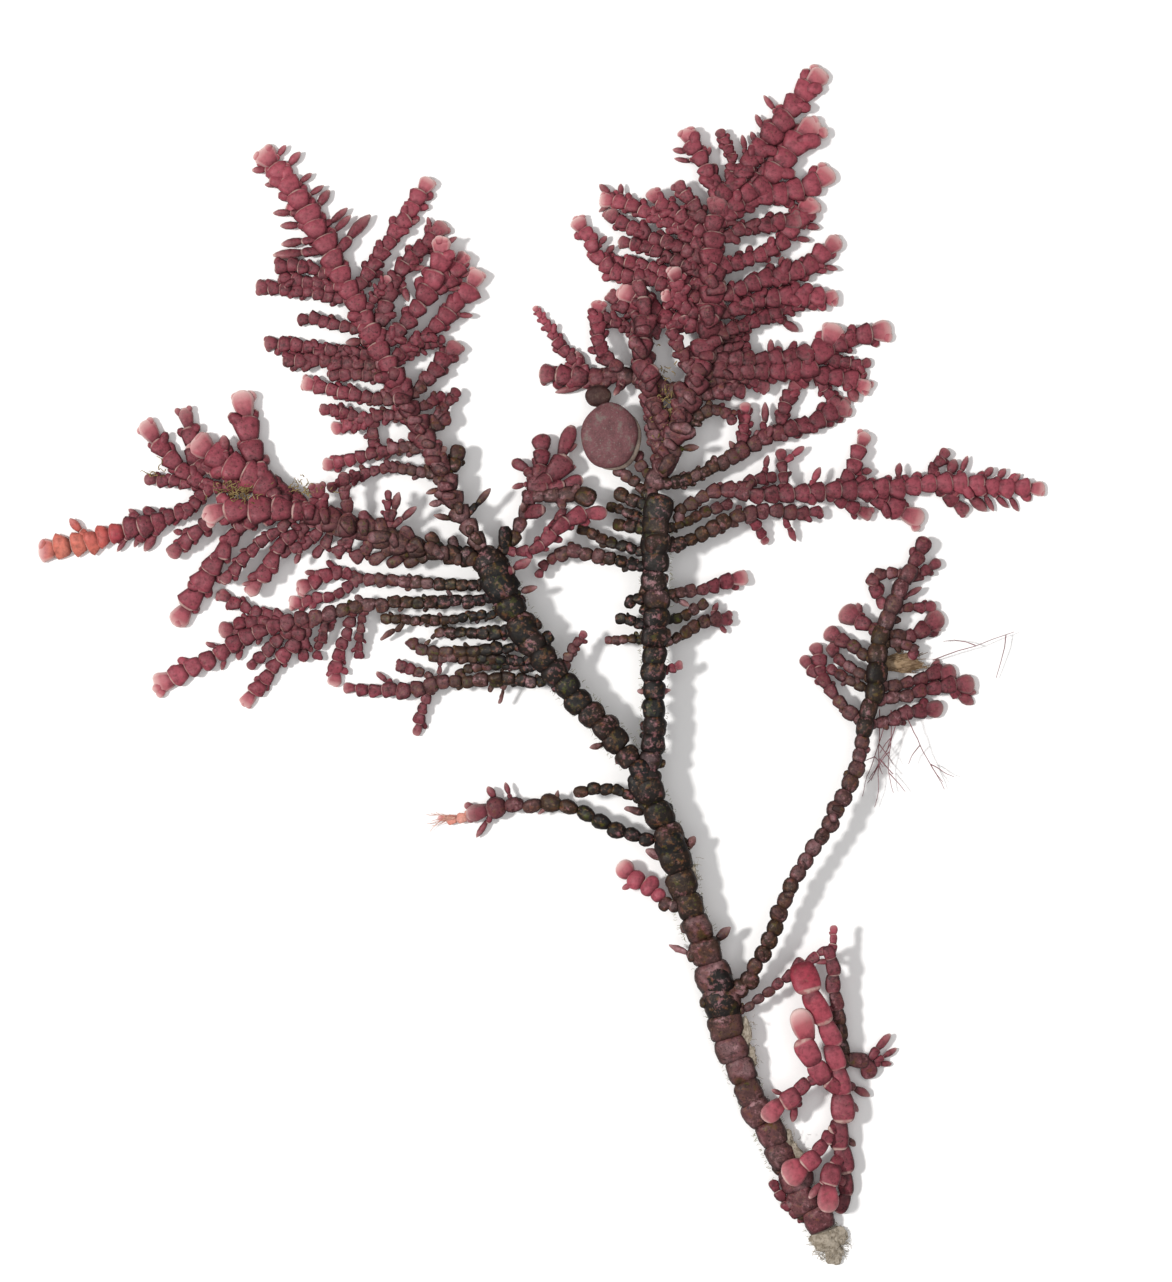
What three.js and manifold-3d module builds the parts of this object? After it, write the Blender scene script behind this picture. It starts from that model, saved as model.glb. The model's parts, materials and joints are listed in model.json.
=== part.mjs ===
// A lying, cut specimen of Johansenia macmillanii, a jointed coralline red seaweed about 10 cm long.
// Each branch is a row of short limy segments, narrow at the joint and widest near its upper end.
// A forked dark stem arches a few millimetres over the ground and carries flat, feather-like fronds.
// Lengths are in millimetres, with +Y from the root tuft to the crown and +Z up from the ground.
import * as THREE from "three";
import Module from "manifold-3d";

// The least width and thickness of a segment.
const THINNEST = 0.6;
// A branch stands out this much wider than its written line of segments, with its uneven edges.
const FULL = 1.14;
// A joint's width as a share of the segments beside it.
const NECK = 0.72;
// How far up a segment its widest ring sits.
const SHOULDER = 0.66;
// A segment's length is a base plus a share of its width. Side branches have about half as many
// segments as the plant, each twice as long.
const AXIS_LENGTH = { base: 1.2, share: 0.6 };
const SIDE_LENGTH = { base: 2.2, share: 1.0 };
// The rounded end of a branch: its width as a share of the last segment.
const TIP = 0.6;
// How much segments differ in width, as a share of it.
const UNEVEN = 0.14;
// A pinnule from foot to tip: [how far up, width as a share of its widest].
const PINNULE = [[0, 0.6], [0.62, 1], [1, 0.5]];
// A branch may begin this far from the one that carries it; its root is sunk into that one's middle.
const REACH = 3.2;
// A branch whose path already begins this near its root gets no extra point there.
const ROOTED = 0.05;
// A branch that begins this near another one springs from it, and else from the axis.
const TOUCHING = 0.45;
// A side branch as wide as this at its tip is a box in section, a narrower one a ridge.
const BROAD = 1.25;
// What lies lower than this is cut away, so that the lowest tips and the stem's foot rest flat.
const GROUND = 0.3;
// Corners nearer than this to a straight edge are dropped once the branches are joined.
const SMOOTH = 0.06;

// Sections across a branch, as shares of half its width and half its thickness.
const BEAD = [[1, 0], [0.5, 1], [-0.5, 1], [-1, 0], [-0.5, -1], [0.5, -1]];
const BOX = [[1, 1], [-1, 1], [-1, -1], [1, -1]];
const RIDGE = [[1, -1], [0, 1], [-1, -1]];

// Each chain is [foot width, tip width, tip height, path]; the first one of a frond is its axis.
// A path runs from foot to tip in [x, y], with [x, y, width] or [x, y, width, height] where it differs.
// Each pinnule, a lone leaf-like segment, is [width, tip height, foot x, foot y, tip x, tip y].
const FRONDS = {
  main_stem: {
    footHeight: 1,
    flatness: 0.85,
    chains: [
      [2, 2, 4, [
        [24, -47.9], [23.4, -47, 2.2], [22.6, -45.6], [21.8, -44.2], [20.8, -42.2, 2.3],
        [19.8, -40.1, 2.2, 1.25], [18.8, -38.1, 2.1], [17.6, -36, 2], [16.9, -34.2, 1.9],
        [16.4, -32.6, 2.1], [15.8, -30.8, 2.3], [15.4, -28.6, 2.4, 2.3], [14.9, -26.7, 2.4],
        [14.2, -24.9, 2.2], [13.6, -22.9, 2.2], [12.9, -21.2, 2.2], [12.4, -19.4, 2.1],
        [12.1, -17.9, 2.1, 3.3], [11.6, -16.2, 2.2], [10.9, -14.6, 2.1], [10.4, -13.1], [9.9, -11.8],
        [9.3, -10.6], [8.9, -9.7],
      ]],
      [2, 1.6, 4, [[9.3, -10.6], [8.4, -9.2], [7.75, -8.15]]],
      [1.9, 1.7, 4, [[9.1, -10.2], [9.25, -9.3], [9.4, -8.6]]],
      [0.6, 1, 3.5, [
        [8.4, -11.4], [7.4, -10.8], [6.2, -10.3], [5.2, -10.3], [3.9, -10.6], [2.9, -10.8],
      ]],
      [0.5, 0.9, 1.2, [[22, -47.2], [21.1, -46], [20.3, -44.9], [19.7, -43.6]]],
    ],
    pinnules: [
      [0.75, 3.4, 9, -13.2, 7.1, -12], [1.1, 3.2, 10.3, -17.1, 8.9, -15.6],
      [0.9, 3.2, 12.6, -16.2, 13.2, -14.4], [0.9, 2.8, 15.2, -24, 16.1, -22],
      [0.65, 2.4, 13.2, -25.1, 10.8, -23.8],
    ],
  },
  lower_branchlet: {
    footHeight: 3.3,
    flatness: 0.75,
    chains: [
      [0.8, 1.2, 1, [
        [9, -14.9], [8.3, -14.5, 1], [6.6, -13.9, 1.1], [5.1, -13.1, 1.2], [3.4, -12.3, 1.1],
        [2.3, -11.9, 1.2], [1.3, -11.7, 1.6], [0.1, -11.6, 1.1], [-1.6, -11.7, 1.1],
        [-2.6, -11.7, 1.2], [-3.5, -11.9, 1.7], [-4.7, -12.2, 1.5], [-6.3, -12.5],
      ]],
      [0.9, 0.45, 0.6, [[-5.6, -12.8], [-7.2, -13, 0.8], [-8.7, -12.9]]],
    ],
    pinnules: [
      [0.65, 1.1, -3.4, -11.5, -4.5, -10.3],
    ],
  },
  pink_bead_shoot: {
    footHeight: 3.4,
    flatness: 0.8,
    chains: [
      [0.9, 1.7, 1.6, [
        [10.9, -20.5], [10.1, -19.7, 1.2], [9.7, -18.9, 1.5], [8.4, -18.1, 1.7], [7.1, -17.4, 1.7],
        [6.6, -16.9, 1.3],
      ]],
    ],
    pinnules: [
      [0.6, 1.8, 8.2, -18.4, 7, -19],
    ],
  },
  left_arm: {
    footHeight: 4,
    flatness: 0.8,
    chains: [
      [1.7, 2.2, 3.7, [
        [7.5, -7.6], [6.4, -6.2, 2], [5.1, -4.6, 1.9], [3.8, -3.5, 1.9], [2.6, -2, 2], [1, -0.4, 2],
        [0, 1.2, 2.1], [-1.3, 3.1, 2.2], [-2.6, 5.6, 2.3], [-3.6, 7.6, 2.4], [-4.2, 8.9],
      ]],
      [0.8, 1, 0.9, [
        [-5.4, 6.9], [-7, 6.9, 0.95], [-8.8, 7], [-10.5, 7.1], [-12, 7.2], [-14, 7.3], [-16, 7.6],
      ]],
      [0.9, 1.3, 0.9, [[-16, 7.6], [-17, 8.3], [-18.5, 7.7], [-19.5, 7], [-20.7, 6.4]]],
      [0.8, 1, 0.5, [[-15.4, 7.4], [-17.5, 5.9], [-19, 5.8], [-20.3, 5.4], [-21.3, 5.3]]],
      [0.8, 1.3, 0.55, [
        [-4.9, 5.5], [-6.3, 5.5, 1], [-8, 5.5], [-10, 5.3, 0.95], [-12, 5.4], [-14, 5.2, 1.05],
        [-16, 5], [-18, 4.5], [-20, 4.1, 1.2], [-22, 3.7], [-24, 2.8, 1.2], [-25.4, 2.3, 1.3],
        [-26.6, 1.6, 1.2], [-28, 0.7, 1.4], [-29.7, -0.1, 1.4], [-31.3, -1.2, 1.8], [-32.8, -1.9],
      ]],
      [0.9, 1.2, 0.9, [[-22, 3.8], [-23.5, 3.9], [-24.5, 3.7], [-26, 3.4], [-27.2, 3]]],
      [0.8, 1.1, 0.6, [[-21, 4], [-22.5, 4.3], [-24.1, 4.5], [-25, 5], [-26.1, 5.6], [-27.4, 6.2]]],
      [0.8, 0.7, 0.6, [[-20.8, 3.8], [-21.5, 2.8, 1], [-22.7, 1.8, 1.1], [-23.7, 0.9], [-24.8, -0.2]]],
      [0.9, 1.1, 0.45, [
        [-19.9, 3.9], [-20.4, 2.9], [-20.9, 1.9, 1.2], [-21.9, 0.8, 1.2], [-22.8, -0.4, 1.1],
        [-24.1, -1.9, 1.3], [-25.2, -3.3],
      ]],
      [0.8, 0.9, 1, [[-19.2, 4.2], [-20, 2.8], [-20.1, 0.4]]],
      [0.7, 0.7, 0.8, [[-18, 4.4], [-18.4, 2.8], [-19, 0.5]]],
      [0.8, 1.1, 0.5, [[-15.8, 4.9], [-16.2, 3.2], [-16.7, 2.2], [-17.2, 0.6], [-17.4, -1.7]]],
      [0.7, 0.8, 0.8, [[-14.9, 5], [-15.2, 3.2], [-15.5, 0.5]]],
      [0.7, 0.8, 1.5, [
        [-4, 4.4], [-5.3, 4.2], [-6.8, 4], [-8.5, 3.9], [-10, 3.8], [-11.5, 3.9], [-13.5, 4],
      ]],
      [0.9, 0.8, 1.2, [[-2.9, 2.9], [-4.1, 2.9, 1], [-5.3, 2.8], [-6.6, 2.8], [-8, 2.9], [-9, 2.9]]],
      [0.7, 0.9, 1, [
        [-1.9, 1.6], [-2.8, 1.6], [-4.5, 1.3, 1], [-6, 1.2, 1.1], [-8, 1.2], [-9.5, 1.3], [-10.7, 1.4],
        [-11, 2.3],
      ]],
      [0.7, 0.8, 1.6, [[-1.3, 0.4], [-3, 0.6], [-4.5, 0.6], [-7.5, 0.7], [-9.5, 0.9]]],
      [0.7, 0.7, 1.2, [[-0.8, -0.2], [-2.5, 0], [-4.5, 0], [-6.2, -0.3], [-7.2, -0.7]]],
      [0.8, 0.8, 0.45, [
        [0.3, -1.4], [-1.2, -1.3, 0.9], [-2.5, -1, 1.1], [-4.2, -1.2, 1.3], [-6, -1.3, 0.9],
        [-8, -1.3, 1], [-9.5, -1.7, 1.2], [-11, -2.1, 1.2], [-12.5, -2, 1.3], [-14.3, -2, 1],
        [-15.9, -1.9, 1.1], [-16.8, -1.9],
      ]],
      [0.7, 0.7, 0.4, [[-9.1, -1.7], [-9.9, -3.2, 0.8], [-10.2, -4.3, 0.9], [-10.4, -5.9]]],
      [0.7, 0.9, 0.9, [[-8.6, -1.4], [-9.8, -0.7], [-11, -0.2], [-12.2, 0.1]]],
      [0.8, 0.7, 3.2, [[1.9, -0.9], [2.3, 0], [2.5, 1.2, 0.8], [3.2, 2], [3.9, 3]]],
    ],
    pinnules: [
      [0.7, 1, -18.4, 7.8, -20, 8], [0.6, 0.6, -25.2, 2.3, -25.6, 0.5],
      [0.6, 1.4, -11.3, 3.9, -13.5, 2.2], [0.7, 0.6, -12.4, -1.8, -13.8, -0.5],
      [0.7, 3.6, -2.3, 6.3, -0.2, 6.6], [0.6, 4.2, 6, -6.4, 4.2, -7.1],
      [0.9, 4.4, -3.4, 7.9, -0.5, 8.8], [0.8, 0.8, -17.6, 4.6, -17.9, 2.9],
    ],
  },
  right_arm: {
    footHeight: 4,
    flatness: 0.8,
    chains: [
      [1.6, 2, 4, [
        [9.4, -7.85], [9.5, -6.8, 1.8], [9.6, -5.4, 1.8], [9.7, -3.5, 1.8], [9.7, -1.5, 1.8],
        [9.7, 0.3, 1.8], [9.7, 2.2, 2], [9.8, 3.9, 2], [9.8, 5.6, 2], [9.8, 7.3, 2.1], [9.8, 9, 2],
        [9.9, 11.2, 2], [10, 13.3, 2], [10.1, 14.4],
      ]],
      [0.8, 0.7, 1.6, [
        [8.5, 8.4], [7.7, 8.6, 1], [6.5, 9], [5.3, 9.2], [3.9, 9.6, 1.1], [2.3, 9.9, 1.3],
        [0.9, 9.2, 0.9], [0.1, 8.2], [-0.3, 7.6],
      ]],
      [0.8, 0.9, 1.6, [[8.3, 9.7], [7.6, 9.9], [6.4, 10.4], [5, 10.9], [4, 11.5], [3.2, 11.8]]],
      [0.9, 1, 2, [[8.9, 11.6], [7.8, 11.8, 1.1], [6.3, 12.1]]],
      [0.8, 0.8, 1.7, [[9, 12.4], [7.5, 12.9], [6.3, 13.4], [5.7, 13.6]]],
      [0.9, 1.1, 2.2, [[9, 13.6], [7.8, 14.2], [6.5, 14.7]]],
      [0.8, 0.9, 2.2, [[9.3, 14.2], [8.4, 15.4], [7.5, 16.1], [6.3, 16.8]]],
      [0.9, 0.9, 2.4, [[9.6, 14.2], [9.1, 16.2], [8.4, 17.3], [8.2, 18.2]]],
      [0.9, 0.9, 3.3, [[8.7, 5.5], [7.9, 5.8], [7.3, 5.1]]],
      [0.9, 0.9, 3, [[8.6, 3.5], [7.6, 4.1], [6.4, 4]]],
      [0.8, 0.6, 2.6, [[8.6, 2.2], [7.9, 2.3], [6.9, 2.3], [5.5, 2.1]]],
      [0.6, 0.8, 3.4, [[10.4, -0.4], [11.3, -0.1], [12.1, 0.2]]],
      [0.8, 1.1, 1, [[10.7, 2], [11.9, 2.6, 0.9], [13.1, 3.3], [14.3, 3.8], [15.2, 4], [16.3, 4.1]]],
      [0.7, 0.9, 2, [[11, 3.9], [12.1, 4.1], [13.3, 4.9], [14.2, 5.5]]],
      [0.8, 1.1, 0.8, [
        [11.2, 6], [12.2, 6.2, 0.9], [13.6, 6.5, 1], [15, 6.9, 1.1], [16.2, 7.3, 1.4], [17.6, 7.5],
      ]],
      [0.8, 0.9, 1.2, [
        [11, 10.1], [12, 10.4], [13.3, 10.9, 1.1], [14.4, 11.5], [15.7, 12.2, 1.2], [17, 12.9, 1.2],
        [19, 13.2, 1.2], [20.8, 12.9, 1.2], [22.2, 12.9, 1.2], [24, 13.1],
      ]],
      [0.7, 1, 1.9, [[11, 11.6], [12.2, 12.1], [13.5, 12.8], [15.2, 13.5], [16.3, 13.9]]],
      [0.8, 0.5, 0.8, [[17.6, 12.9], [18.3, 11.9, 1], [18.8, 11.3], [19.3, 10.4]]],
    ],
    pinnules: [
      [0.7, 3.8, 9.2, -2.2, 8.3, -2], [0.7, 3.8, 10.1, -2.4, 11, -1.8], [0.6, 3.2, 11, 5.2, 12.7, 5.1],
      [0.6, 0.9, 20.6, 12.9, 21.7, 10.5],
    ],
  },
  upper_left_frond: {
    footHeight: 3.6,
    flatness: 0.62,
    chains: [
      [1.5, 1.9, 0.6, [
        [-5, 10.2], [-5.4, 10.9], [-6.1, 12], [-7.3, 14], [-7.8, 15.8], [-8.7, 17.5, 1.6],
        [-9.8, 19.6, 1.7], [-11.2, 22, 1.7], [-12, 24], [-13, 25.5, 1.7], [-13.8, 27.3], [-14.5, 28.8],
        [-15.4, 30.3], [-16, 31.5, 1.7], [-16.8, 32.8], [-17.3, 34], [-18, 35.2], [-18.7, 36.4],
        [-19.3, 37.7, 1.8], [-20, 38.8], [-20.6, 39.7], [-21.3, 40.9], [-22.4, 42.2], [-23.7, 43.9],
      ]],
      [0.9, 1.1, 1.2, [[-17.9, 33.3], [-20, 34], [-22.5, 34]]],
      [0.9, 1, 0.9, [[-16.9, 32], [-19.5, 32.6], [-22.2, 33.1]]],
      [0.9, 1.1, 0.5, [[-16.3, 31], [-19, 31.7], [-21, 32], [-22.8, 32.2], [-24.1, 32.2]]],
      [0.9, 1, 0.8, [[-15, 28.5], [-17.2, 29], [-19, 29.5], [-20.6, 29.5]]],
      [0.9, 1.1, 0.45, [[-14, 26.3], [-17, 26.7], [-20, 27.2], [-22, 27.4], [-23.4, 27.4]]],
      [0.9, 1.1, 0.9, [[-13.4, 25.5], [-17, 25.8], [-20, 26], [-21.9, 26.1]]],
      [0.9, 1.1, 1.3, [[-12.6, 24.5], [-15, 24.8], [-18, 24.8]]],
      [0.9, 1.1, 0.8, [
        [-11.7, 22.5], [-14, 22.7], [-15.4, 22.9], [-16.6, 23.3], [-17.9, 23.5], [-19.2, 23.9],
        [-20.2, 24.2],
      ]],
      [0.9, 1, 0.9, [
        [-10.8, 21], [-13, 21.4], [-14.5, 21], [-15.6, 20.6], [-16.6, 20.4], [-17.7, 20.2],
      ]],
      [0.8, 1, 1.2, [[-14.8, 20.9], [-16.5, 21.5], [-18.7, 21.8]]],
      [0.8, 0.9, 1.2, [[-14, 20.9], [-14.4, 19.4], [-13.9, 18.4]]],
      [0.9, 1, 0.7, [
        [-9.3, 18.4], [-12, 18.5], [-13.5, 18.2], [-15.3, 17.9], [-16.5, 17.4], [-17.7, 17.1],
        [-18.5, 17.2],
      ]],
      [0.8, 0.8, 1.2, [
        [-8.4, 16.3], [-10.2, 16.4], [-12, 16.8], [-13, 16.8], [-14.2, 16.5], [-15.4, 16.2],
        [-16.6, 15.9], [-17.3, 15.4], [-18, 15],
      ]],
      [1, 1.2, 0.8, [
        [-16, 31.3], [-14.7, 33.1], [-14, 34.2], [-13.3, 35.2], [-12.8, 36.3], [-12.1, 37.4],
        [-11.2, 38.4], [-10.3, 39.7, 1.3], [-9.4, 41.5],
      ]],
      [0.7, 0.7, 1.8, [[-14.9, 29.8], [-13.9, 31.5], [-12.8, 33.1]]],
      [1, 1.4, 0.7, [
        [-14, 28.3], [-13.3, 29.7], [-12.9, 31.2, 1.3], [-12.3, 32.5], [-11.8, 33.8, 1.2], [-11, 34.7],
        [-9.9, 35.4], [-9.2, 36.5], [-8, 37.6],
      ]],
      [0.9, 1, 2.2, [
        [-13.3, 27], [-12.2, 28], [-11.5, 29], [-10.3, 30.6, 1.5], [-9.3, 31.8, 1.7],
        [-8.8, 33.4, 1.6], [-8.2, 35.3, 1.6], [-8, 36.4],
      ]],
      [0.9, 0.9, 1.3, [[-9.4, 31.4], [-8.5, 32], [-7.6, 33, 1.4], [-7, 34.2, 1.4], [-6.3, 35.1]]],
      [0.9, 1, 1.2, [
        [-12.9, 25.5], [-11.5, 27], [-9.9, 27.9], [-8.7, 28.8, 1.2], [-7.9, 29.8, 1.5],
        [-6.8, 31, 1.5], [-5.7, 32.6, 1.5], [-5.2, 33.6],
      ]],
      [0.7, 0.7, 1.4, [[-12.6, 25], [-11.8, 26], [-10.3, 27], [-8, 27.8]]],
      [0.8, 1.2, 1, [
        [-11.7, 22.8], [-11, 23], [-9.8, 23.8], [-9.2, 24.9], [-8.3, 25.6, 1.3], [-7.5, 26.6, 1.5],
        [-6.9, 27.4],
      ]],
      [0.8, 0.9, 1.6, [[-10.9, 21.6], [-9, 22.5], [-8.1, 23.2]]],
      [0.8, 0.8, 1.5, [[-10.1, 20.4], [-8.6, 21.2], [-7.8, 22.3], [-6.9, 23.5]]],
      [0.9, 1, 2.2, [[-9.8, 19.9], [-9, 20.4], [-7.6, 21.1]]],
      [0.8, 1.2, 2.3, [[-8.2, 16.2], [-7.5, 16.7], [-7, 17.6], [-6.7, 18.7]]],
    ],
    pinnules: [
      [0.6, 0.8, -22.4, 42.2, -24.5, 42.2], [0.6, 0.9, -20, 38.5, -22.7, 38.5],
      [0.65, 0.9, -19.4, 37.4, -22.1, 37.5], [0.7, 1, -18.8, 36.2, -22, 36],
      [0.85, 1, -18.3, 35.1, -22.7, 35], [0.7, 2, -14.3, 27.6, -16.5, 27.4],
      [0.6, 3.2, -7.3, 14.1, -9.4, 13.7], [0.65, 0.9, -21.8, 41.8, -20.5, 43.8],
      [0.75, 0.9, -19.6, 38.3, -17.7, 40.3], [0.6, 0.9, -18.9, 37, -16.2, 38.7],
      [0.6, 1.1, -18.3, 35.9, -16.2, 38.4], [0.95, 1, -17.6, 34.6, -14.6, 38.5],
      [0.6, 1.4, -12, 33.1, -11, 31], [0.9, 3, -9.1, 17.8, -7.8, 18.4],
      [0.6, 3.4, -6.5, 12.4, -4.1, 15],
    ],
  },
  left_frond: {
    footHeight: 3.6,
    flatness: 0.62,
    chains: [
      [1.4, 1.9, 1.2, [
        [-6.1, 9.4], [-7.2, 9.3, 1.6], [-8.7, 9.6, 1.7], [-10.3, 9.9, 1.8], [-12, 10.4, 1.8],
        [-14, 11.2, 1.9], [-16, 11.9, 1.9, 3.2], [-18, 12.4, 1.9], [-20, 13.2, 2], [-22, 14.3, 2],
        [-24, 15.8, 2], [-25.9, 16.8, 2.1], [-27.3, 17.5, 2.2], [-28.6, 18.4, 2.1], [-29.5, 19.1],
      ]],
      [1.4, 1.5, 2.8, [
        [-19.6, 13], [-21.8, 13.4, 1.7, 3.4], [-23.5, 13.5, 1.9, 3.3], [-25.5, 13.3, 1.9],
        [-27.2, 13.2, 1.8], [-28.5, 12.6],
      ]],
      [1.2, 1.5, 0.6, [
        [-23.6, 15.4], [-26, 15.2], [-27.5, 15.3], [-28.6, 14.8], [-29.2, 13.8, 1.1], [-30.2, 13.1],
        [-31.4, 12.7, 1.3], [-32.7, 12.3, 1.8], [-34, 11.9, 1.9], [-35.4, 11.5, 1.7],
        [-36.8, 11.2, 1.5], [-38.2, 10.7, 1.7], [-39.4, 10.2, 1.9], [-41.3, 9.8, 2], [-42.6, 9.8],
      ]],
      [1, 1.3, 0.8, [
        [-27.6, 15.2], [-28.8, 15.4], [-29.9, 16.3], [-31, 17.3, 1.3], [-32, 18.5, 1.3],
        [-33.1, 19.6, 1.7], [-33.8, 20.6],
      ]],
      [0.8, 0.9, 1, [[-28.8, 15.3], [-31.5, 15.8], [-33.6, 15.9]]],
      [1.1, 0.9, 0.9, [[-28.6, 16.3], [-29.5, 17.2], [-29.8, 20.3, 1.3], [-30.4, 21.9]]],
      [1.3, 1.5, 0.9, [
        [-23.9, 16], [-24.2, 17.2], [-24.6, 18.3, 1.6], [-24.8, 20, 1.7], [-25.2, 22.2, 1.7],
        [-25.3, 23.3],
      ]],
      [1, 1.1, 1.4, [[-27, 13.2], [-28.5, 11.9], [-29.8, 11], [-31.4, 9.4]]],
      [0.9, 1.3, 0.8, [
        [-22.5, 14], [-24, 12.6], [-25.5, 11.8], [-26.5, 10.8], [-27.2, 9.4, 1.3],
        [-28, 7.9, 1.5, 1.9], [-29, 6.4, 1.6], [-30.2, 4.7, 1.6], [-30.9, 3.5],
      ]],
      [0.9, 0.9, 2.1, [
        [-20.7, 13], [-21.8, 11.7], [-23.3, 10.8], [-24.3, 10], [-25.3, 9], [-26.2, 8.1], [-26.9, 7],
      ]],
      [0.9, 1.1, 2, [
        [-19.2, 12.6], [-20, 11.6], [-21.7, 10.8], [-22.6, 9.3, 1.1], [-23.3, 8.1, 1.2],
        [-24.1, 6.8, 1.2], [-24.6, 6],
      ]],
      [0.9, 0.8, 2.2, [[-18.2, 12.2], [-19, 11], [-20.5, 10.2], [-22.1, 9.5]]],
      [0.8, 0.8, 2.4, [[-17.4, 12], [-18, 10.6], [-19.2, 9.2]]],
      [0.9, 1, 2.6, [[-15.6, 11.6], [-16.4, 10.3], [-17.4, 9.4]]],
      [0.9, 1, 2.6, [[-13.8, 11], [-14.8, 9.8], [-15.9, 9]]],
      [0.9, 1, 2.7, [[-12.3, 10.4], [-13.3, 9.3], [-14.4, 8.7]]],
      [0.8, 0.9, 2.7, [[-11, 10], [-12, 9], [-12.9, 8.6]]],
      [0.8, 0.9, 2.9, [[-9.6, 9.7], [-10.5, 8.9], [-11.4, 8.6]]],
      [0.8, 0.9, 3.7, [[-13.4, 11], [-14.4, 12.2], [-15.2, 13]]],
      [0.8, 0.9, 3.7, [[-10, 9.9], [-10.9, 11], [-11.4, 11.9]]],
      [0.8, 0.8, 3.7, [[-8.2, 9.5], [-8.9, 10.5], [-9.5, 11.2]]],
      [0.8, 0.8, 3.8, [[-6.8, 9.4], [-7.3, 10.4], [-7.6, 10.9]]],
      [0.8, 0.9, 3.8, [[-16.1, 12.2], [-16.5, 14], [-16.6, 16.4]]],
      [0.8, 1.3, 3.6, [[-18.1, 12.8], [-18.6, 14], [-18.9, 15.5]]],
      [0.6, 0.6, 3.7, [[-12.6, 11], [-12.9, 12.8], [-12.8, 14.9]]],
    ],
    pinnules: [
      [0.9, 1.6, -26.4, 17.4, -27, 19.6], [0.7, 0.8, -38.2, 10.8, -40.1, 12.4],
      [0.8, 0.6, -32.2, 12.4, -33.4, 9.7], [0.9, 1.3, -23.9, 16.4, -23.1, 17.9],
      [0.7, 3.7, -12.7, 12, -11.8, 14.7], [0.6, 3.6, -12.5, 11.6, -10.4, 13.5],
    ],
  },
  crown_frond: {
    footHeight: 4,
    flatness: 0.62,
    chains: [
      [1.7, 1.5, 2.4, [
        [10.25, 15.62], [10.4, 16.8, 1.8], [10.9, 18.4, 1.8], [11.8, 20.5, 1.9], [12.8, 22.6, 1.9],
        [13.4, 24.8, 2], [14, 26.9, 2], [14.3, 29, 2], [14.5, 31.1, 2], [14.6, 33.2, 1.9],
        [14.6, 35.4, 1.8], [14.8, 37.5, 1.6], [15.1, 39.7],
      ]],
      [1.3, 1.5, 0.6, [
        [15.2, 39.8], [16.5, 40.7, 1.3], [16.9, 42], [17.9, 43, 1.5], [18.9, 44.2, 1.6],
        [19.7, 45.2, 1.7], [20.5, 46.2, 1.8], [21.4, 47.2, 1.9], [22.3, 48.6, 1.6], [23.2, 49.7, 1.7],
        [24, 50.7],
      ]],
      [1.3, 1.6, 0.9, [
        [15.2, 38.4], [16.5, 39], [18, 40.2], [19.3, 41], [20.1, 42, 1.6], [20.9, 43.4, 1.8],
        [22.2, 44.9, 2], [23.9, 46],
      ]],
      [1.1, 1.3, 1.3, [
        [14.9, 38.6], [15, 40.7], [14.4, 41.5], [14, 42.4, 1.4], [13.6, 43.3], [13, 44.2, 1.3],
        [12.3, 45.6],
      ]],
      [0.9, 0.8, 1.2, [[15.9, 40.4], [16.4, 42.4], [16, 43.9], [15.2, 45.6]]],
      [1, 1, 2, [[14.7, 36.9], [13.4, 38.5], [12.4, 40.1], [11.5, 41]]],
      [1, 1.2, 1.8, [[14.6, 36], [12.5, 37.6], [11.5, 38.7], [9.9, 39.5], [9.5, 40.5]]],
      [1, 1.2, 0.9, [
        [14.5, 35], [12.5, 36.6], [11, 37.7], [9.5, 38.3], [8.2, 39], [6.5, 39.5], [5.1, 39.7],
      ]],
      [1, 1.2, 1.2, [
        [14.5, 34], [11.5, 35.8], [9.5, 36.4], [8.5, 37], [7.5, 37.5], [6.2, 37.9], [5.8, 38.7],
      ]],
      [1, 1, 1.6, [[14.5, 32.8], [11, 34.7], [9.5, 35.4], [8, 35.9], [6.7, 36]]],
      [1, 1.1, 0.8, [[14.5, 31.8], [10.5, 33.5], [8.5, 34], [7, 34.3], [5.1, 34.1]]],
      [1, 1.2, 0.8, [
        [14.4, 30.8], [9, 33], [6.4, 33.2], [5.3, 34.3], [4.7, 35.2], [4.2, 36.3], [3.4, 37.4],
        [3, 38.1],
      ]],
      [1.1, 1.6, 1.2, [[14.2, 28.6], [10.5, 29.6], [9, 30.7], [7.5, 31.8, 1.7], [6.9, 32.3]]],
      [0.9, 1.1, 0.9, [[9.4, 30.4], [7.2, 30.2], [5.8, 31.7]]],
      [1, 1.2, 3.6, [[12.5, 29], [12, 31], [11.7, 32.5], [11.3, 33.8]]],
      [0.9, 1, 3.2, [[13.8, 29.6], [12.5, 30.2], [11.5, 30.8], [10.4, 31.6]]],
      [1.1, 1.1, 1.6, [[6.9, 25.2], [5.5, 25.8], [5, 26.8], [5, 28.3], [4.8, 29.8], [5.1, 31]]],
      [0.9, 0.9, 1.8, [[9.6, 28], [8, 28.5], [7, 29], [5.8, 29.4], [5.1, 29.6]]],
      [1.1, 1.3, 0.6, [
        [10.2, 23.6], [8.5, 24.7], [6.5, 24.7, 1.4, 1.5], [4.5, 24.5, 1.5, 1.2], [3.2, 24.5, 1.6],
        [2, 24.7, 1.6], [0, 24.7],
      ]],
      [0.9, 0.45, 0.6, [[4, 24.8], [2.8, 25.9], [1.8, 27.2, 0.9], [0.9, 28.5], [-0.5, 30.6]]],
      [1.4, 1.3, 2.6, [
        [11.2, 19], [10.3, 20.5, 1.6], [9.8, 22.5, 1.8], [8.9, 24.5, 2], [8.5, 26.5, 2.1],
        [8.6, 28.3, 2.1], [9, 30, 1.8], [8.5, 32.7],
      ]],
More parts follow.
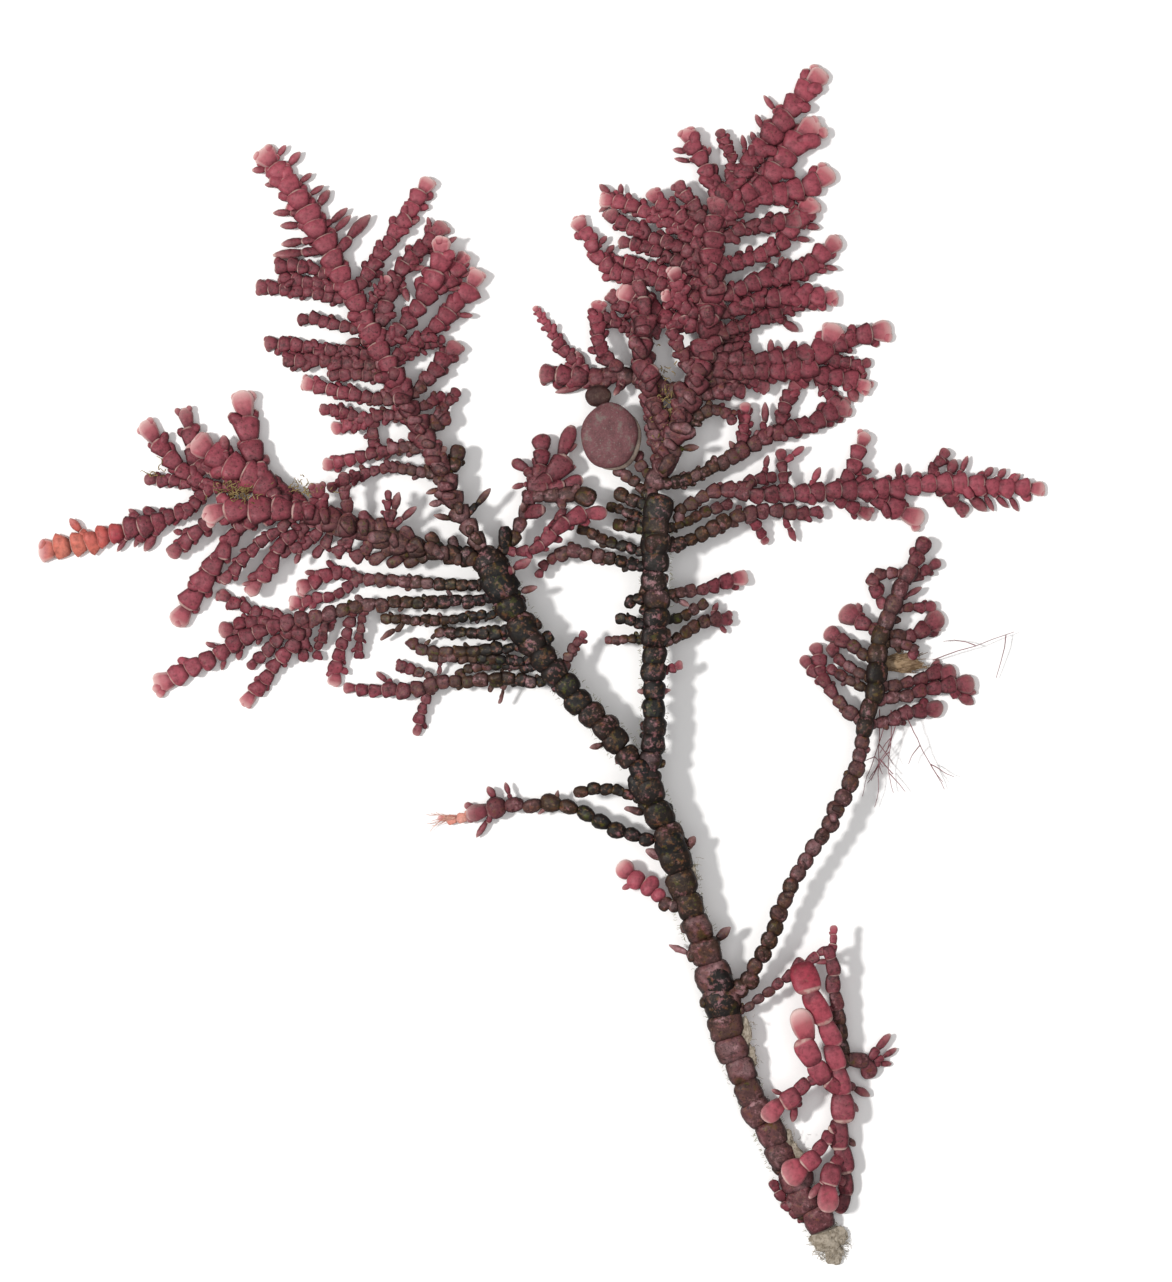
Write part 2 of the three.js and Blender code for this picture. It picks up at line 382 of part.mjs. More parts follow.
      [1, 1.1, 2.6, [[10.6, 17.4], [9.8, 18.5], [9.6, 20], [9.5, 21.5, 1.2], [9, 23.2]]],
      [0.9, 1, 3.4, [[13, 24.2], [12.4, 25.5], [11.9, 27], [11.1, 28.6]]],
      [0.9, 0.9, 2.8, [[11.8, 20.2], [13, 20.9], [14.6, 21.9], [15.6, 21.6], [16.6, 20.6]]],
      [1, 1.1, 2.2, [[12.9, 22.8], [15, 23.2], [17.4, 23.5]]],
      [0.9, 0.9, 1.6, [[13.1, 23.8], [16, 24.4], [18, 24.3], [19.4, 23.4]]],
      [1.2, 1.4, 0.9, [
        [13.5, 25], [16.5, 25], [18.5, 25, 1.3], [20.5, 25.2, 1.4], [22.2, 25, 1.8], [23.4, 26, 2],
        [24.6, 27.6, 1.8], [25.1, 29],
      ]],
      [1.2, 1.3, 1.6, [[13.9, 26.2], [17, 25.9], [19.5, 26.1], [20.8, 26.3], [22, 26.5], [23, 26.6]]],
      [1.2, 1.1, 0.7, [[22.4, 25], [25, 24.5, 1.4], [26.5, 24.3, 1.4], [28.1, 23.5]]],
      [1, 0.8, 0.7, [[23.6, 26.2], [25, 26], [26, 25.7], [27.2, 25.6], [28.1, 26]]],
      [1, 1.5, 0.5, [[24, 26.8], [26, 27.4, 1.2], [26.8, 28.1, 1.4], [28.7, 28.5, 1.8], [29.8, 28.5]]],
      [0.7, 0.8, 0.9, [[23.2, 25.2], [24.2, 23.6], [24.6, 23], [25.5, 22.3]]],
      [1, 1.2, 0.6, [
        [11, 15.4], [12.6, 15.8, 0.9], [14.5, 16.8, 0.9], [16, 17.5, 1], [17.5, 18.5, 1.2],
        [19, 19.3, 1.2], [20.5, 19.8, 1.3], [22.5, 20.4, 1.3], [23.7, 21, 1.4], [25, 21.8, 1.4],
        [26.4, 22.1],
      ]],
      [0.9, 1, 0.9, [[20.2, 19.9], [20.8, 22], [21.2, 23, 1.2], [22, 24.2]]],
      [0.8, 0.9, 1.4, [[16.9, 18.2], [17.4, 20], [17.4, 22.4]]],
      [1, 0.8, 0.6, [[14.4, 27.8], [17, 28.8], [19, 29.6], [20.5, 30.2, 1.1], [22, 30.6], [23.1, 31]]],
      [1, 1.1, 0.8, [
        [14.5, 29.4], [16.8, 30.4], [18.3, 31], [20, 31.3], [21.3, 31.5], [22.7, 31.5, 1.5],
        [23.7, 31.4], [25.3, 31.3],
      ]],
      [1, 1.3, 0.8, [
        [14.6, 31.2], [17.5, 32.2], [19.3, 33], [20.6, 33.1, 1.5], [22.3, 33.4, 1.4],
        [23.2, 34.2, 1.4], [24.2, 35.2, 1.5], [25.6, 36.2],
      ]],
      [1, 1.7, 0.8, [
        [14.6, 33.2], [17, 34.4], [19, 35], [20.3, 35.7, 1.3], [21.5, 37.3, 1.5], [22.2, 38.5, 1.7],
        [23.4, 39.7],
      ]],
      [1, 1.3, 1.5, [[14.7, 35.8], [17.5, 37.2], [19.5, 37.5], [20.7, 37.7, 1.3], [22.1, 38]]],
      [1.1, 1.4, 0.6, [
        [14.9, 37.4], [17.9, 39.6], [19.2, 40.2], [20.6, 40.2, 1.5], [21.8, 40.5, 1.6],
        [22.8, 40.6, 1.6], [23.8, 41.2, 1.7], [24.6, 42.4],
      ]],
      [0.9, 0.9, 1.6, [[14, 26.6], [15.6, 26.9], [17.9, 27]]],
      [0.9, 0.8, 1.2, [[14.1, 27.2], [15.6, 27.7], [17.8, 28]]],
      [0.9, 0.9, 1.4, [[15, 36.8], [16.6, 38.8], [18.6, 41.8], [20, 43]]],
    ],
    pinnules: [
      [0.6, 0.9, 6.6, 39.5, 5.1, 41], [0.8, 0.9, 4.2, 24.6, 3.1, 26.8], [0.6, 0.8, 5.5, 23.9, 1.4, 23],
      [0.6, 1, 19.8, 25.6, 19.5, 27.7], [0.9, 0.8, 25.9, 24.3, 26.8, 22.4],
      [0.6, 1.2, 19, 19.3, 19.3, 22.4], [0.6, 1.8, 16.9, 17.9, 16.2, 19.1],
      [0.6, 3.4, 11.2, 18.4, 13.5, 18.3], [0.7, 0.8, 19.6, 29.8, 22, 28.5],
      [0.6, 1, 20.5, 33.1, 20.6, 34.8], [0.6, 0.9, 21.6, 37.5, 23.8, 37.3],
      [0.6, 2, 13.9, 38, 12.3, 38],
    ],
  },
  right_frond: {
    footHeight: 3.6,
    flatness: 0.62,
    chains: [
      [0.9, 1, 0.55, [
        [11.4, 13.2], [12.5, 13.6], [13.5, 14.2, 1, 3.2], [14.8, 14.9, 1.1], [17.5, 14.7, 1.3, 3],
        [19.5, 14.4, 1.3], [21, 14.5, 1.4], [23, 14.7, 1.4], [25, 15, 1.5], [27, 14.9, 1.5],
        [29, 15.1, 1.5], [31, 15.2, 1.5], [33, 15.4, 1.5], [35, 15.5, 1.5], [37, 15.5, 1.5],
        [39, 15.3, 1.4], [41, 15.1, 1.3], [42.9, 15.1],
      ]],
      [0.9, 0.8, 0.9, [[33, 15.6], [33.6, 17], [34.7, 18.4]]],
      [0.9, 1, 1, [[25.2, 15.2], [26.4, 16.2], [26.9, 17.8, 1.2], [27.6, 19.9]]],
      [0.8, 0.8, 1.2, [[20.7, 14.6], [20.7, 16.2], [20.5, 18.4]]],
      [0.9, 0.9, 1.8, [[17, 15.2], [18.5, 16], [20.1, 16]]],
      [1, 1, 0.5, [[33.8, 15.2], [35.2, 14], [36.3, 13]]],
      [0.9, 1.1, 0.8, [[24.5, 14.6], [26.5, 13.4], [28.2, 12.8]]],
      [1.1, 1.3, 0.6, [[27.3, 14.7], [29.5, 13.8, 1.3], [30.7, 13.1, 1.6], [32.5, 12.3]]],
    ],
    pinnules: [
      [0.9, 0.9, 34.3, 15.7, 35.5, 17.5], [0.6, 0.8, 37.3, 15.6, 38.5, 16.9],
      [0.6, 0.8, 38.5, 15.5, 39.6, 16.8], [0.6, 1.4, 30.3, 15.4, 30.6, 17.3],
      [0.6, 1, 26.5, 16.4, 28.2, 16.6], [0.6, 1.8, 22.9, 14.9, 23.6, 16.9],
      [0.6, 1.2, 20.7, 17.2, 22.4, 18.7], [0.9, 0.5, 35.6, 15, 37.8, 13],
    ],
  },
  side_frond: {
    footHeight: 2.5,
    flatness: 0.75,
    chains: [
      [1.4, 1, 2.9, [
        [17.6, -27.4], [17.7, -26.4, 1.3], [18.4, -25.2, 1.1], [19.3, -23.6, 1.2, 3.4],
        [19.9, -22, 1.2], [20.5, -20.3], [21.1, -18.8, 1.2], [21.9, -17.4, 1.2], [22.7, -16.1, 1.2],
        [23.6, -14.8, 1.2, 4], [24.5, -13.4, 1.2], [25.2, -12.1, 1.2], [26, -10.4, 1.3],
        [26.7, -8.9, 1.2], [27.1, -7.4, 1.1], [27.4, -5.8],
      ]],
      [1.5, 1.4, 1.4, [
        [27.4, -5.8], [27.7, -4.4, 1.7], [28.2, -3, 1.7], [28.5, -1, 1.8], [28.6, 1, 1.8],
        [28.8, 2.5, 1.6], [29.6, 4, 1.5], [30.1, 5.2, 1.5], [30.5, 6.4, 1.5], [31.1, 7.8, 1.4],
        [31.6, 8.7, 1.3], [32.3, 9.8, 1.4], [32.9, 10.9],
      ]],
      [0.7, 0.8, 0.8, [[30.7, 6.9], [32.3, 7.8], [34, 8.9]]],
      [0.7, 0.8, 0.8, [[29.9, 4.8], [31.5, 5], [33.7, 5.1]]],
      [0.8, 1.2, 0.5, [[29.2, 2.9], [31.3, 2.3, 0.9], [32.1, 2.7], [33.2, 3.5, 1.5], [34.2, 4.4]]],
      [0.9, 0.8, 1.6, [[29, 2], [30.8, 1.9], [32.2, 1.6], [31.4, 0.7]]],
      [0.9, 1.4, 0.5, [
        [28.7, -1.8], [30.4, -1.6], [31.5, -1.3], [33.3, -0.7, 1], [34.9, -0.6], [35.4, -0.7],
      ]],
      [0.9, 1.5, 0.6, [
        [28.5, -2.8], [30, -2.7], [31.8, -2.3], [33.5, -1.8, 1.1], [35, -1.7, 1.2], [36.8, -1.2],
      ]],
      [0.8, 1.4, 0.5, [[28, -4.9], [29.5, -4.6], [31, -4.1], [32.5, -3.6, 1.2], [34.2, -3.5]]],
      [0.8, 1.5, 0.8, [[29, 2.9], [27.6, 3.6], [26.4, 4.2, 1.4], [25.7, 4.9]]],
      [0.8, 1.2, 0.7, [[28.5, 0.4], [27.4, 1], [26.3, 1.8], [25.2, 2.5, 1.1], [24.4, 3.2]]],
      [0.8, 0.9, 1.2, [[28.4, -1.1], [27.2, -0.6], [26, 0], [25.1, 0.9], [24.7, 1.9]]],
      [0.7, 0.8, 1.6, [[28.2, -2.2], [27, -1.6], [25.8, -1], [24.4, 0]]],
      [0.9, 0.8, 0.5, [
        [27.6, -4.9], [26.3, -3.8], [25.3, -2.9, 1], [24.6, -1.9], [24, -0.9, 1], [22.9, -0.2],
        [22.2, 0.8],
      ]],
      [0.9, 0.8, 0.8, [[24, -0.8], [23.7, 0.8, 1.1], [23.4, 2]]],
      [0.7, 0.8, 1.8, [[31, 7.9], [29.5, 7.9], [28.3, 7.8], [28.2, 6.8, 1.1], [28.6, 6], [29.4, 5]]],
    ],
    pinnules: [
      [0.7, 0.5, 33, 0.3, 34.1, 0.5], [0.7, 0.5, 35, -1.7, 37.1, -2.3],
      [0.9, 0.4, 34.6, -1.9, 36.9, -3.2], [0.6, 1.2, 27.4, 3.8, 27.1, 5.4],
      [0.6, 0.8, 33, 3.2, 34.1, 3],
    ],
  },
  middle_sprig: {
    footHeight: 4.3,
    flatness: 0.7,
    chains: [
      [0.9, 1.3, 1.2, [
        [-2.9, 9.9], [-2.3, 10.6, 1.1], [-1.9, 11.6, 1.2], [-1.4, 12.6, 1.1], [-1, 13.6, 1.1],
        [-0.7, 15, 1.2], [0, 16.5, 1.3], [0.3, 18, 1.4], [0.2, 19.7],
      ]],
      [0.9, 1.1, 3.6, [[-2.9, 9.9], [-3.3, 10.6], [-3.3, 11.8]]],
      [1, 0.7, 1.6, [[-0.6, 15.2], [1, 16.2, 1.4], [1.9, 17.9, 1.6], [2.4, 19.2, 1.3], [2.75, 20.4]]],
      [0.8, 0.9, 2.4, [[-0.7, 14.9], [1.5, 15.2], [3.6, 15.9]]],
      [0.8, 0.9, 1, [[-0.3, 16], [-1.2, 16.8], [-2.3, 17.4]]],
      [0.8, 1.3, 3.4, [[-0.8, 14.4], [1.2, 14.4], [3, 14.7, 1.2], [4.1, 14.6, 1.4], [4.5, 13.9]]],
      [0.7, 0.7, 3.6, [[1.6, 14.5], [2, 13.2], [1.3, 12.2]]],
      [0.9, 1.2, 3.6, [[-1.2, 12.9], [-0.3, 13.2], [0.6, 12.8]]],
      [0.6, 1.1, 3.6, [
        [-2.5, 9.6], [-0.9, 9.6, 0.8, 4.3], [0.5, 10.5, 0.9, 4.3], [1.6, 11.8, 1.1, 4.2],
        [3, 12.7, 1.2], [4.2, 13, 1.2], [5.6, 13.3],
      ]],
      [0.8, 0.8, 4.2, [[1.2, 12.2], [0.8, 11.2], [0.7, 10.9]]],
    ],
    pinnules: [
      [0.6, 2, 1.6, 16.6, 3.1, 16.9], [0.6, 1.4, 2, 18.2, 3.2, 18.7], [0.6, 3.8, -1.3, 13, -1.6, 13.8],
    ],
  },
  basal_tuft: {
    footHeight: 0.9,
    flatness: 0.68,
    chains: [
      [1.2, 0.9, 0.5, [[24.35, -48.9], [24.6, -49.4, 2.4], [24.8, -50, 2], [25.1, -51]]],
    ],
    pinnules: [
      [0.9, 0.6, 24.5, -49.3, 22.9, -48.7], [0.9, 0.5, 24.6, -49.4, 23.3, -49.7],
      [0.9, 0.5, 24.8, -49.8, 24, -50.6], [0.9, 0.6, 24.6, -49.3, 26.1, -49.9],
      [0.9, 0.6, 24.5, -49.2, 26.2, -48.7], [0.8, 0.7, 25.3, -49, 25.9, -47.8],
      [0.8, 0.4, 24.8, -49.9, 25.9, -50.7],
    ],
  },
  basal_shoots: {
    footHeight: 2.6,
    flatness: 0.7,
    chains: [
      [0.7, 0.7, 3.6, [
        [17.2, -29.3], [18.5, -28.2, 0.8], [19.7, -27.4, 0.8], [21, -26.3, 0.9], [22.3, -25.4, 1.2],
        [23.4, -24.5, 0.8], [24.4, -23.8],
      ]],
      [0.8, 0.9, 1.9, [
        [24.5, -24], [24.7, -24.9, 1.1], [24.8, -26.6], [25, -28.2, 1.1], [25.4, -29.9], [25.6, -31.5],
        [25.9, -33],
      ]],
      [0.8, 0.5, 3.6, [[24.7, -24.4], [24.9, -23.2, 0.6], [24.9, -21.9]]],
      [1.9, 1.2, 0.8, [
        [22.6, -25.9, 1.9, 3.8], [22.6, -27.1, 2.3, 3.8], [23.3, -28.6, 1.9], [24.1, -30.2, 1.7],
        [24.6, -32, 1.6], [25, -33.8, 1.7], [25.6, -35.1, 1.8], [25.6, -36.6, 1.7], [25.4, -38.2, 1.8],
        [25.5, -39.7, 1.7], [25.6, -41.3, 1.7], [25.9, -42.9, 1.4], [26.1, -45, 1.3], [25.5, -46.6],
      ]],
      [1.4, 1.9, 4.1, [
        [24.7, -35.9, 1.4, 2.8], [23.6, -34.3, 1.6, 3.4], [22.9, -32.8, 1.9], [22.4, -31, 2.4],
        [22, -29.5, 2.2], [21.9, -28.8],
      ]],
      [0.9, 1.2, 0.6, [
        [25.2, -34], [26.3, -33.3], [27.2, -33.5, 1.3], [28.2, -33.8, 1.2], [28.2, -35],
      ]],
      [0.9, 1.4, 3.3, [
        [23.6, -34.9], [22.7, -35.2, 0.9, 3.2], [21.9, -36.1, 1.1], [21, -36.6, 1.4], [20, -37.2, 1.7],
        [18.8, -38.2],
      ]],
      [0.8, 1.7, 3.2, [
        [25.2, -39], [24.3, -39.7, 0.8, 2.5], [24, -40.9, 1, 2.8], [23, -41.8, 1.2],
        [21.6, -42.7, 1.8], [20.6, -43.4],
      ]],
      [0.8, 1.6, 3, [[25.4, -41.5], [24.7, -42.8, 1.2, 2.7], [24.4, -44.4, 1.7], [24.5, -46.3]]],
    ],
    pinnules: [
      [0.8, 0.8, 27.9, -33.4, 29.7, -31.2], [0.6, 0.6, 28.2, -33.6, 30.4, -32.6],
      [0.6, 0.5, 28, -33.9, 29.9, -33.9], [0.8, 0.6, 26.2, -35, 27.9, -36.7],
      [0.7, 0.7, 26, -36.2, 27, -37.9], [0.8, 1.6, 21.9, -36.3, 21.4, -38.6],
      [0.8, 2.9, 24.4, -42.6, 22.8, -45.1], [0.8, 1.4, 25.2, -42.6, 25.8, -44.2],
      [0.7, 0.5, 26.1, -39.5, 26.8, -40.9], [0.6, 3.4, 24.3, -25, 23.2, -25.2],
      [0.6, 2.6, 23.9, -29.4, 25.2, -28.8],
    ],
  },
};

const COLOURS = {
  main_stem: "#3b3029",
  lower_branchlet: "#5d3a40",
  pink_bead_shoot: "#b4545f",
  left_arm: "#4c3433",
  right_arm: "#463531",
  upper_left_frond: "#7c4149",
  left_frond: "#84454d",
  crown_frond: "#7a4047",
  right_frond: "#7c434b",
  side_frond: "#683a42",
  middle_sprig: "#7c434d",
  basal_tuft: "#8c8570",
  basal_shoots: "#8e3f49",
  crust_disc: "#7b5a5d",
  crust_knob: "#513431",
};

// The two round crusts that grow on the crown frond's lower left side:
// [centre x, centre y, half width, half length, underside height, thickness].
const CRUSTS = {
  crust_disc: [5.9, 19.5, 2.38, 2.85, 3.25, 0.8],
  crust_knob: [4.95, 22.9, 1.1, 0.95, 2.15, 0.8],
};
const CRUST_SIDES = 18;
// A crust's outline at rising levels: [share of its thickness, share of its half width].
const CRUST_LEVELS = [[0, 0.9], [0.3, 1], [0.75, 0.86], [1, 0.5]];
// The waves of its edge: [share of the half width, waves round the edge, start in radians].
const CRUST_WAVES = [[0.02, 2, 1], [0.015, 5, 0]];

const wasm = await Module();
wasm.setup();

// A steady number from -0.5 to 0.5 that differs from place to place.
function uneven(x, y) {
  const wave = Math.sin(x * 12.9898 + y * 78.233) * 43758.5453;
  return wave - Math.floor(wave) - 0.5;
}

// Closes a row of rings into one solid, the first ring at the foot and the last at the tip.
function loft(rings) {
  const sides = rings[0].length;
  const vertProperties = new Float32Array(rings.flat().flatMap((p) => p.toArray()));
  const triVerts = [];
  for (let i = 0; i + 1 < rings.length; i++) {
    for (let k = 0; k < sides; k++) {
      const a = i * sides + k;
      const b = i * sides + ((k + 1) % sides);
      triVerts.push(a, b, b + sides, a, b + sides, a + sides);
    }
  }
  const last = (rings.length - 1) * sides;
  for (let k = 1; k + 1 < sides; k++) {
    triVerts.push(0, k + 1, k, last, last + k, last + k + 1);
  }
  const mesh = new wasm.Mesh({ numProp: 3, vertProperties, triVerts: new Uint32Array(triVerts) });
  return new wasm.Manifold(mesh);
}

// One flattened ring across a branch.
function ring(middle, along, width, thickness, section) {
  const across = new THREE.Vector3(-along.y, along.x, 0).normalize();
  const up = new THREE.Vector3().crossVectors(along, across);
  return section.map(([side, rise]) =>
    middle
      .clone()
      .addScaledVector(across, (side * width) / 2)
      .addScaledVector(up, (rise * thickness) / 2),
  );
}

// The nearest point to (x, y) on the given branches, or null when none is in reach.
function nearestOn(laid, x, y, reach = REACH) {
  let best = null;
  let least = reach;
  for (const joints of laid) {
    for (let i = 0; i + 1 < joints.length; i++) {
      const from = joints[i].at;
      const to = joints[i + 1].at;
      const run = new THREE.Vector2(to.x - from.x, to.y - from.y);
      const share = ((x - from.x) * run.x + (y - from.y) * run.y) / run.lengthSq();
      const point = from.clone().lerp(to, Math.min(1, Math.max(0, share)));
      const away = Math.hypot(point.x - x, point.y - y);
      if (away < least) {
        least = away;
        best = point;
      }
    }
  }
  return best;
}

// Where a branch springs from: what it touches, else the axis, else the nearest branch.
function rootOf(laid, x, y) {
  const touched = nearestOn(laid, x, y, TOUCHING);
  const onAxis = nearestOn(laid.slice(0, 1), x, y);
  return touched ?? onAxis ?? nearestOn(laid, x, y);
}

// Fills in the value of every point of a path from the ones that are given.
function spread(stations, given) {
  const known = stations.map((s, i) => [s, given[i]]).filter((pair) => pair[1] !== undefined);
  return stations.map((s) => {
    const after = Math.max(1, known.findIndex((pair) => pair[0] >= s));
    const [s0, v0] = known[after - 1];
    const [s1, v1] = known[after];
    return v0 + ((v1 - v0) * (s - s0)) / (s1 - s0);
  });
}

// Turns a written path into points with a width each and a distance from the foot.
function layPath(points, footWidth, tipWidth, footHeight, tipHeight) {
  const stations = [0];
  for (let i = 1; i < points.length; i++) {
    const step = Math.hypot(points[i][0] - points[i - 1][0], points[i][1] - points[i - 1][1]);
    stations.push(stations[i - 1] + step);
  }
  const end = points.length - 1;
  const widths = points.map((p) => p[2]);
  const heights = points.map((p) => p[3]);
  widths[0] = widths[0] ?? footWidth;
  widths[end] = widths[end] ?? tipWidth;
  heights[0] = heights[0] ?? footHeight;
  heights[end] = heights[end] ?? tipHeight;
  const allWidths = spread(stations, widths);
  const allHeights = spread(stations, heights);
  return points.map((p, i) => ({
    at: new THREE.Vector3(p[0], p[1], allHeights[i]),
    width: allWidths[i],
    station: stations[i],
  }));
}

// Where a path is at a distance from its foot.
function along(path, station) {
  const found = path.findIndex((p) => p.station >= station);
  const after = Math.max(1, found < 0 ? path.length - 1 : found);
  const [from, to] = [path[after - 1], path[after]];
  const share = (station - from.station) / (to.station - from.station);
  return {
    at: from.at.clone().lerp(to.at, share),
    width: from.width + (to.width - from.width) * share,
  };
}

// The joints of a branch, evenly spaced along its path.
function jointsOf(path, { base, share }) {
  const length = path[path.length - 1].station;
  const meanWidth = path.reduce((sum, p) => sum + p.width, 0) / path.length;
  const count = Math.max(1, Math.round(length / (base + share * meanWidth)));
  return Array.from({ length: count + 1 }, (_, i) => along(path, (length * i) / count));
}

// The segments between the joints: a neck at each joint and a shoulder near each upper end.
function segments(joints, flatness, section) {
  const ways = joints.slice(1).map((joint, i) => joint.at.clone().sub(joints[i].at).normalize());
  const rings = [];
  const add = (at, way, width) => {
    const thickness = Math.max(THINNEST, width * flatness);
    rings.push(ring(at, way, Math.max(THINNEST, width * FULL), thickness, section));
  };
  ways.forEach((way, i) => {
    const [low, high] = [joints[i], joints[i + 1]];
    const before = ways[Math.max(0, i - 1)];
    add(low.at, before.clone().add(way).normalize(), low.width * NECK);
    const at = low.at.clone().lerp(high.at, SHOULDER);
    const width = low.width + (high.width - low.width) * SHOULDER;
    add(at, way, width * (1 + UNEVEN * uneven(at.x, at.y)));
  });
  const end = joints[joints.length - 1];
  add(end.at, ways[ways.length - 1], end.width * TIP);
  return loft(rings);
}

// A lone leaf-like segment.
function pinnule(foot, tip, width, flatness) {
  const way = tip.clone().sub(foot).normalize();
  const thickness = Math.max(THINNEST, width * flatness);
  return loft(
    PINNULE.map(([share, size]) =>
      ring(foot.clone().lerp(tip, share), way, width * size, thickness * size, RIDGE),
    ),
  );
}

// All the branches of a frond, joined and cut flat where they touch the ground.
function frond({ footHeight, flatness, chains, pinnules }) {
  const laid = [];
  const solids = [];
  for (const [footWidth, tipWidth, tipHeight, points] of chains) {
    const root = rootOf(laid, points[0][0], points[0][1]);
    const onRoot = root && Math.hypot(root.x - points[0][0], root.y - points[0][1]) < ROOTED;
    const rooted = root && !onRoot ? [[root.x, root.y, footWidth], ...points] : points;
    const path = layPath(rooted, footWidth, tipWidth, root ? root.z : footHeight, tipHeight);
    const isAxis = laid.length === 0;
    const joints = jointsOf(path, isAxis ? AXIS_LENGTH : SIDE_LENGTH);
    const sideSection = tipWidth >= BROAD ? BOX : RIDGE;
    solids.push(segments(joints, flatness, isAxis ? BEAD : sideSection));
    laid.push(joints);
  }
  for (const [width, tipHeight, footX, footY, tipX, tipY] of pinnules) {
    const root = nearestOn(laid, footX, footY);
    const tip = new THREE.Vector3(tipX, tipY, tipHeight);
    solids.push(pinnule(root, tip, width, flatness));
  }
  const whole = solids.reduce((joined, solid) => joined.add(solid));
  return whole.trimByPlane([0, 0, 1], GROUND).simplify(SMOOTH);
}

// A thin round crust with a domed top and a slightly wavy edge.
function crust([x, y, halfWidth, halfLength, height, thickness]) {
  return loft(
    CRUST_LEVELS.map(([rise, size]) =>
      Array.from({ length: CRUST_SIDES }, (_, k) => {
        const angle = (2 * Math.PI * k) / CRUST_SIDES;
        const wave = CRUST_WAVES.reduce(
          (sum, [share, count, start]) => sum + share * Math.sin(count * angle + start),
          1,
        );
        return new THREE.Vector3(
          x + halfWidth * size * wave * Math.cos(angle),
          y + halfLength * size * wave * Math.sin(angle),
          height + thickness * rise,
        );
      }),
    ),
  );
}

function addNode(group, name, solid) {
  const { vertProperties, triVerts } = solid.getMesh();
  const geometry = new THREE.BufferGeometry();
  geometry.setAttribute("position", new THREE.BufferAttribute(vertProperties, 3));
  geometry.setIndex(new THREE.BufferAttribute(triVerts, 1));
  geometry.computeVertexNormals();
  const material = new THREE.MeshStandardMaterial({
    color: COLOURS[name],
    roughness: 0.6,
    metalness: 0,
  });
  const mesh = new THREE.Mesh(geometry, material);
  mesh.name = name;
  group.add(mesh);
}

const group = new THREE.Group();
group.name = "johansenia_macmillanii";
for (const [name, parts] of Object.entries(FRONDS)) {
  addNode(group, name, frond(parts));
}
for (const [name, sizes] of Object.entries(CRUSTS)) {
  addNode(group, name, crust(sizes));
}

// The origin is under the middle of the whole specimen, at ground level.
const box = new THREE.Box3().setFromObject(group);
const middle = box.getCenter(new THREE.Vector3());
for (const mesh of group.children) {
  mesh.geometry.translate(-middle.x, -middle.y, -box.min.z);
}

export default group;
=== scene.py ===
# %% [markdown]
# # A jointed coralline seaweed, lying on a pale table
# The plant is a chain of short limy segments, as a necklace is a chain of beads. Its dark old stem
# forks and carries feather-like fronds, whose young tips are pink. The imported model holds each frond
# as a coarse solid. This lesson dresses each solid with the finer segments that the plant has.

import json
import math
import random
from collections import namedtuple

import bmesh
import bpy
import numpy as np
from mathutils import Matrix, Vector

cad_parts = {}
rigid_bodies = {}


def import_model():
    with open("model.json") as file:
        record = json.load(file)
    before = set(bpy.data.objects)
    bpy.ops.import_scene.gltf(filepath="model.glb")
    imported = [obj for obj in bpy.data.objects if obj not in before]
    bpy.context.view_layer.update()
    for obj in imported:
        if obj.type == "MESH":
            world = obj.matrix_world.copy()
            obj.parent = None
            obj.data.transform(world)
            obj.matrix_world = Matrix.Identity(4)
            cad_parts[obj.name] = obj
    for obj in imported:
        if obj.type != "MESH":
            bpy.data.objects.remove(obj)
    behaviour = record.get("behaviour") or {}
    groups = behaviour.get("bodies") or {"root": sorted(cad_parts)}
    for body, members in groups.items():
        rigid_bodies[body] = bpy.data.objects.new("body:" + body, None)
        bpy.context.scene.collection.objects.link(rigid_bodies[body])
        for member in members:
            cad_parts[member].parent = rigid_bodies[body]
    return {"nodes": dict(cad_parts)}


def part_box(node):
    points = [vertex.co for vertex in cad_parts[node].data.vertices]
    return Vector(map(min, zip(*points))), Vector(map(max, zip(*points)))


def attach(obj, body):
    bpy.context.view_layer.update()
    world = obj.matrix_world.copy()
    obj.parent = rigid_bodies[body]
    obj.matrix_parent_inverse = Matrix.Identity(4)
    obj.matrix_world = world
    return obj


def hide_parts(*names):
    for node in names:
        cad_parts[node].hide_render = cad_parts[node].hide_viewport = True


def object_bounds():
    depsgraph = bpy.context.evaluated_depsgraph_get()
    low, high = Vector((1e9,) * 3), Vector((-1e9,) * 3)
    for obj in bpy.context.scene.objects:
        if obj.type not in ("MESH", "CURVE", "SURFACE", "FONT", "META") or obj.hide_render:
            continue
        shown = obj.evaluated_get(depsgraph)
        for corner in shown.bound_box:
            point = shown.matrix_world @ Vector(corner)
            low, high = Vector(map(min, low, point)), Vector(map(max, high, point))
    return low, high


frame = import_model()
cad_box = [list(corner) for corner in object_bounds()]
MM = 0.001
print("packed nodes:", len(frame["nodes"]), "box in mm:", [[round(v / MM, 1) for v in c] for c in cad_box])

# %% [markdown]
# Every place below is in millimetres, read off the photograph from its own middle. The round crust is in
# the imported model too, so its box tells how far that reading is from the model's own frame.

# %% Find the model's frame from the round crust
DISC = dict(x=5.9, y=19.5, half_width=2.38, half_length=2.85, underside=3.25, thickness=0.8)
DISC_SIDES = 18


def crust_edge(size, sides):
    """The crust's outline round its own middle: an ellipse with two slow waves."""
    angle = np.arange(sides) * 2 * math.pi / sides
    wave = 1 + 0.02 * np.sin(2 * angle + 1) + 0.015 * np.sin(5 * angle)
    across = size["half_width"] * wave * np.cos(angle)
    return np.stack([across, size["half_length"] * wave * np.sin(angle)], axis=1)


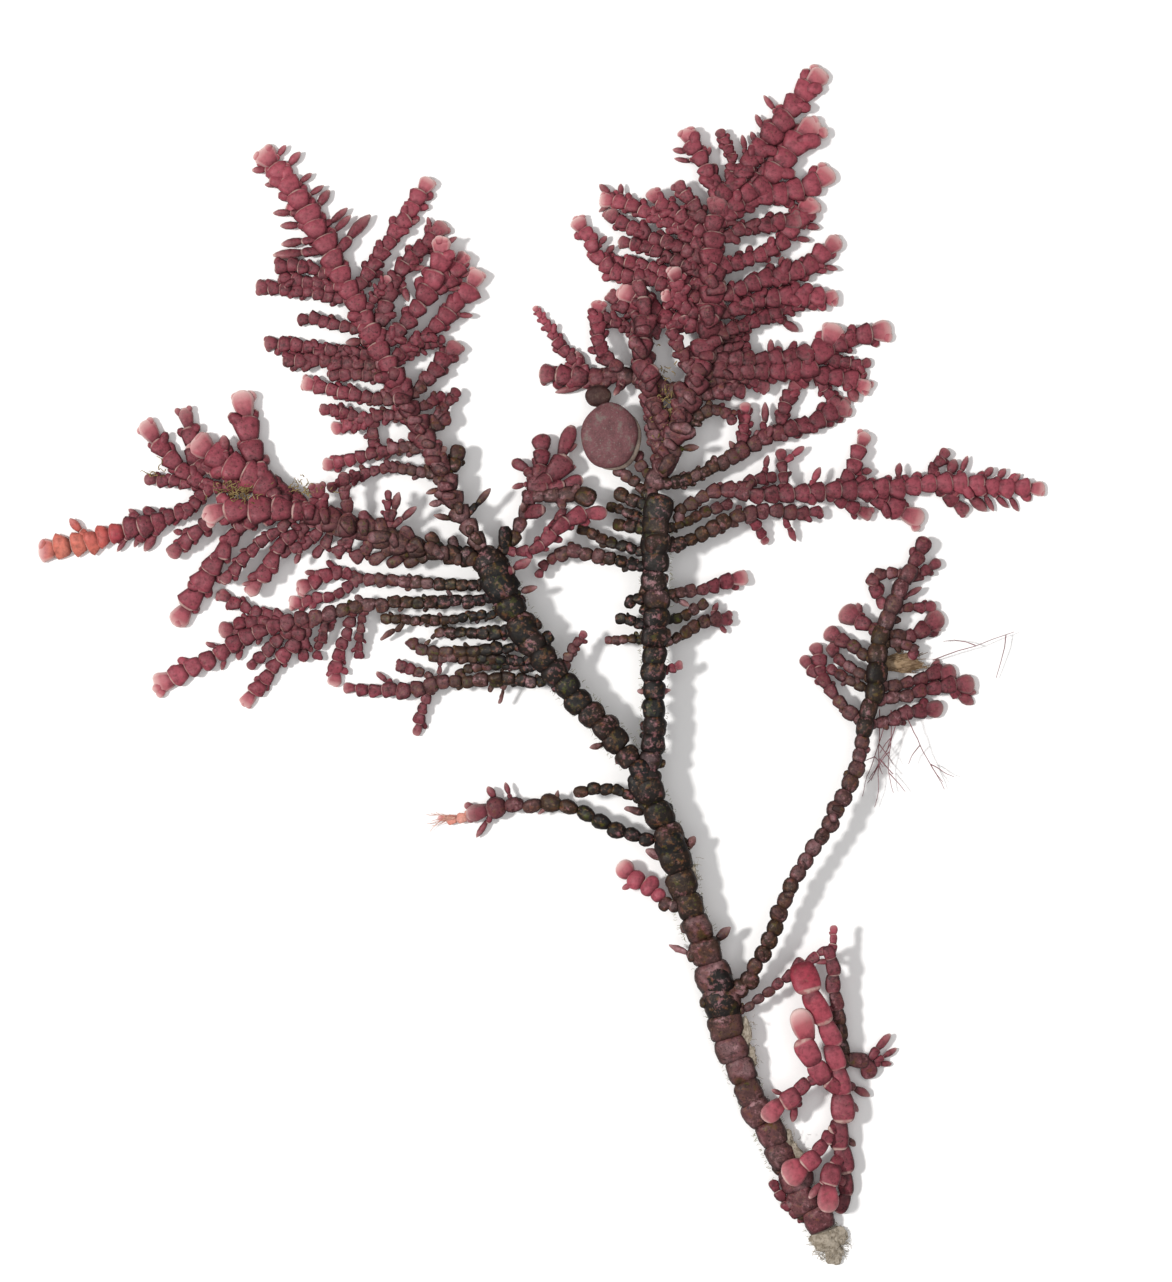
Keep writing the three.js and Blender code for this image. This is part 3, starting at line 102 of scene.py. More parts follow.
edge = crust_edge(DISC, DISC_SIDES)
low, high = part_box("crust_disc")
middle = (edge.min(axis=0) + edge.max(axis=0)) / 2
SHIFT = Vector((
    (low[0] + high[0]) / 2 / MM - DISC["x"] - middle[0],
    (low[1] + high[1]) / 2 / MM - DISC["y"] - middle[1],
    low[2] / MM - DISC["underside"],
))
print("shift in mm:", [round(v, 3) for v in SHIFT])

# %% [markdown]
# The camera looks straight down, as a copy stand does. Its lens is long, so that the arched stem and the
# low tips keep one scale, and it stands as far off as that lens needs.

# %% Set up the camera
VIEW_CENTRE = (3.915, 2.13)
VIEW_HEIGHT = 109.1
LENS = 200.0
SENSOR = 36.0

camera_data = bpy.data.cameras.new("camera")
camera_data.lens = LENS
camera_data.sensor_width = SENSOR
camera_data.clip_start = 10 * MM
camera_data.clip_end = 10000 * MM
camera = bpy.data.objects.new("camera", camera_data)
bpy.context.scene.collection.objects.link(camera)
camera.location = (
    (VIEW_CENTRE[0] + SHIFT.x) * MM,
    (VIEW_CENTRE[1] + SHIFT.y) * MM,
    LENS * VIEW_HEIGHT / SENSOR * MM,
)
bpy.context.scene.camera = camera
print("camera at mm:", [round(v / MM, 1) for v in camera.location])

# %% [markdown]
# A small lamp on the left throws soft shadows to the right. A wide panel overhead and a pale room
# fill them, because the shadows on the table are only a pale grey.

# %% Hang the lamps
LAMP_REACH = 0.78
PANEL_REACH = 1.1
ROOM_BRIGHTNESS = 0.34


def lamp(name, place, size, watts, colour):
    """A square soft box at a place, turned to the plant."""
    data = bpy.data.lights.new(name, "AREA")
    data.size = size
    data.energy = watts
    data.color = colour
    made = bpy.data.objects.new(name, data)
    made.location = place
    made.rotation_euler = (-Vector(place)).to_track_quat("-Z", "Y").to_euler()
    bpy.context.scene.collection.objects.link(made)
    return made


lamp("window on the left", (-0.50, 0.03, LAMP_REACH), 0.09, 7.2, (1.0, 0.99, 0.975))
lamp("panel overhead", (0.12, -0.05, PANEL_REACH), 0.9, 4.6, (0.99, 0.99, 1.0))

world = bpy.data.worlds.new("pale room")
bpy.context.scene.world = world
world.use_nodes = True
world.node_tree.nodes["Background"].inputs["Color"].default_value = (1, 1, 1, 1)
world.node_tree.nodes["Background"].inputs["Strength"].default_value = ROOM_BRIGHTNESS

# %% [markdown]
# Materials and trees are both made of nodes, so one small function adds a node with its settings, values
# and links. Colours are written as sRGB hex, as a paint chart gives them, and turned to the linear values
# of a shader. The table is a matt white laminate that shows nothing but the plant's shadow.

# %% Lay the table
SHEEN_FREE = 0.7
TABLE_GAP = 0.02


def add(tree, kind, values=None, links=None, **settings):
    """Adds a node with its settings, the values of its open inputs and the links into it."""
    node = tree.nodes.new(kind)
    for key, value in settings.items():
        setattr(node, key, value)
    for key, value in (values or {}).items():
        node.inputs[key].default_value = value
    for key, source in (links or {}).items():
        tree.links.new(source, node.inputs[key])
    return node


def linear(hex_colour):
    """An sRGB hex colour as the linear colour that a shader takes."""
    parts = [int(hex_colour[i:i + 2], 16) / 255 for i in (1, 3, 5)]
    return tuple(c / 12.92 if c <= 0.04045 else ((c + 0.055) / 1.055) ** 2.4 for c in parts) + (1.0,)


def new_material(name):
    """An empty node material with its output."""
    material = bpy.data.materials.new(name)
    material.use_nodes = True
    material.node_tree.nodes.clear()
    output = material.node_tree.nodes.new("ShaderNodeOutputMaterial")
    return material, material.node_tree, output


def finish(tree, output, values, links=None):
    """Ends a material with its surface."""
    surface = add(tree, "ShaderNodeBsdfPrincipled", values, links)
    tree.links.new(surface.outputs["BSDF"], output.inputs["Surface"])


bpy.ops.mesh.primitive_plane_add(size=4, location=(0, 0, 0))
table = bpy.context.object
table.name = "table"
table.location.z = -TABLE_GAP * MM
laminate, nodes, output = new_material("matt white laminate")
finish(nodes, output, {"Base Color": linear("#F4F3F2"), "Roughness": SHEEN_FREE})
table.data.materials.append(laminate)
print("table material:", laminate.name)

# %% [markdown]
# Each branch is read off the photograph as a path from foot to tip. A row is
# (foot width, tip width, tip height, foot tone, tip tone, path), and a point of the path is
# (x, y), (x, y, width) or (x, y, width, height). The first row of a frond is its axis. A pinnule, a
# lone leaf-like segment, is (width, tip height, tone, foot x, foot y, tip x, tip y).
# A tone is how old the lime looks: 0 is the olive-black stem, 0.65 dusty rose, 0.95 a pale young tip,
# 1.4 coral and 1.7 the grey-beige of the root.
#
# The stem comes first. It is the oldest lime, nearly black above and mauve towards the root, and it
# arches off the table up to its fork. A thin branchlet and a short row of pink beads grow on it.

# %% Read the stem and its two small shoots
FRONDS = {}


def branches_so_far():
    """Counts the branches that were read up to here."""
    return sum(len(frond["branches"]) for frond in FRONDS.values())


FRONDS["main_stem"] = dict(foot_height=1, flatness=0.85, branches=[
    (2, 2, 4, 0.46, 0.12, [(24, -47.9), (23.4, -47, 2.2), (22.6, -45.6), (21.8, -44.2), (20.8, -42.2, 2.3),
      (19.8, -40.1, 2.2, 1.25), (18.8, -38.1, 2.1), (17.6, -36, 2), (16.9, -34.2, 1.9), (16.4, -32.6, 2.1),
      (15.8, -30.8, 2.3), (15.4, -28.6, 2.4, 2.3), (14.9, -26.7, 2.4), (14.2, -24.9, 2.2), (13.6, -22.9, 2.2),
      (12.9, -21.2, 2.2), (12.4, -19.4, 2.1), (12.1, -17.9, 2.1, 3.3), (11.6, -16.2, 2.2), (10.9, -14.6, 2.1),
      (10.4, -13.1), (9.9, -11.8), (9.3, -10.6), (8.9, -9.7)]),
    (2, 1.6, 4, 0.05, 0.05, [(9.3, -10.6), (8.4, -9.2), (7.75, -8.15)]),
    (1.9, 1.7, 4, 0.05, 0.05, [(9.1, -10.2), (9.25, -9.3), (9.4, -8.6)]),
    (0.6, 1, 3.5, 0.1, 0.2, [(8.4, -11.4), (7.4, -10.8), (6.2, -10.3), (5.2, -10.3), (3.9, -10.6),
      (2.9, -10.8)]),
    (0.5, 0.9, 1.2, 0.55, 0.6, [(22, -47.2), (21.1, -46), (20.3, -44.9), (19.7, -43.6)]),
], pinnules=[
    (0.75, 3.4, 0.1, 9, -13.2, 7.1, -12), (1.1, 3.2, 0.1, 10.3, -17.1, 8.9, -15.6),
    (0.9, 3.2, 0.15, 12.6, -16.2, 13.2, -14.4), (0.9, 2.8, 0, 15.2, -24, 16.1, -22),
    (0.65, 2.4, 0.4, 13.2, -25.1, 10.8, -23.8),
])
FRONDS["lower_branchlet"] = dict(foot_height=3.3, flatness=0.75, branches=[
    (0.8, 1.2, 1, 0.05, 0.7, [(9, -14.9), (8.3, -14.5, 1), (6.6, -13.9, 1.1), (5.1, -13.1, 1.2),
      (3.4, -12.3, 1.1), (2.3, -11.9, 1.2), (1.3, -11.7, 1.6), (0.1, -11.6, 1.1), (-1.6, -11.7, 1.1),
      (-2.6, -11.7, 1.2), (-3.5, -11.9, 1.7), (-4.7, -12.2, 1.5), (-6.3, -12.5)]),
    (0.9, 0.45, 0.6, 1.5, 1.5, [(-5.6, -12.8), (-7.2, -13, 0.8), (-8.7, -12.9)]),
], pinnules=[
    (0.65, 1.1, 0.65, -3.4, -11.5, -4.5, -10.3), (0.45, 1.3, 0.6, -2.3, -11.6, -3, -9.9),
    (0.5, 0.6, 0.65, -3.8, -12.4, -5.3, -14.6), (0.4, 2.2, 0.2, 1.4, -11.4, 1.5, -10.5),
    (0.4, 1.8, 0.2, 0.9, -12, -0.1, -12.6),
])
FRONDS["pink_bead_shoot"] = dict(foot_height=3.4, flatness=0.8, branches=[
    (0.9, 1.7, 1.6, 0.1, 0.98, [(10.9, -20.5), (10.1, -19.7, 1.2), (9.7, -18.9, 1.5), (8.4, -18.1, 1.7),
      (7.1, -17.4, 1.7), (6.6, -16.9, 1.3)]),
], pinnules=[
    (0.6, 1.8, 0.85, 8.2, -18.4, 7, -19),
])
print("branches so far:", branches_so_far())

# %% [markdown]
# The left arm is old too, but its side branches run out far to the left and turn rosy on the way, so
# their tones climb from 0 to about 0.95. They are read as a fan of thin, nearly straight paths.

# %% Read the left arm
FRONDS["left_arm"] = dict(foot_height=4, flatness=0.8, branches=[
    (1.7, 2.2, 3.7, 0.14, 0.1, [(7.5, -7.6), (6.4, -6.2, 2), (5.1, -4.6, 1.9), (3.8, -3.5, 1.9), (2.6, -2, 2),
      (1, -0.4, 2), (0, 1.2, 2.1), (-1.3, 3.1, 2.2), (-2.6, 5.6, 2.3), (-3.6, 7.6, 2.4), (-4.2, 8.9)]),
    (0.8, 1, 0.9, 0, 0.55, [(-5.4, 6.9), (-7, 6.9, 0.95), (-8.8, 7), (-10.5, 7.1), (-12, 7.2), (-14, 7.3),
      (-16, 7.6)]),
    (0.9, 1.3, 0.9, 0.6, 0.85, [(-16, 7.6), (-17, 8.3), (-18.5, 7.7), (-19.5, 7), (-20.7, 6.4)]),
    (0.8, 1, 0.5, 0.55, 0.9, [(-15.4, 7.4), (-17.5, 5.9), (-19, 5.8), (-20.3, 5.4), (-21.3, 5.3)]),
    (0.8, 1.3, 0.55, 0, 0.95, [(-4.9, 5.5), (-6.3, 5.5, 1), (-8, 5.5), (-10, 5.3, 0.95), (-12, 5.4),
      (-14, 5.2, 1.05), (-16, 5), (-18, 4.5), (-20, 4.1, 1.2), (-22, 3.7), (-24, 2.8, 1.2), (-25.4, 2.3, 1.3),
      (-26.6, 1.6, 1.2), (-28, 0.7, 1.4), (-29.7, -0.1, 1.4), (-31.3, -1.2, 1.8), (-32.8, -1.9)]),
    (0.9, 1.2, 0.9, 0.6, 0.75, [(-22, 3.8), (-23.5, 3.9), (-24.5, 3.7), (-26, 3.4), (-27.2, 3)]),
    (0.8, 1.1, 0.6, 0.6, 0.7, [(-21, 4), (-22.5, 4.3), (-24.1, 4.5), (-25, 5), (-26.1, 5.6), (-27.4, 6.2)]),
    (0.8, 0.7, 0.6, 0.5, 0.65, [(-20.8, 3.8), (-21.5, 2.8, 1), (-22.7, 1.8, 1.1), (-23.7, 0.9),
      (-24.8, -0.2)]),
    (0.9, 1.1, 0.45, 0.5, 0.9, [(-19.9, 3.9), (-20.4, 2.9), (-20.9, 1.9, 1.2), (-21.9, 0.8, 1.2),
      (-22.8, -0.4, 1.1), (-24.1, -1.9, 1.3), (-25.2, -3.3)]),
    (0.8, 0.9, 1, 0.5, 0.6, [(-19.2, 4.2), (-20, 2.8), (-20.1, 0.4)]),
    (0.7, 0.7, 0.8, 0.45, 0.6, [(-18, 4.4), (-18.4, 2.8), (-19, 0.5)]),
    (0.8, 1.1, 0.5, 0.45, 0.9, [(-15.8, 4.9), (-16.2, 3.2), (-16.7, 2.2), (-17.2, 0.6), (-17.4, -1.7)]),
    (0.7, 0.8, 0.8, 0.45, 0.6, [(-14.9, 5), (-15.2, 3.2), (-15.5, 0.5)]),
    (0.7, 0.8, 1.5, 0, 0.3, [(-4, 4.4), (-5.3, 4.2), (-6.8, 4), (-8.5, 3.9), (-10, 3.8), (-11.5, 3.9),
      (-13.5, 4)]),
    (0.9, 0.8, 1.2, 0, 0.2, [(-2.9, 2.9), (-4.1, 2.9, 1), (-5.3, 2.8), (-6.6, 2.8), (-8, 2.9), (-9, 2.9)]),
    (0.7, 0.9, 1, 0, 0.45, [(-1.9, 1.6), (-2.8, 1.6), (-4.5, 1.3, 1), (-6, 1.2, 1.1), (-8, 1.2), (-9.5, 1.3),
      (-10.7, 1.4), (-11, 2.3)]),
    (0.7, 0.8, 1.6, 0, 0.3, [(-1.3, 0.4), (-3, 0.6), (-4.5, 0.6), (-7.5, 0.7), (-9.5, 0.9)]),
    (0.7, 0.7, 1.2, 0, 0.3, [(-0.8, -0.2), (-2.5, 0), (-4.5, 0), (-6.2, -0.3), (-7.2, -0.7)]),
    (0.8, 0.8, 0.45, 0.05, 0.7, [(0.3, -1.4), (-1.2, -1.3, 0.9), (-2.5, -1, 1.1), (-4.2, -1.2, 1.3),
      (-6, -1.3, 0.9), (-8, -1.3, 1), (-9.5, -1.7, 1.2), (-11, -2.1, 1.2), (-12.5, -2, 1.3), (-14.3, -2, 1),
      (-15.9, -1.9, 1.1), (-16.8, -1.9)]),
    (0.7, 0.7, 0.4, 0.45, 0.7, [(-9.1, -1.7), (-9.9, -3.2, 0.8), (-10.2, -4.3, 0.9), (-10.4, -5.9)]),
    (0.7, 0.9, 0.9, 0.3, 0.6, [(-8.6, -1.4), (-9.8, -0.7), (-11, -0.2), (-12.2, 0.1)]),
    (0.8, 0.7, 3.2, 0.1, 0.7, [(1.9, -0.9), (2.3, 0), (2.5, 1.2, 0.8), (3.2, 2), (3.9, 3)]),
], pinnules=[
    (0.7, 1, 0.6, -18.4, 7.8, -20, 8), (0.5, 0.8, 0.65, -26.8, 1.4, -28.4, 2),
    (0.5, 0.5, 0.65, -26.5, 1.6, -27.1, -0.4), (0.6, 0.6, 0.65, -25.2, 2.3, -25.6, 0.5),
    (0.6, 1.4, 0.3, -11.3, 3.9, -13.5, 2.2), (0.45, 1.2, 0.3, -8.8, 2.9, -9.8, 1.6),
    (0.7, 0.6, 0.6, -12.4, -1.8, -13.8, -0.5), (0.5, 2, 0.3, -2.6, -1.4, -3.5, -3.1),
    (0.5, 0.9, 0.4, -8.4, 0.9, -8.6, -0.8), (0.7, 3.6, 0.1, -2.3, 6.3, -0.2, 6.6),
    (0.6, 4.2, 0.2, 6, -6.4, 4.2, -7.1), (0.9, 4.4, 0.55, -3.4, 7.9, -0.5, 8.8),
    (0.4, 0.9, 0.6, -19.2, 5.8, -19.6, 4.8), (0.8, 0.8, 0.6, -17.6, 4.6, -17.9, 2.9),
])
print("branches so far:", branches_so_far())

# %% [markdown]
# The right arm stands straight up from the fork. Its lower side branches are short stubs, and the
# upper ones curve up beside the crown.

# %% Read the right arm
FRONDS["right_arm"] = dict(foot_height=4, flatness=0.8, branches=[
    (1.6, 2, 4, 0.05, 0.1, [(9.4, -7.85), (9.5, -6.8, 1.8), (9.6, -5.4, 1.8), (9.7, -3.5, 1.8),
      (9.7, -1.5, 1.8), (9.7, 0.3, 1.8), (9.7, 2.2, 2), (9.8, 3.9, 2), (9.8, 5.6, 2), (9.8, 7.3, 2.1),
      (9.8, 9, 2), (9.9, 11.2, 2), (10, 13.3, 2), (10.1, 14.4)]),
    (0.8, 0.7, 1.6, 0, 0.6, [(8.5, 8.4), (7.7, 8.6, 1), (6.5, 9), (5.3, 9.2), (3.9, 9.6, 1.1),
      (2.3, 9.9, 1.3), (0.9, 9.2, 0.9), (0.1, 8.2), (-0.3, 7.6)]),
    (0.8, 0.9, 1.6, 0, 0.3, [(8.3, 9.7), (7.6, 9.9), (6.4, 10.4), (5, 10.9), (4, 11.5), (3.2, 11.8)]),
    (0.9, 1, 2, 0, 0.3, [(8.9, 11.6), (7.8, 11.8, 1.1), (6.3, 12.1)]),
    (0.8, 0.8, 1.7, 0, 0.25, [(9, 12.4), (7.5, 12.9), (6.3, 13.4), (5.7, 13.6)]),
    (0.9, 1.1, 2.2, 0, 0.25, [(9, 13.6), (7.8, 14.2), (6.5, 14.7)]),
    (0.8, 0.9, 2.2, 0.1, 0.4, [(9.3, 14.2), (8.4, 15.4), (7.5, 16.1), (6.3, 16.8)]),
    (0.9, 0.9, 2.4, 0.15, 0.5, [(9.6, 14.2), (9.1, 16.2), (8.4, 17.3), (8.2, 18.2)]),
    (0.9, 0.9, 3.3, 0, 0.1, [(8.7, 5.5), (7.9, 5.8), (7.3, 5.1)]),
    (0.9, 0.9, 3, 0, 0.1, [(8.6, 3.5), (7.6, 4.1), (6.4, 4)]),
    (0.8, 0.6, 2.6, 0, 0.4, [(8.6, 2.2), (7.9, 2.3), (6.9, 2.3), (5.5, 2.1)]),
    (0.6, 0.8, 3.4, 0.6, 0.75, [(10.4, -0.4), (11.3, -0.1), (12.1, 0.2)]),
    (0.8, 1.1, 1, 0.05, 0.65, [(10.7, 2), (11.9, 2.6, 0.9), (13.1, 3.3), (14.3, 3.8), (15.2, 4),
      (16.3, 4.1)]),
    (0.7, 0.9, 2, 0.05, 0.4, [(11, 3.9), (12.1, 4.1), (13.3, 4.9), (14.2, 5.5)]),
    (0.8, 1.1, 0.8, 0.1, 0.9, [(11.2, 6), (12.2, 6.2, 0.9), (13.6, 6.5, 1), (15, 6.9, 1.1), (16.2, 7.3, 1.4),
      (17.6, 7.5)]),
    (0.8, 0.9, 1.2, 0.1, 0.6, [(11, 10.1), (12, 10.4), (13.3, 10.9, 1.1), (14.4, 11.5), (15.7, 12.2, 1.2),
      (17, 12.9, 1.2), (19, 13.2, 1.2), (20.8, 12.9, 1.2), (22.2, 12.9, 1.2), (24, 13.1)]),
    (0.7, 1, 1.9, 0.1, 0.5, [(11, 11.6), (12.2, 12.1), (13.5, 12.8), (15.2, 13.5), (16.3, 13.9)]),
    (0.8, 0.5, 0.8, 0.55, 0.8, [(17.6, 12.9), (18.3, 11.9, 1), (18.8, 11.3), (19.3, 10.4)]),
], pinnules=[
    (0.7, 3.8, 0.2, 9.2, -2.2, 8.3, -2), (0.7, 3.8, 0.6, 10.1, -2.4, 11, -1.8),
    (0.5, 1.2, 0.6, 14.6, 3.9, 15, 5.5), (0.45, 0.8, 0.6, 14.8, 3.9, 15.9, 2.9),
    (0.6, 3.2, 0.15, 11, 5.2, 12.7, 5.1), (0.6, 0.9, 0.7, 20.6, 12.9, 21.7, 10.5),
])
print("branches so far:", branches_so_far())

# %% [markdown]
# A frond is a feather: one axis and two ranks of side branches that get shorter towards its tip. Each
# could be drawn by a rule, but a real feather is uneven, torn and folded, so every branch is read.

# %% Read the upper left frond
FRONDS["upper_left_frond"] = dict(foot_height=3.6, flatness=0.62, branches=[
    (1.5, 1.9, 0.6, 0, 0.95, [(-5, 10.2), (-5.4, 10.9), (-6.1, 12), (-7.3, 14), (-7.8, 15.8),
      (-8.7, 17.5, 1.6), (-9.8, 19.6, 1.7), (-11.2, 22, 1.7), (-12, 24), (-13, 25.5, 1.7), (-13.8, 27.3),
      (-14.5, 28.8), (-15.4, 30.3), (-16, 31.5, 1.7), (-16.8, 32.8), (-17.3, 34), (-18, 35.2), (-18.7, 36.4),
      (-19.3, 37.7, 1.8), (-20, 38.8), (-20.6, 39.7), (-21.3, 40.9), (-22.4, 42.2), (-23.7, 43.9)]),
    (0.9, 1.1, 1.2, 0.55, 0.6, [(-17.9, 33.3), (-20, 34), (-22.5, 34)]),
    (0.9, 1, 0.9, 0.55, 0.6, [(-16.9, 32), (-19.5, 32.6), (-22.2, 33.1)]),
    (0.9, 1.1, 0.5, 0.55, 0.65, [(-16.3, 31), (-19, 31.7), (-21, 32), (-22.8, 32.2), (-24.1, 32.2)]),
    (0.9, 1, 0.8, 0.5, 0.6, [(-15, 28.5), (-17.2, 29), (-19, 29.5), (-20.6, 29.5)]),
    (0.9, 1.1, 0.45, 0.5, 0.65, [(-14, 26.3), (-17, 26.7), (-20, 27.2), (-22, 27.4), (-23.4, 27.4)]),
    (0.9, 1.1, 0.9, 0.45, 0.6, [(-13.4, 25.5), (-17, 25.8), (-20, 26), (-21.9, 26.1)]),
    (0.9, 1.1, 1.3, 0.45, 0.55, [(-12.6, 24.5), (-15, 24.8), (-18, 24.8)]),
    (0.9, 1.1, 0.8, 0.4, 0.9, [(-11.7, 22.5), (-14, 22.7), (-15.4, 22.9), (-16.6, 23.3), (-17.9, 23.5),
      (-19.2, 23.9), (-20.2, 24.2)]),
    (0.9, 1, 0.9, 0.35, 0.9, [(-10.8, 21), (-13, 21.4), (-14.5, 21), (-15.6, 20.6), (-16.6, 20.4),
      (-17.7, 20.2)]),
    (0.8, 1, 1.2, 0.5, 0.65, [(-14.8, 20.9), (-16.5, 21.5), (-18.7, 21.8)]),
    (0.8, 0.9, 1.2, 0.45, 0.6, [(-14, 20.9), (-14.4, 19.4), (-13.9, 18.4)]),
    (0.9, 1, 0.7, 0.3, 0.9, [(-9.3, 18.4), (-12, 18.5), (-13.5, 18.2), (-15.3, 17.9), (-16.5, 17.4),
      (-17.7, 17.1), (-18.5, 17.2)]),
    (0.8, 0.8, 1.2, 0.25, 0.7, [(-8.4, 16.3), (-10.2, 16.4), (-12, 16.8), (-13, 16.8), (-14.2, 16.5),
      (-15.4, 16.2), (-16.6, 15.9), (-17.3, 15.4), (-18, 15)]),
    (1, 1.2, 0.8, 0.55, 0.95, [(-16, 31.3), (-14.7, 33.1), (-14, 34.2), (-13.3, 35.2), (-12.8, 36.3),
      (-12.1, 37.4), (-11.2, 38.4), (-10.3, 39.7, 1.3), (-9.4, 41.5)]),
    (0.7, 0.7, 1.8, 0.5, 0.8, [(-14.9, 29.8), (-13.9, 31.5), (-12.8, 33.1)]),
    (1, 1.4, 0.7, 0.5, 0.75, [(-14, 28.3), (-13.3, 29.7), (-12.9, 31.2, 1.3), (-12.3, 32.5),
      (-11.8, 33.8, 1.2), (-11, 34.7), (-9.9, 35.4), (-9.2, 36.5), (-8, 37.6)]),
    (0.9, 1, 2.2, 0.5, 0.95, [(-13.3, 27), (-12.2, 28), (-11.5, 29), (-10.3, 30.6, 1.5), (-9.3, 31.8, 1.7),
      (-8.8, 33.4, 1.6), (-8.2, 35.3, 1.6), (-8, 36.4)]),
    (0.9, 0.9, 1.3, 0.6, 0.95, [(-9.4, 31.4), (-8.5, 32), (-7.6, 33, 1.4), (-7, 34.2, 1.4), (-6.3, 35.1)]),
    (0.9, 1, 1.2, 0.5, 0.95, [(-12.9, 25.5), (-11.5, 27), (-9.9, 27.9), (-8.7, 28.8, 1.2), (-7.9, 29.8, 1.5),
      (-6.8, 31, 1.5), (-5.7, 32.6, 1.5), (-5.2, 33.6)]),
    (0.7, 0.7, 1.4, 0.5, 0.6, [(-12.6, 25), (-11.8, 26), (-10.3, 27), (-8, 27.8)]),
    (0.8, 1.2, 1, 0.4, 0.7, [(-11.7, 22.8), (-11, 23), (-9.8, 23.8), (-9.2, 24.9), (-8.3, 25.6, 1.3),
      (-7.5, 26.6, 1.5), (-6.9, 27.4)]),
    (0.8, 0.9, 1.6, 0.4, 0.6, [(-10.9, 21.6), (-9, 22.5), (-8.1, 23.2)]),
    (0.8, 0.8, 1.5, 0.35, 0.6, [(-10.1, 20.4), (-8.6, 21.2), (-7.8, 22.3), (-6.9, 23.5)]),
    (0.9, 1, 2.2, 0.3, 0.5, [(-9.8, 19.9), (-9, 20.4), (-7.6, 21.1)]),
    (0.8, 1.2, 2.3, 0.15, 0.4, [(-8.2, 16.2), (-7.5, 16.7), (-7, 17.6), (-6.7, 18.7)]),
], pinnules=[
    (0.6, 0.8, 0.85, -22.4, 42.2, -24.5, 42.2), (0.5, 0.9, 0.7, -21.4, 41, -23.4, 40.8),
    (0.6, 0.9, 0.65, -20, 38.5, -22.7, 38.5), (0.65, 0.9, 0.65, -19.4, 37.4, -22.1, 37.5),
    (0.7, 1, 0.65, -18.8, 36.2, -22, 36), (0.85, 1, 0.6, -18.3, 35.1, -22.7, 35),
    (0.7, 2, 0.5, -14.3, 27.6, -16.5, 27.4), (0.45, 3, 0.3, -7.6, 15.2, -9.7, 14.8),
    (0.6, 3.2, 0.25, -7.3, 14.1, -9.4, 13.7), (0.5, 3.2, 0.2, -6.4, 12.2, -9, 12.7),
    (0.5, 0.9, 0.9, -22.8, 42.8, -21.5, 44.2), (0.65, 0.9, 0.85, -21.8, 41.8, -20.5, 43.8),
    (0.5, 0.9, 0.7, -21, 40.6, -19.4, 41.9), (0.5, 0.9, 0.65, -20.2, 39.4, -18.5, 41),
    (0.75, 0.9, 0.65, -19.6, 38.3, -17.7, 40.3), (0.6, 0.9, 0.6, -18.9, 37, -16.2, 38.7),
    (0.6, 1.1, 0.6, -18.3, 35.9, -16.2, 38.4), (0.95, 1, 0.65, -17.6, 34.6, -14.6, 38.5),
    (0.5, 1, 0.65, -12.2, 37.2, -10.3, 37.8), (0.6, 1.4, 0.6, -12, 33.1, -11, 31),
    (0.45, 1.3, 0.6, -12, 33.5, -9.7, 34), (0.45, 0.7, 0.7, -9.3, 36.4, -9.4, 38.2),
    (0.45, 2, 0.7, -8.6, 35.9, -7, 36.3), (0.5, 1.3, 0.65, -7.8, 33, -5.9, 33.3),
    (0.5, 1.6, 0.65, -8.6, 31.8, -6.8, 32.1), (0.5, 1.2, 0.65, -7.8, 29.7, -5.7, 29.8),
    (0.9, 3, 0.3, -9.1, 17.8, -7.8, 18.4), (0.6, 3.4, 0.1, -6.5, 12.4, -4.1, 15),
])
print("branches so far:", branches_so_far())

# %% [markdown]
# The left frond ends in the plant's one coral-coloured tip, branch number 2 here.

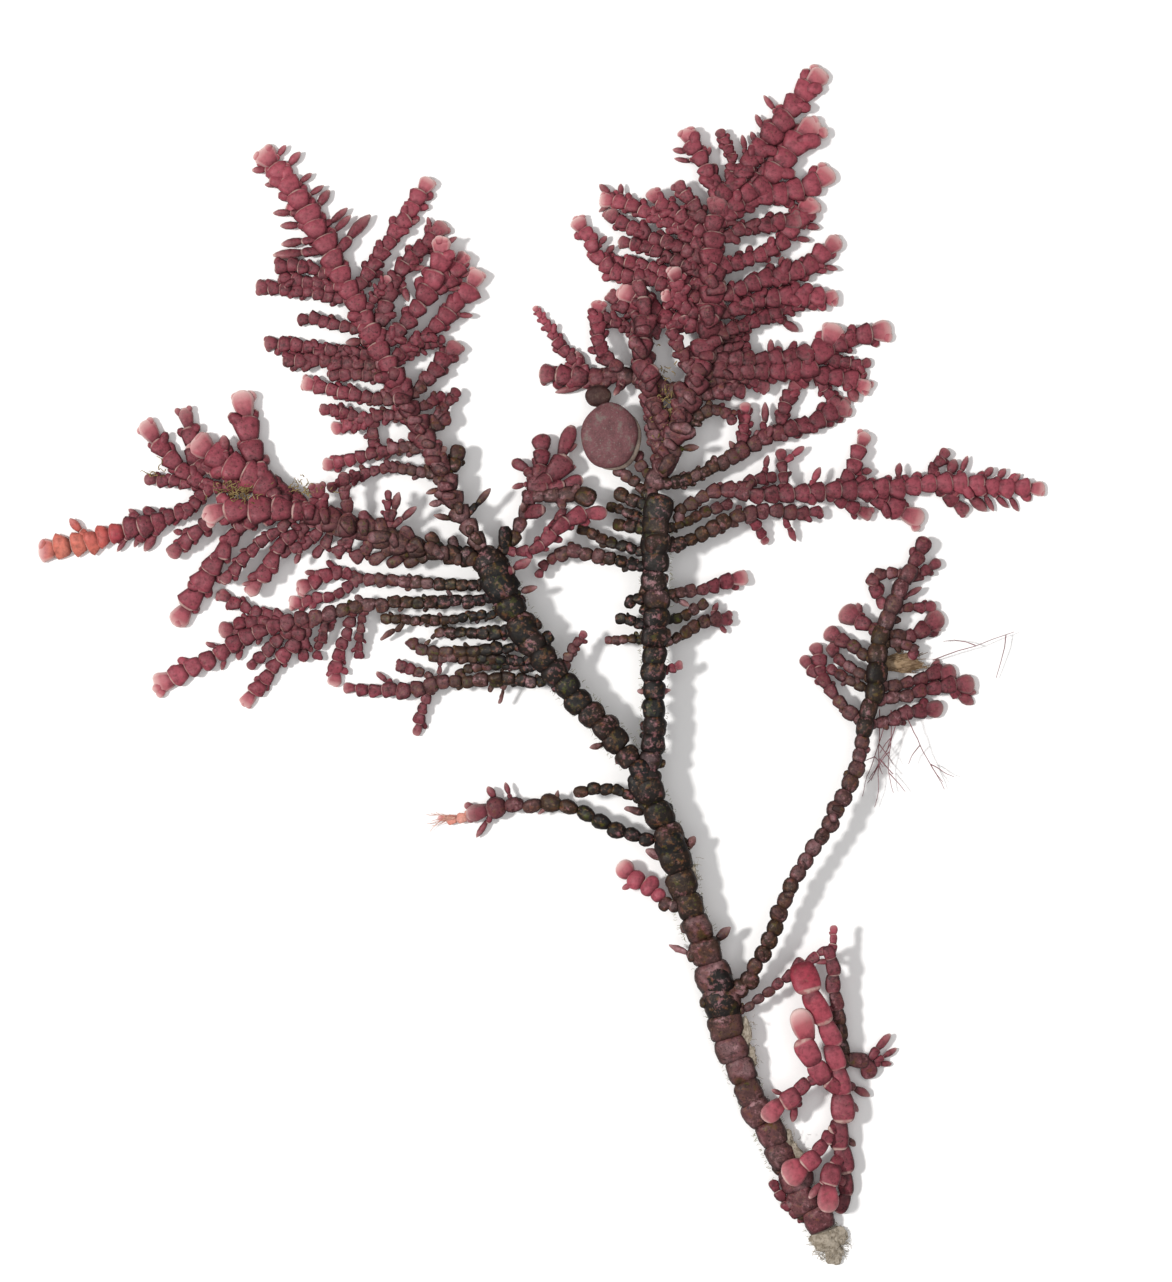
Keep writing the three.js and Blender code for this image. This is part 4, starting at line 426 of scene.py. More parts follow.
# %% Read the left frond
FRONDS["left_frond"] = dict(foot_height=3.6, flatness=0.62, branches=[
    (1.4, 1.9, 1.2, 0, 0.85, [(-6.1, 9.4), (-7.2, 9.3, 1.6), (-8.7, 9.6, 1.7), (-10.3, 9.9, 1.8),
      (-12, 10.4, 1.8), (-14, 11.2, 1.9), (-16, 11.9, 1.9, 3.2), (-18, 12.4, 1.9), (-20, 13.2, 2),
      (-22, 14.3, 2), (-24, 15.8, 2), (-25.9, 16.8, 2.1), (-27.3, 17.5, 2.2), (-28.6, 18.4, 2.1),
      (-29.5, 19.1)]),
    (1.4, 1.5, 2.8, 0.6, 0.9, [(-19.6, 13), (-21.8, 13.4, 1.7, 3.4), (-23.5, 13.5, 1.9, 3.3),
      (-25.5, 13.3, 1.9), (-27.2, 13.2, 1.8), (-28.5, 12.6)]),
    (1.2, 1.5, 0.6, 0.6, 1.4, [(-23.6, 15.4), (-26, 15.2), (-27.5, 15.3), (-28.6, 14.8), (-29.2, 13.8, 1.1),
      (-30.2, 13.1), (-31.4, 12.7, 1.3), (-32.7, 12.3, 1.8), (-34, 11.9, 1.9), (-35.4, 11.5, 1.7),
      (-36.8, 11.2, 1.5), (-38.2, 10.7, 1.7), (-39.4, 10.2, 1.9), (-41.3, 9.8, 2), (-42.6, 9.8)]),
    (1, 1.3, 0.8, 0.6, 0.9, [(-27.6, 15.2), (-28.8, 15.4), (-29.9, 16.3), (-31, 17.3, 1.3), (-32, 18.5, 1.3),
      (-33.1, 19.6, 1.7), (-33.8, 20.6)]),
    (0.8, 0.9, 1, 0.6, 0.65, [(-28.8, 15.3), (-31.5, 15.8), (-33.6, 15.9)]),
    (1.1, 0.9, 0.9, 0.6, 0.7, [(-28.6, 16.3), (-29.5, 17.2), (-29.8, 20.3, 1.3), (-30.4, 21.9)]),
    (1.3, 1.5, 0.9, 0.6, 0.9, [(-23.9, 16), (-24.2, 17.2), (-24.6, 18.3, 1.6), (-24.8, 20, 1.7),
      (-25.2, 22.2, 1.7), (-25.3, 23.3)]),
    (1, 1.1, 1.4, 0.6, 0.7, [(-27, 13.2), (-28.5, 11.9), (-29.8, 11), (-31.4, 9.4)]),
    (0.9, 1.3, 0.8, 0.5, 0.9, [(-22.5, 14), (-24, 12.6), (-25.5, 11.8), (-26.5, 10.8), (-27.2, 9.4, 1.3),
      (-28, 7.9, 1.5, 1.9), (-29, 6.4, 1.6), (-30.2, 4.7, 1.6), (-30.9, 3.5)]),
    (0.9, 0.9, 2.1, 0.5, 0.65, [(-20.7, 13), (-21.8, 11.7), (-23.3, 10.8), (-24.3, 10), (-25.3, 9),
      (-26.2, 8.1), (-26.9, 7)]),
    (0.9, 1.1, 2, 0.5, 0.8, [(-19.2, 12.6), (-20, 11.6), (-21.7, 10.8), (-22.6, 9.3, 1.1), (-23.3, 8.1, 1.2),
      (-24.1, 6.8, 1.2), (-24.6, 6)]),
    (0.9, 0.8, 2.2, 0.5, 0.6, [(-18.2, 12.2), (-19, 11), (-20.5, 10.2), (-22.1, 9.5)]),
    (0.8, 0.8, 2.4, 0.45, 0.55, [(-17.4, 12), (-18, 10.6), (-19.2, 9.2)]),
    (0.9, 1, 2.6, 0.4, 0.55, [(-15.6, 11.6), (-16.4, 10.3), (-17.4, 9.4)]),
    (0.9, 1, 2.6, 0.35, 0.5, [(-13.8, 11), (-14.8, 9.8), (-15.9, 9)]),
    (0.9, 1, 2.7, 0.3, 0.5, [(-12.3, 10.4), (-13.3, 9.3), (-14.4, 8.7)]),
    (0.8, 0.9, 2.7, 0.25, 0.45, [(-11, 10), (-12, 9), (-12.9, 8.6)]),
    (0.8, 0.9, 2.9, 0.15, 0.35, [(-9.6, 9.7), (-10.5, 8.9), (-11.4, 8.6)]),
    (0.8, 0.9, 3.7, 0.35, 0.5, [(-13.4, 11), (-14.4, 12.2), (-15.2, 13)]),
    (0.8, 0.9, 3.7, 0.3, 0.45, [(-10, 9.9), (-10.9, 11), (-11.4, 11.9)]),
    (0.8, 0.8, 3.7, 0.1, 0.3, [(-8.2, 9.5), (-8.9, 10.5), (-9.5, 11.2)]),
    (0.8, 0.8, 3.8, 0, 0.1, [(-6.8, 9.4), (-7.3, 10.4), (-7.6, 10.9)]),
    (0.8, 0.9, 3.8, 0.4, 0.6, [(-16.1, 12.2), (-16.5, 14), (-16.6, 16.4)]),
    (0.8, 1.3, 3.6, 0.5, 0.65, [(-18.1, 12.8), (-18.6, 14), (-18.9, 15.5)]),
    (0.6, 0.6, 3.7, 0.5, 0.6, [(-12.6, 11), (-12.9, 12.8), (-12.8, 14.9)]),
], pinnules=[
    (0.9, 1.6, 0.65, -26.4, 17.4, -27, 19.6), (0.7, 0.8, 1.3, -38.2, 10.8, -40.1, 12.4),
    (0.5, 0.9, 0.65, -33.4, 12.1, -34.9, 13.4), (0.4, 0.9, 0.65, -32.4, 12.4, -33.6, 13.3),
    (0.45, 0.7, 0.65, -34.6, 11.6, -35.9, 9.7), (0.45, 0.7, 0.65, -33.6, 11.9, -34.4, 10.1),
    (0.8, 0.6, 0.65, -32.2, 12.4, -33.4, 9.7), (0.9, 1.3, 0.6, -23.9, 16.4, -23.1, 17.9),
    (0.5, 1, 0.65, -29.6, 11.1, -31.1, 11.5), (0.5, 2.2, 0.65, -23.8, 7, -25.3, 7),
    (0.5, 2.2, 0.6, -20.2, 10.4, -20.6, 8.6), (0.7, 3.7, 0.5, -12.7, 12, -11.8, 14.7),
    (0.6, 3.6, 0.5, -12.5, 11.6, -10.4, 13.5),
])
print("branches so far:", branches_so_far())

# %% [markdown]
# The crown is the densest frond. Its side branches cross one another, so many of them start higher or
# lower than their neighbours.

# %% Read the crown frond
FRONDS["crown_frond"] = dict(foot_height=4, flatness=0.62, branches=[
    (1.7, 1.5, 2.4, 0.15, 0.68, [(10.25, 15.62), (10.4, 16.8, 1.8), (10.9, 18.4, 1.8), (11.8, 20.5, 1.9),
      (12.8, 22.6, 1.9), (13.4, 24.8, 2), (14, 26.9, 2), (14.3, 29, 2), (14.5, 31.1, 2), (14.6, 33.2, 1.9),
      (14.6, 35.4, 1.8), (14.8, 37.5, 1.6), (15.1, 39.7)]),
    (1.3, 1.5, 0.6, 0.6, 0.95, [(15.2, 39.8), (16.5, 40.7, 1.3), (16.9, 42), (17.9, 43, 1.5),
      (18.9, 44.2, 1.6), (19.7, 45.2, 1.7), (20.5, 46.2, 1.8), (21.4, 47.2, 1.9), (22.3, 48.6, 1.6),
      (23.2, 49.7, 1.7), (24, 50.7)]),
    (1.3, 1.6, 0.9, 0.6, 0.95, [(15.2, 38.4), (16.5, 39), (18, 40.2), (19.3, 41), (20.1, 42, 1.6),
      (20.9, 43.4, 1.8), (22.2, 44.9, 2), (23.9, 46)]),
    (1.1, 1.3, 1.3, 0.6, 0.9, [(14.9, 38.6), (15, 40.7), (14.4, 41.5), (14, 42.4, 1.4), (13.6, 43.3),
      (13, 44.2, 1.3), (12.3, 45.6)]),
    (0.9, 0.8, 1.2, 0.6, 0.65, [(15.9, 40.4), (16.4, 42.4), (16, 43.9), (15.2, 45.6)]),
    (1, 1, 2, 0.55, 0.65, [(14.7, 36.9), (13.4, 38.5), (12.4, 40.1), (11.5, 41)]),
    (1, 1.2, 1.8, 0.55, 0.8, [(14.6, 36), (12.5, 37.6), (11.5, 38.7), (9.9, 39.5), (9.5, 40.5)]),
    (1, 1.2, 0.9, 0.55, 0.9, [(14.5, 35), (12.5, 36.6), (11, 37.7), (9.5, 38.3), (8.2, 39), (6.5, 39.5),
      (5.1, 39.7)]),
    (1, 1.2, 1.2, 0.5, 0.7, [(14.5, 34), (11.5, 35.8), (9.5, 36.4), (8.5, 37), (7.5, 37.5), (6.2, 37.9),
      (5.8, 38.7)]),
    (1, 1, 1.6, 0.5, 0.65, [(14.5, 32.8), (11, 34.7), (9.5, 35.4), (8, 35.9), (6.7, 36)]),
    (1, 1.1, 0.8, 0.5, 0.9, [(14.5, 31.8), (10.5, 33.5), (8.5, 34), (7, 34.3), (5.1, 34.1)]),
    (1, 1.2, 0.8, 0.5, 0.95, [(14.4, 30.8), (9, 33), (6.4, 33.2), (5.3, 34.3), (4.7, 35.2), (4.2, 36.3),
      (3.4, 37.4), (3, 38.1)]),
    (1.1, 1.6, 1.2, 0.5, 0.95, [(14.2, 28.6), (10.5, 29.6), (9, 30.7), (7.5, 31.8, 1.7), (6.9, 32.3)]),
    (0.9, 1.1, 0.9, 0.5, 0.65, [(9.4, 30.4), (7.2, 30.2), (5.8, 31.7)]),
    (1, 1.2, 3.6, 0.6, 0.85, [(12.5, 29), (12, 31), (11.7, 32.5), (11.3, 33.8)]),
    (0.9, 1, 3.2, 0.5, 0.9, [(13.8, 29.6), (12.5, 30.2), (11.5, 30.8), (10.4, 31.6)]),
    (1.1, 1.1, 1.6, 0.5, 0.9, [(6.9, 25.2), (5.5, 25.8), (5, 26.8), (5, 28.3), (4.8, 29.8), (5.1, 31)]),
    (0.9, 0.9, 1.8, 0.5, 0.6, [(9.6, 28), (8, 28.5), (7, 29), (5.8, 29.4), (5.1, 29.6)]),
    (1.1, 1.3, 0.6, 0.3, 0.65, [(10.2, 23.6), (8.5, 24.7), (6.5, 24.7, 1.4, 1.5), (4.5, 24.5, 1.5, 1.2),
      (3.2, 24.5, 1.6), (2, 24.7, 1.6), (0, 24.7)]),
    (0.9, 0.45, 0.6, 0.6, 0.9, [(4, 24.8), (2.8, 25.9), (1.8, 27.2, 0.9), (0.9, 28.5), (-0.5, 30.6)]),
    (1.4, 1.3, 2.6, 0.45, 0.62, [(11.2, 19), (10.3, 20.5, 1.6), (9.8, 22.5, 1.8), (8.9, 24.5, 2),
      (8.5, 26.5, 2.1), (8.6, 28.3, 2.1), (9, 30, 1.8), (8.5, 32.7)]),
    (1, 1.1, 2.6, 0.35, 0.55, [(10.6, 17.4), (9.8, 18.5), (9.6, 20), (9.5, 21.5, 1.2), (9, 23.2)]),
    (0.9, 1, 3.4, 0.4, 0.6, [(13, 24.2), (12.4, 25.5), (11.9, 27), (11.1, 28.6)]),
    (0.9, 0.9, 2.8, 0.15, 0.5, [(11.8, 20.2), (13, 20.9), (14.6, 21.9), (15.6, 21.6), (16.6, 20.6)]),
    (1, 1.1, 2.2, 0.3, 0.6, [(12.9, 22.8), (15, 23.2), (17.4, 23.5)]),
    (0.9, 0.9, 1.6, 0.35, 0.65, [(13.1, 23.8), (16, 24.4), (18, 24.3), (19.4, 23.4)]),
    (1.2, 1.4, 0.9, 0.45, 0.95, [(13.5, 25), (16.5, 25), (18.5, 25, 1.3), (20.5, 25.2, 1.4), (22.2, 25, 1.8),
      (23.4, 26, 2), (24.6, 27.6, 1.8), (25.1, 29)]),
    (1.2, 1.3, 1.6, 0.45, 0.65, [(13.9, 26.2), (17, 25.9), (19.5, 26.1), (20.8, 26.3), (22, 26.5),
      (23, 26.6)]),
    (1.2, 1.1, 0.7, 0.6, 0.9, [(22.4, 25), (25, 24.5, 1.4), (26.5, 24.3, 1.4), (28.1, 23.5)]),
    (1, 0.8, 0.7, 0.6, 0.65, [(23.6, 26.2), (25, 26), (26, 25.7), (27.2, 25.6), (28.1, 26)]),
    (1, 1.5, 0.5, 0.6, 0.95, [(24, 26.8), (26, 27.4, 1.2), (26.8, 28.1, 1.4), (28.7, 28.5, 1.8),
      (29.8, 28.5)]),
    (0.7, 0.8, 0.9, 0.6, 0.65, [(23.2, 25.2), (24.2, 23.6), (24.6, 23), (25.5, 22.3)]),
    (1, 1.2, 0.6, 0.15, 0.75, [(11, 15.4), (12.6, 15.8, 0.9), (14.5, 16.8, 0.9), (16, 17.5, 1),
      (17.5, 18.5, 1.2), (19, 19.3, 1.2), (20.5, 19.8, 1.3), (22.5, 20.4, 1.3), (23.7, 21, 1.4),
      (25, 21.8, 1.4), (26.4, 22.1)]),
    (0.9, 1, 0.9, 0.6, 0.7, [(20.2, 19.9), (20.8, 22), (21.2, 23, 1.2), (22, 24.2)]),
    (0.8, 0.9, 1.4, 0.5, 0.9, [(16.9, 18.2), (17.4, 20), (17.4, 22.4)]),
    (1, 0.8, 0.6, 0.5, 0.65, [(14.4, 27.8), (17, 28.8), (19, 29.6), (20.5, 30.2, 1.1), (22, 30.6),
      (23.1, 31)]),
    (1, 1.1, 0.8, 0.5, 0.9, [(14.5, 29.4), (16.8, 30.4), (18.3, 31), (20, 31.3), (21.3, 31.5),
      (22.7, 31.5, 1.5), (23.7, 31.4), (25.3, 31.3)]),
    (1, 1.3, 0.8, 0.5, 0.9, [(14.6, 31.2), (17.5, 32.2), (19.3, 33), (20.6, 33.1, 1.5), (22.3, 33.4, 1.4),
      (23.2, 34.2, 1.4), (24.2, 35.2, 1.5), (25.6, 36.2)]),
    (1, 1.7, 0.8, 0.55, 0.9, [(14.6, 33.2), (17, 34.4), (19, 35), (20.3, 35.7, 1.3), (21.5, 37.3, 1.5),
      (22.2, 38.5, 1.7), (23.4, 39.7)]),
    (1, 1.3, 1.5, 0.55, 0.7, [(14.7, 35.8), (17.5, 37.2), (19.5, 37.5), (20.7, 37.7, 1.3), (22.1, 38)]),
    (1.1, 1.4, 0.6, 0.6, 0.95, [(14.9, 37.4), (17.9, 39.6), (19.2, 40.2), (20.6, 40.2, 1.5),
      (21.8, 40.5, 1.6), (22.8, 40.6, 1.6), (23.8, 41.2, 1.7), (24.6, 42.4)]),
    (0.9, 0.9, 1.6, 0.45, 0.6, [(14, 26.6), (15.6, 26.9), (17.9, 27)]),
    (0.9, 0.8, 1.2, 0.45, 0.6, [(14.1, 27.2), (15.6, 27.7), (17.8, 28)]),
    (0.9, 0.9, 1.4, 0.55, 0.65, [(15, 36.8), (16.6, 38.8), (18.6, 41.8), (20, 43)]),
], pinnules=[
    (0.5, 0.8, 0.8, 20.4, 46.3, 19.2, 48.6), (0.5, 0.9, 0.7, 19.3, 44.8, 18.4, 46.9),
    (0.5, 1, 0.65, 18.5, 44, 18, 45.4), (0.5, 1, 0.65, 17.7, 42.9, 17.1, 45.1),
    (0.45, 1.2, 0.65, 13.8, 42.7, 11.4, 43), (0.5, 1.2, 0.65, 13.4, 43.4, 11.3, 44),
    (0.45, 1.4, 0.65, 13.9, 42.6, 14.5, 44.1), (0.6, 0.9, 0.7, 6.6, 39.5, 5.1, 41),
    (0.5, 1, 0.65, 7, 39.3, 6.8, 41), (0.45, 0.8, 0.65, 6.2, 39.5, 5, 38.6),
    (0.5, 1, 0.65, 4.7, 35.3, 5.6, 36.6), (0.5, 1, 0.65, 5.2, 34.5, 6.3, 35.8),
    (0.8, 0.9, 0.6, 4.2, 24.6, 3.1, 26.8), (0.6, 0.8, 0.55, 5.5, 23.9, 1.4, 23),
    (0.5, 2.4, 0.5, 7.4, 23.4, 6.3, 22.9), (0.6, 1, 0.65, 19.8, 25.6, 19.5, 27.7),
    (0.9, 0.8, 0.65, 25.9, 24.3, 26.8, 22.4), (0.6, 1.2, 0.6, 19, 19.3, 19.3, 22.4),
    (0.6, 1.8, 0.4, 16.9, 17.9, 16.2, 19.1), (0.6, 3.4, 0.2, 11.2, 18.4, 13.5, 18.3),
    (0.7, 0.8, 0.6, 19.6, 29.8, 22, 28.5), (0.5, 1, 0.65, 23.4, 34.1, 25.3, 33.6),
    (0.6, 1, 0.65, 20.5, 33.1, 20.6, 34.8), (0.5, 0.9, 0.65, 21, 36.3, 23, 36.2),
    (0.6, 0.9, 0.65, 21.6, 37.5, 23.8, 37.3), (0.5, 1.6, 0.6, 9.8, 29.9, 10.4, 28.6),
    (0.6, 2, 0.5, 13.9, 38, 12.3, 38),
])
print("branches so far:", branches_so_far())

# %% [markdown]
# The right frond is a long spear with short side branches. The side frond hangs on a beaded stalk of
# its own, so its first row is the stalk and its second row is the axis of the feather.

# %% Read the right frond and the side frond
FRONDS["right_frond"] = dict(foot_height=3.6, flatness=0.62, branches=[
    (0.9, 1, 0.55, 0.15, 0.95, [(11.4, 13.2), (12.5, 13.6), (13.5, 14.2, 1, 3.2), (14.8, 14.9, 1.1),
      (17.5, 14.7, 1.3, 3), (19.5, 14.4, 1.3), (21, 14.5, 1.4), (23, 14.7, 1.4), (25, 15, 1.5),
      (27, 14.9, 1.5), (29, 15.1, 1.5), (31, 15.2, 1.5), (33, 15.4, 1.5), (35, 15.5, 1.5), (37, 15.5, 1.5),
      (39, 15.3, 1.4), (41, 15.1, 1.3), (42.9, 15.1)]),
    (0.9, 0.8, 0.9, 0.6, 0.65, [(33, 15.6), (33.6, 17), (34.7, 18.4)]),
    (0.9, 1, 1, 0.6, 0.9, [(25.2, 15.2), (26.4, 16.2), (26.9, 17.8, 1.2), (27.6, 19.9)]),
    (0.8, 0.8, 1.2, 0.55, 0.65, [(20.7, 14.6), (20.7, 16.2), (20.5, 18.4)]),
    (0.9, 0.9, 1.8, 0.5, 0.6, [(17, 15.2), (18.5, 16), (20.1, 16)]),
    (1, 1, 0.5, 0.6, 0.65, [(33.8, 15.2), (35.2, 14), (36.3, 13)]),
    (0.9, 1.1, 0.8, 0.6, 0.75, [(24.5, 14.6), (26.5, 13.4), (28.2, 12.8)]),
    (1.1, 1.3, 0.6, 0.6, 0.95, [(27.3, 14.7), (29.5, 13.8, 1.3), (30.7, 13.1, 1.6), (32.5, 12.3)]),
], pinnules=[
    (0.9, 0.9, 0.65, 34.3, 15.7, 35.5, 17.5), (0.5, 0.8, 0.65, 35.3, 15.8, 36.5, 17.8),
    (0.6, 0.8, 0.7, 37.3, 15.6, 38.5, 16.9), (0.6, 0.8, 0.7, 38.5, 15.5, 39.6, 16.8),
    (0.5, 0.7, 0.8, 39.9, 15.3, 40.8, 16.4), (0.6, 1.4, 0.6, 30.3, 15.4, 30.6, 17.3),
    (0.6, 1, 0.65, 26.5, 16.4, 28.2, 16.6), (0.6, 1.8, 0.9, 22.9, 14.9, 23.6, 16.9),
    (0.6, 1.2, 0.9, 20.7, 17.2, 22.4, 18.7), (0.5, 1.6, 0.6, 19, 16.1, 19.3, 17.9),
    (0.9, 0.5, 0.65, 35.6, 15, 37.8, 13), (0.5, 0.5, 0.7, 37.2, 14.9, 38.6, 13.2),
    (0.5, 0.5, 0.7, 38, 14.8, 39.7, 13.3), (0.5, 0.5, 0.7, 39.2, 14.8, 40.8, 13.2),
])
FRONDS["side_frond"] = dict(foot_height=2.5, flatness=0.75, branches=[
    (1.4, 1, 2.9, 0.2, 0.34, [(17.6, -27.4), (17.7, -26.4, 1.3), (18.4, -25.2, 1.1), (19.3, -23.6, 1.2, 3.4),
      (19.9, -22, 1.2), (20.5, -20.3), (21.1, -18.8, 1.2), (21.9, -17.4, 1.2), (22.7, -16.1, 1.2),
      (23.6, -14.8, 1.2, 4), (24.5, -13.4, 1.2), (25.2, -12.1, 1.2), (26, -10.4, 1.3), (26.7, -8.9, 1.2),
      (27.1, -7.4, 1.1), (27.4, -5.8)]),
    (1.5, 1.4, 1.4, 0.1, 0.6, [(27.4, -5.8), (27.7, -4.4, 1.7), (28.2, -3, 1.7), (28.5, -1, 1.8),
      (28.6, 1, 1.8), (28.8, 2.5, 1.6), (29.6, 4, 1.5), (30.1, 5.2, 1.5), (30.5, 6.4, 1.5), (31.1, 7.8, 1.4),
      (31.6, 8.7, 1.3), (32.3, 9.8, 1.4), (32.9, 10.9)]),
    (0.7, 0.8, 0.8, 0.4, 0.65, [(30.7, 6.9), (32.3, 7.8), (34, 8.9)]),
    (0.7, 0.8, 0.8, 0.4, 0.65, [(29.9, 4.8), (31.5, 5), (33.7, 5.1)]),
    (0.8, 1.2, 0.5, 0.3, 0.7, [(29.2, 2.9), (31.3, 2.3, 0.9), (32.1, 2.7), (33.2, 3.5, 1.5), (34.2, 4.4)]),
    (0.9, 0.8, 1.6, 0.2, 0.6, [(29, 2), (30.8, 1.9), (32.2, 1.6), (31.4, 0.7)]),
    (0.9, 1.4, 0.5, 0.3, 0.7, [(28.7, -1.8), (30.4, -1.6), (31.5, -1.3), (33.3, -0.7, 1), (34.9, -0.6),
      (35.4, -0.7)]),
    (0.9, 1.5, 0.6, 0.3, 0.7, [(28.5, -2.8), (30, -2.7), (31.8, -2.3), (33.5, -1.8, 1.1), (35, -1.7, 1.2),
      (36.8, -1.2)]),
    (0.8, 1.4, 0.5, 0.3, 0.7, [(28, -4.9), (29.5, -4.6), (31, -4.1), (32.5, -3.6, 1.2), (34.2, -3.5)]),
    (0.8, 1.5, 0.8, 0.4, 0.7, [(29, 2.9), (27.6, 3.6), (26.4, 4.2, 1.4), (25.7, 4.9)]),
    (0.8, 1.2, 0.7, 0.2, 0.7, [(28.5, 0.4), (27.4, 1), (26.3, 1.8), (25.2, 2.5, 1.1), (24.4, 3.2)]),
    (0.8, 0.9, 1.2, 0.2, 0.65, [(28.4, -1.1), (27.2, -0.6), (26, 0), (25.1, 0.9), (24.7, 1.9)]),
    (0.7, 0.8, 1.6, 0.2, 0.5, [(28.2, -2.2), (27, -1.6), (25.8, -1), (24.4, 0)]),
    (0.9, 0.8, 0.5, 0.3, 0.7, [(27.6, -4.9), (26.3, -3.8), (25.3, -2.9, 1), (24.6, -1.9), (24, -0.9, 1),
      (22.9, -0.2), (22.2, 0.8)]),
    (0.9, 0.8, 0.8, 0.6, 0.7, [(24, -0.8), (23.7, 0.8, 1.1), (23.4, 2)]),
    (0.7, 0.8, 1.8, 0.4, 0.65, [(31, 7.9), (29.5, 7.9), (28.3, 7.8), (28.2, 6.8, 1.1), (28.6, 6), (29.4, 5)]),
], pinnules=[
    (0.5, 1.2, 0.5, 30.1, 5.4, 32.4, 6.7), (0.7, 0.5, 0.6, 33, 0.3, 34.1, 0.5),
    (0.7, 0.5, 0.65, 35, -1.7, 37.1, -2.3), (0.9, 0.4, 0.65, 34.6, -1.9, 36.9, -3.2),
    (0.6, 1.2, 0.5, 27.4, 3.8, 27.1, 5.4), (0.6, 0.8, 0.6, 33, 3.2, 34.1, 3),
])
print("branches so far:", branches_so_far())

# %% [markdown]
# The middle sprig is young and bunched. It lies over the two arms.

# %% Read the middle sprig
FRONDS["middle_sprig"] = dict(foot_height=4.3, flatness=0.7, branches=[
    (0.9, 1.3, 1.2, 0, 0.65, [(-2.9, 9.9), (-2.3, 10.6, 1.1), (-1.9, 11.6, 1.2), (-1.4, 12.6, 1.1),
      (-1, 13.6, 1.1), (-0.7, 15, 1.2), (0, 16.5, 1.3), (0.3, 18, 1.4), (0.2, 19.7)]),
    (0.9, 1.1, 3.6, 0, 0.1, [(-2.9, 9.9), (-3.3, 10.6), (-3.3, 11.8)]),
    (1, 0.7, 1.6, 0.55, 0.7, [(-0.6, 15.2), (1, 16.2, 1.4), (1.9, 17.9, 1.6), (2.4, 19.2, 1.3),
      (2.75, 20.4)]),
    (0.8, 0.9, 2.4, 0.5, 0.65, [(-0.7, 14.9), (1.5, 15.2), (3.6, 15.9)]),
    (0.8, 0.9, 1, 0.55, 0.65, [(-0.3, 16), (-1.2, 16.8), (-2.3, 17.4)]),
    (0.8, 1.3, 3.4, 0.3, 0.25, [(-0.8, 14.4), (1.2, 14.4), (3, 14.7, 1.2), (4.1, 14.6, 1.4), (4.5, 13.9)]),
    (0.7, 0.7, 3.6, 0.4, 0.55, [(1.6, 14.5), (2, 13.2), (1.3, 12.2)]),
    (0.9, 1.2, 3.6, 0.5, 0.6, [(-1.2, 12.9), (-0.3, 13.2), (0.6, 12.8)]),
    (0.6, 1.1, 3.6, 0.6, 0.8, [(-2.5, 9.6), (-0.9, 9.6, 0.8, 4.3), (0.5, 10.5, 0.9, 4.3),
      (1.6, 11.8, 1.1, 4.2), (3, 12.7, 1.2), (4.2, 13, 1.2), (5.6, 13.3)]),
    (0.8, 0.8, 4.2, 0.6, 0.6, [(1.2, 12.2), (0.8, 11.2), (0.7, 10.9)]),
], pinnules=[
    (0.6, 2, 0.65, 1.6, 16.6, 3.1, 16.9), (0.5, 2, 0.6, -0.5, 15.6, -2.4, 15.2),
    (0.6, 1.4, 0.65, 2, 18.2, 3.2, 18.7), (0.6, 3.8, 0.2, -1.3, 13, -1.6, 13.8),
])
print("branches so far:", branches_so_far())

# %% [markdown]
# The foot of the plant has a tuft of root fibres, and fresh red shoots stand beside it.

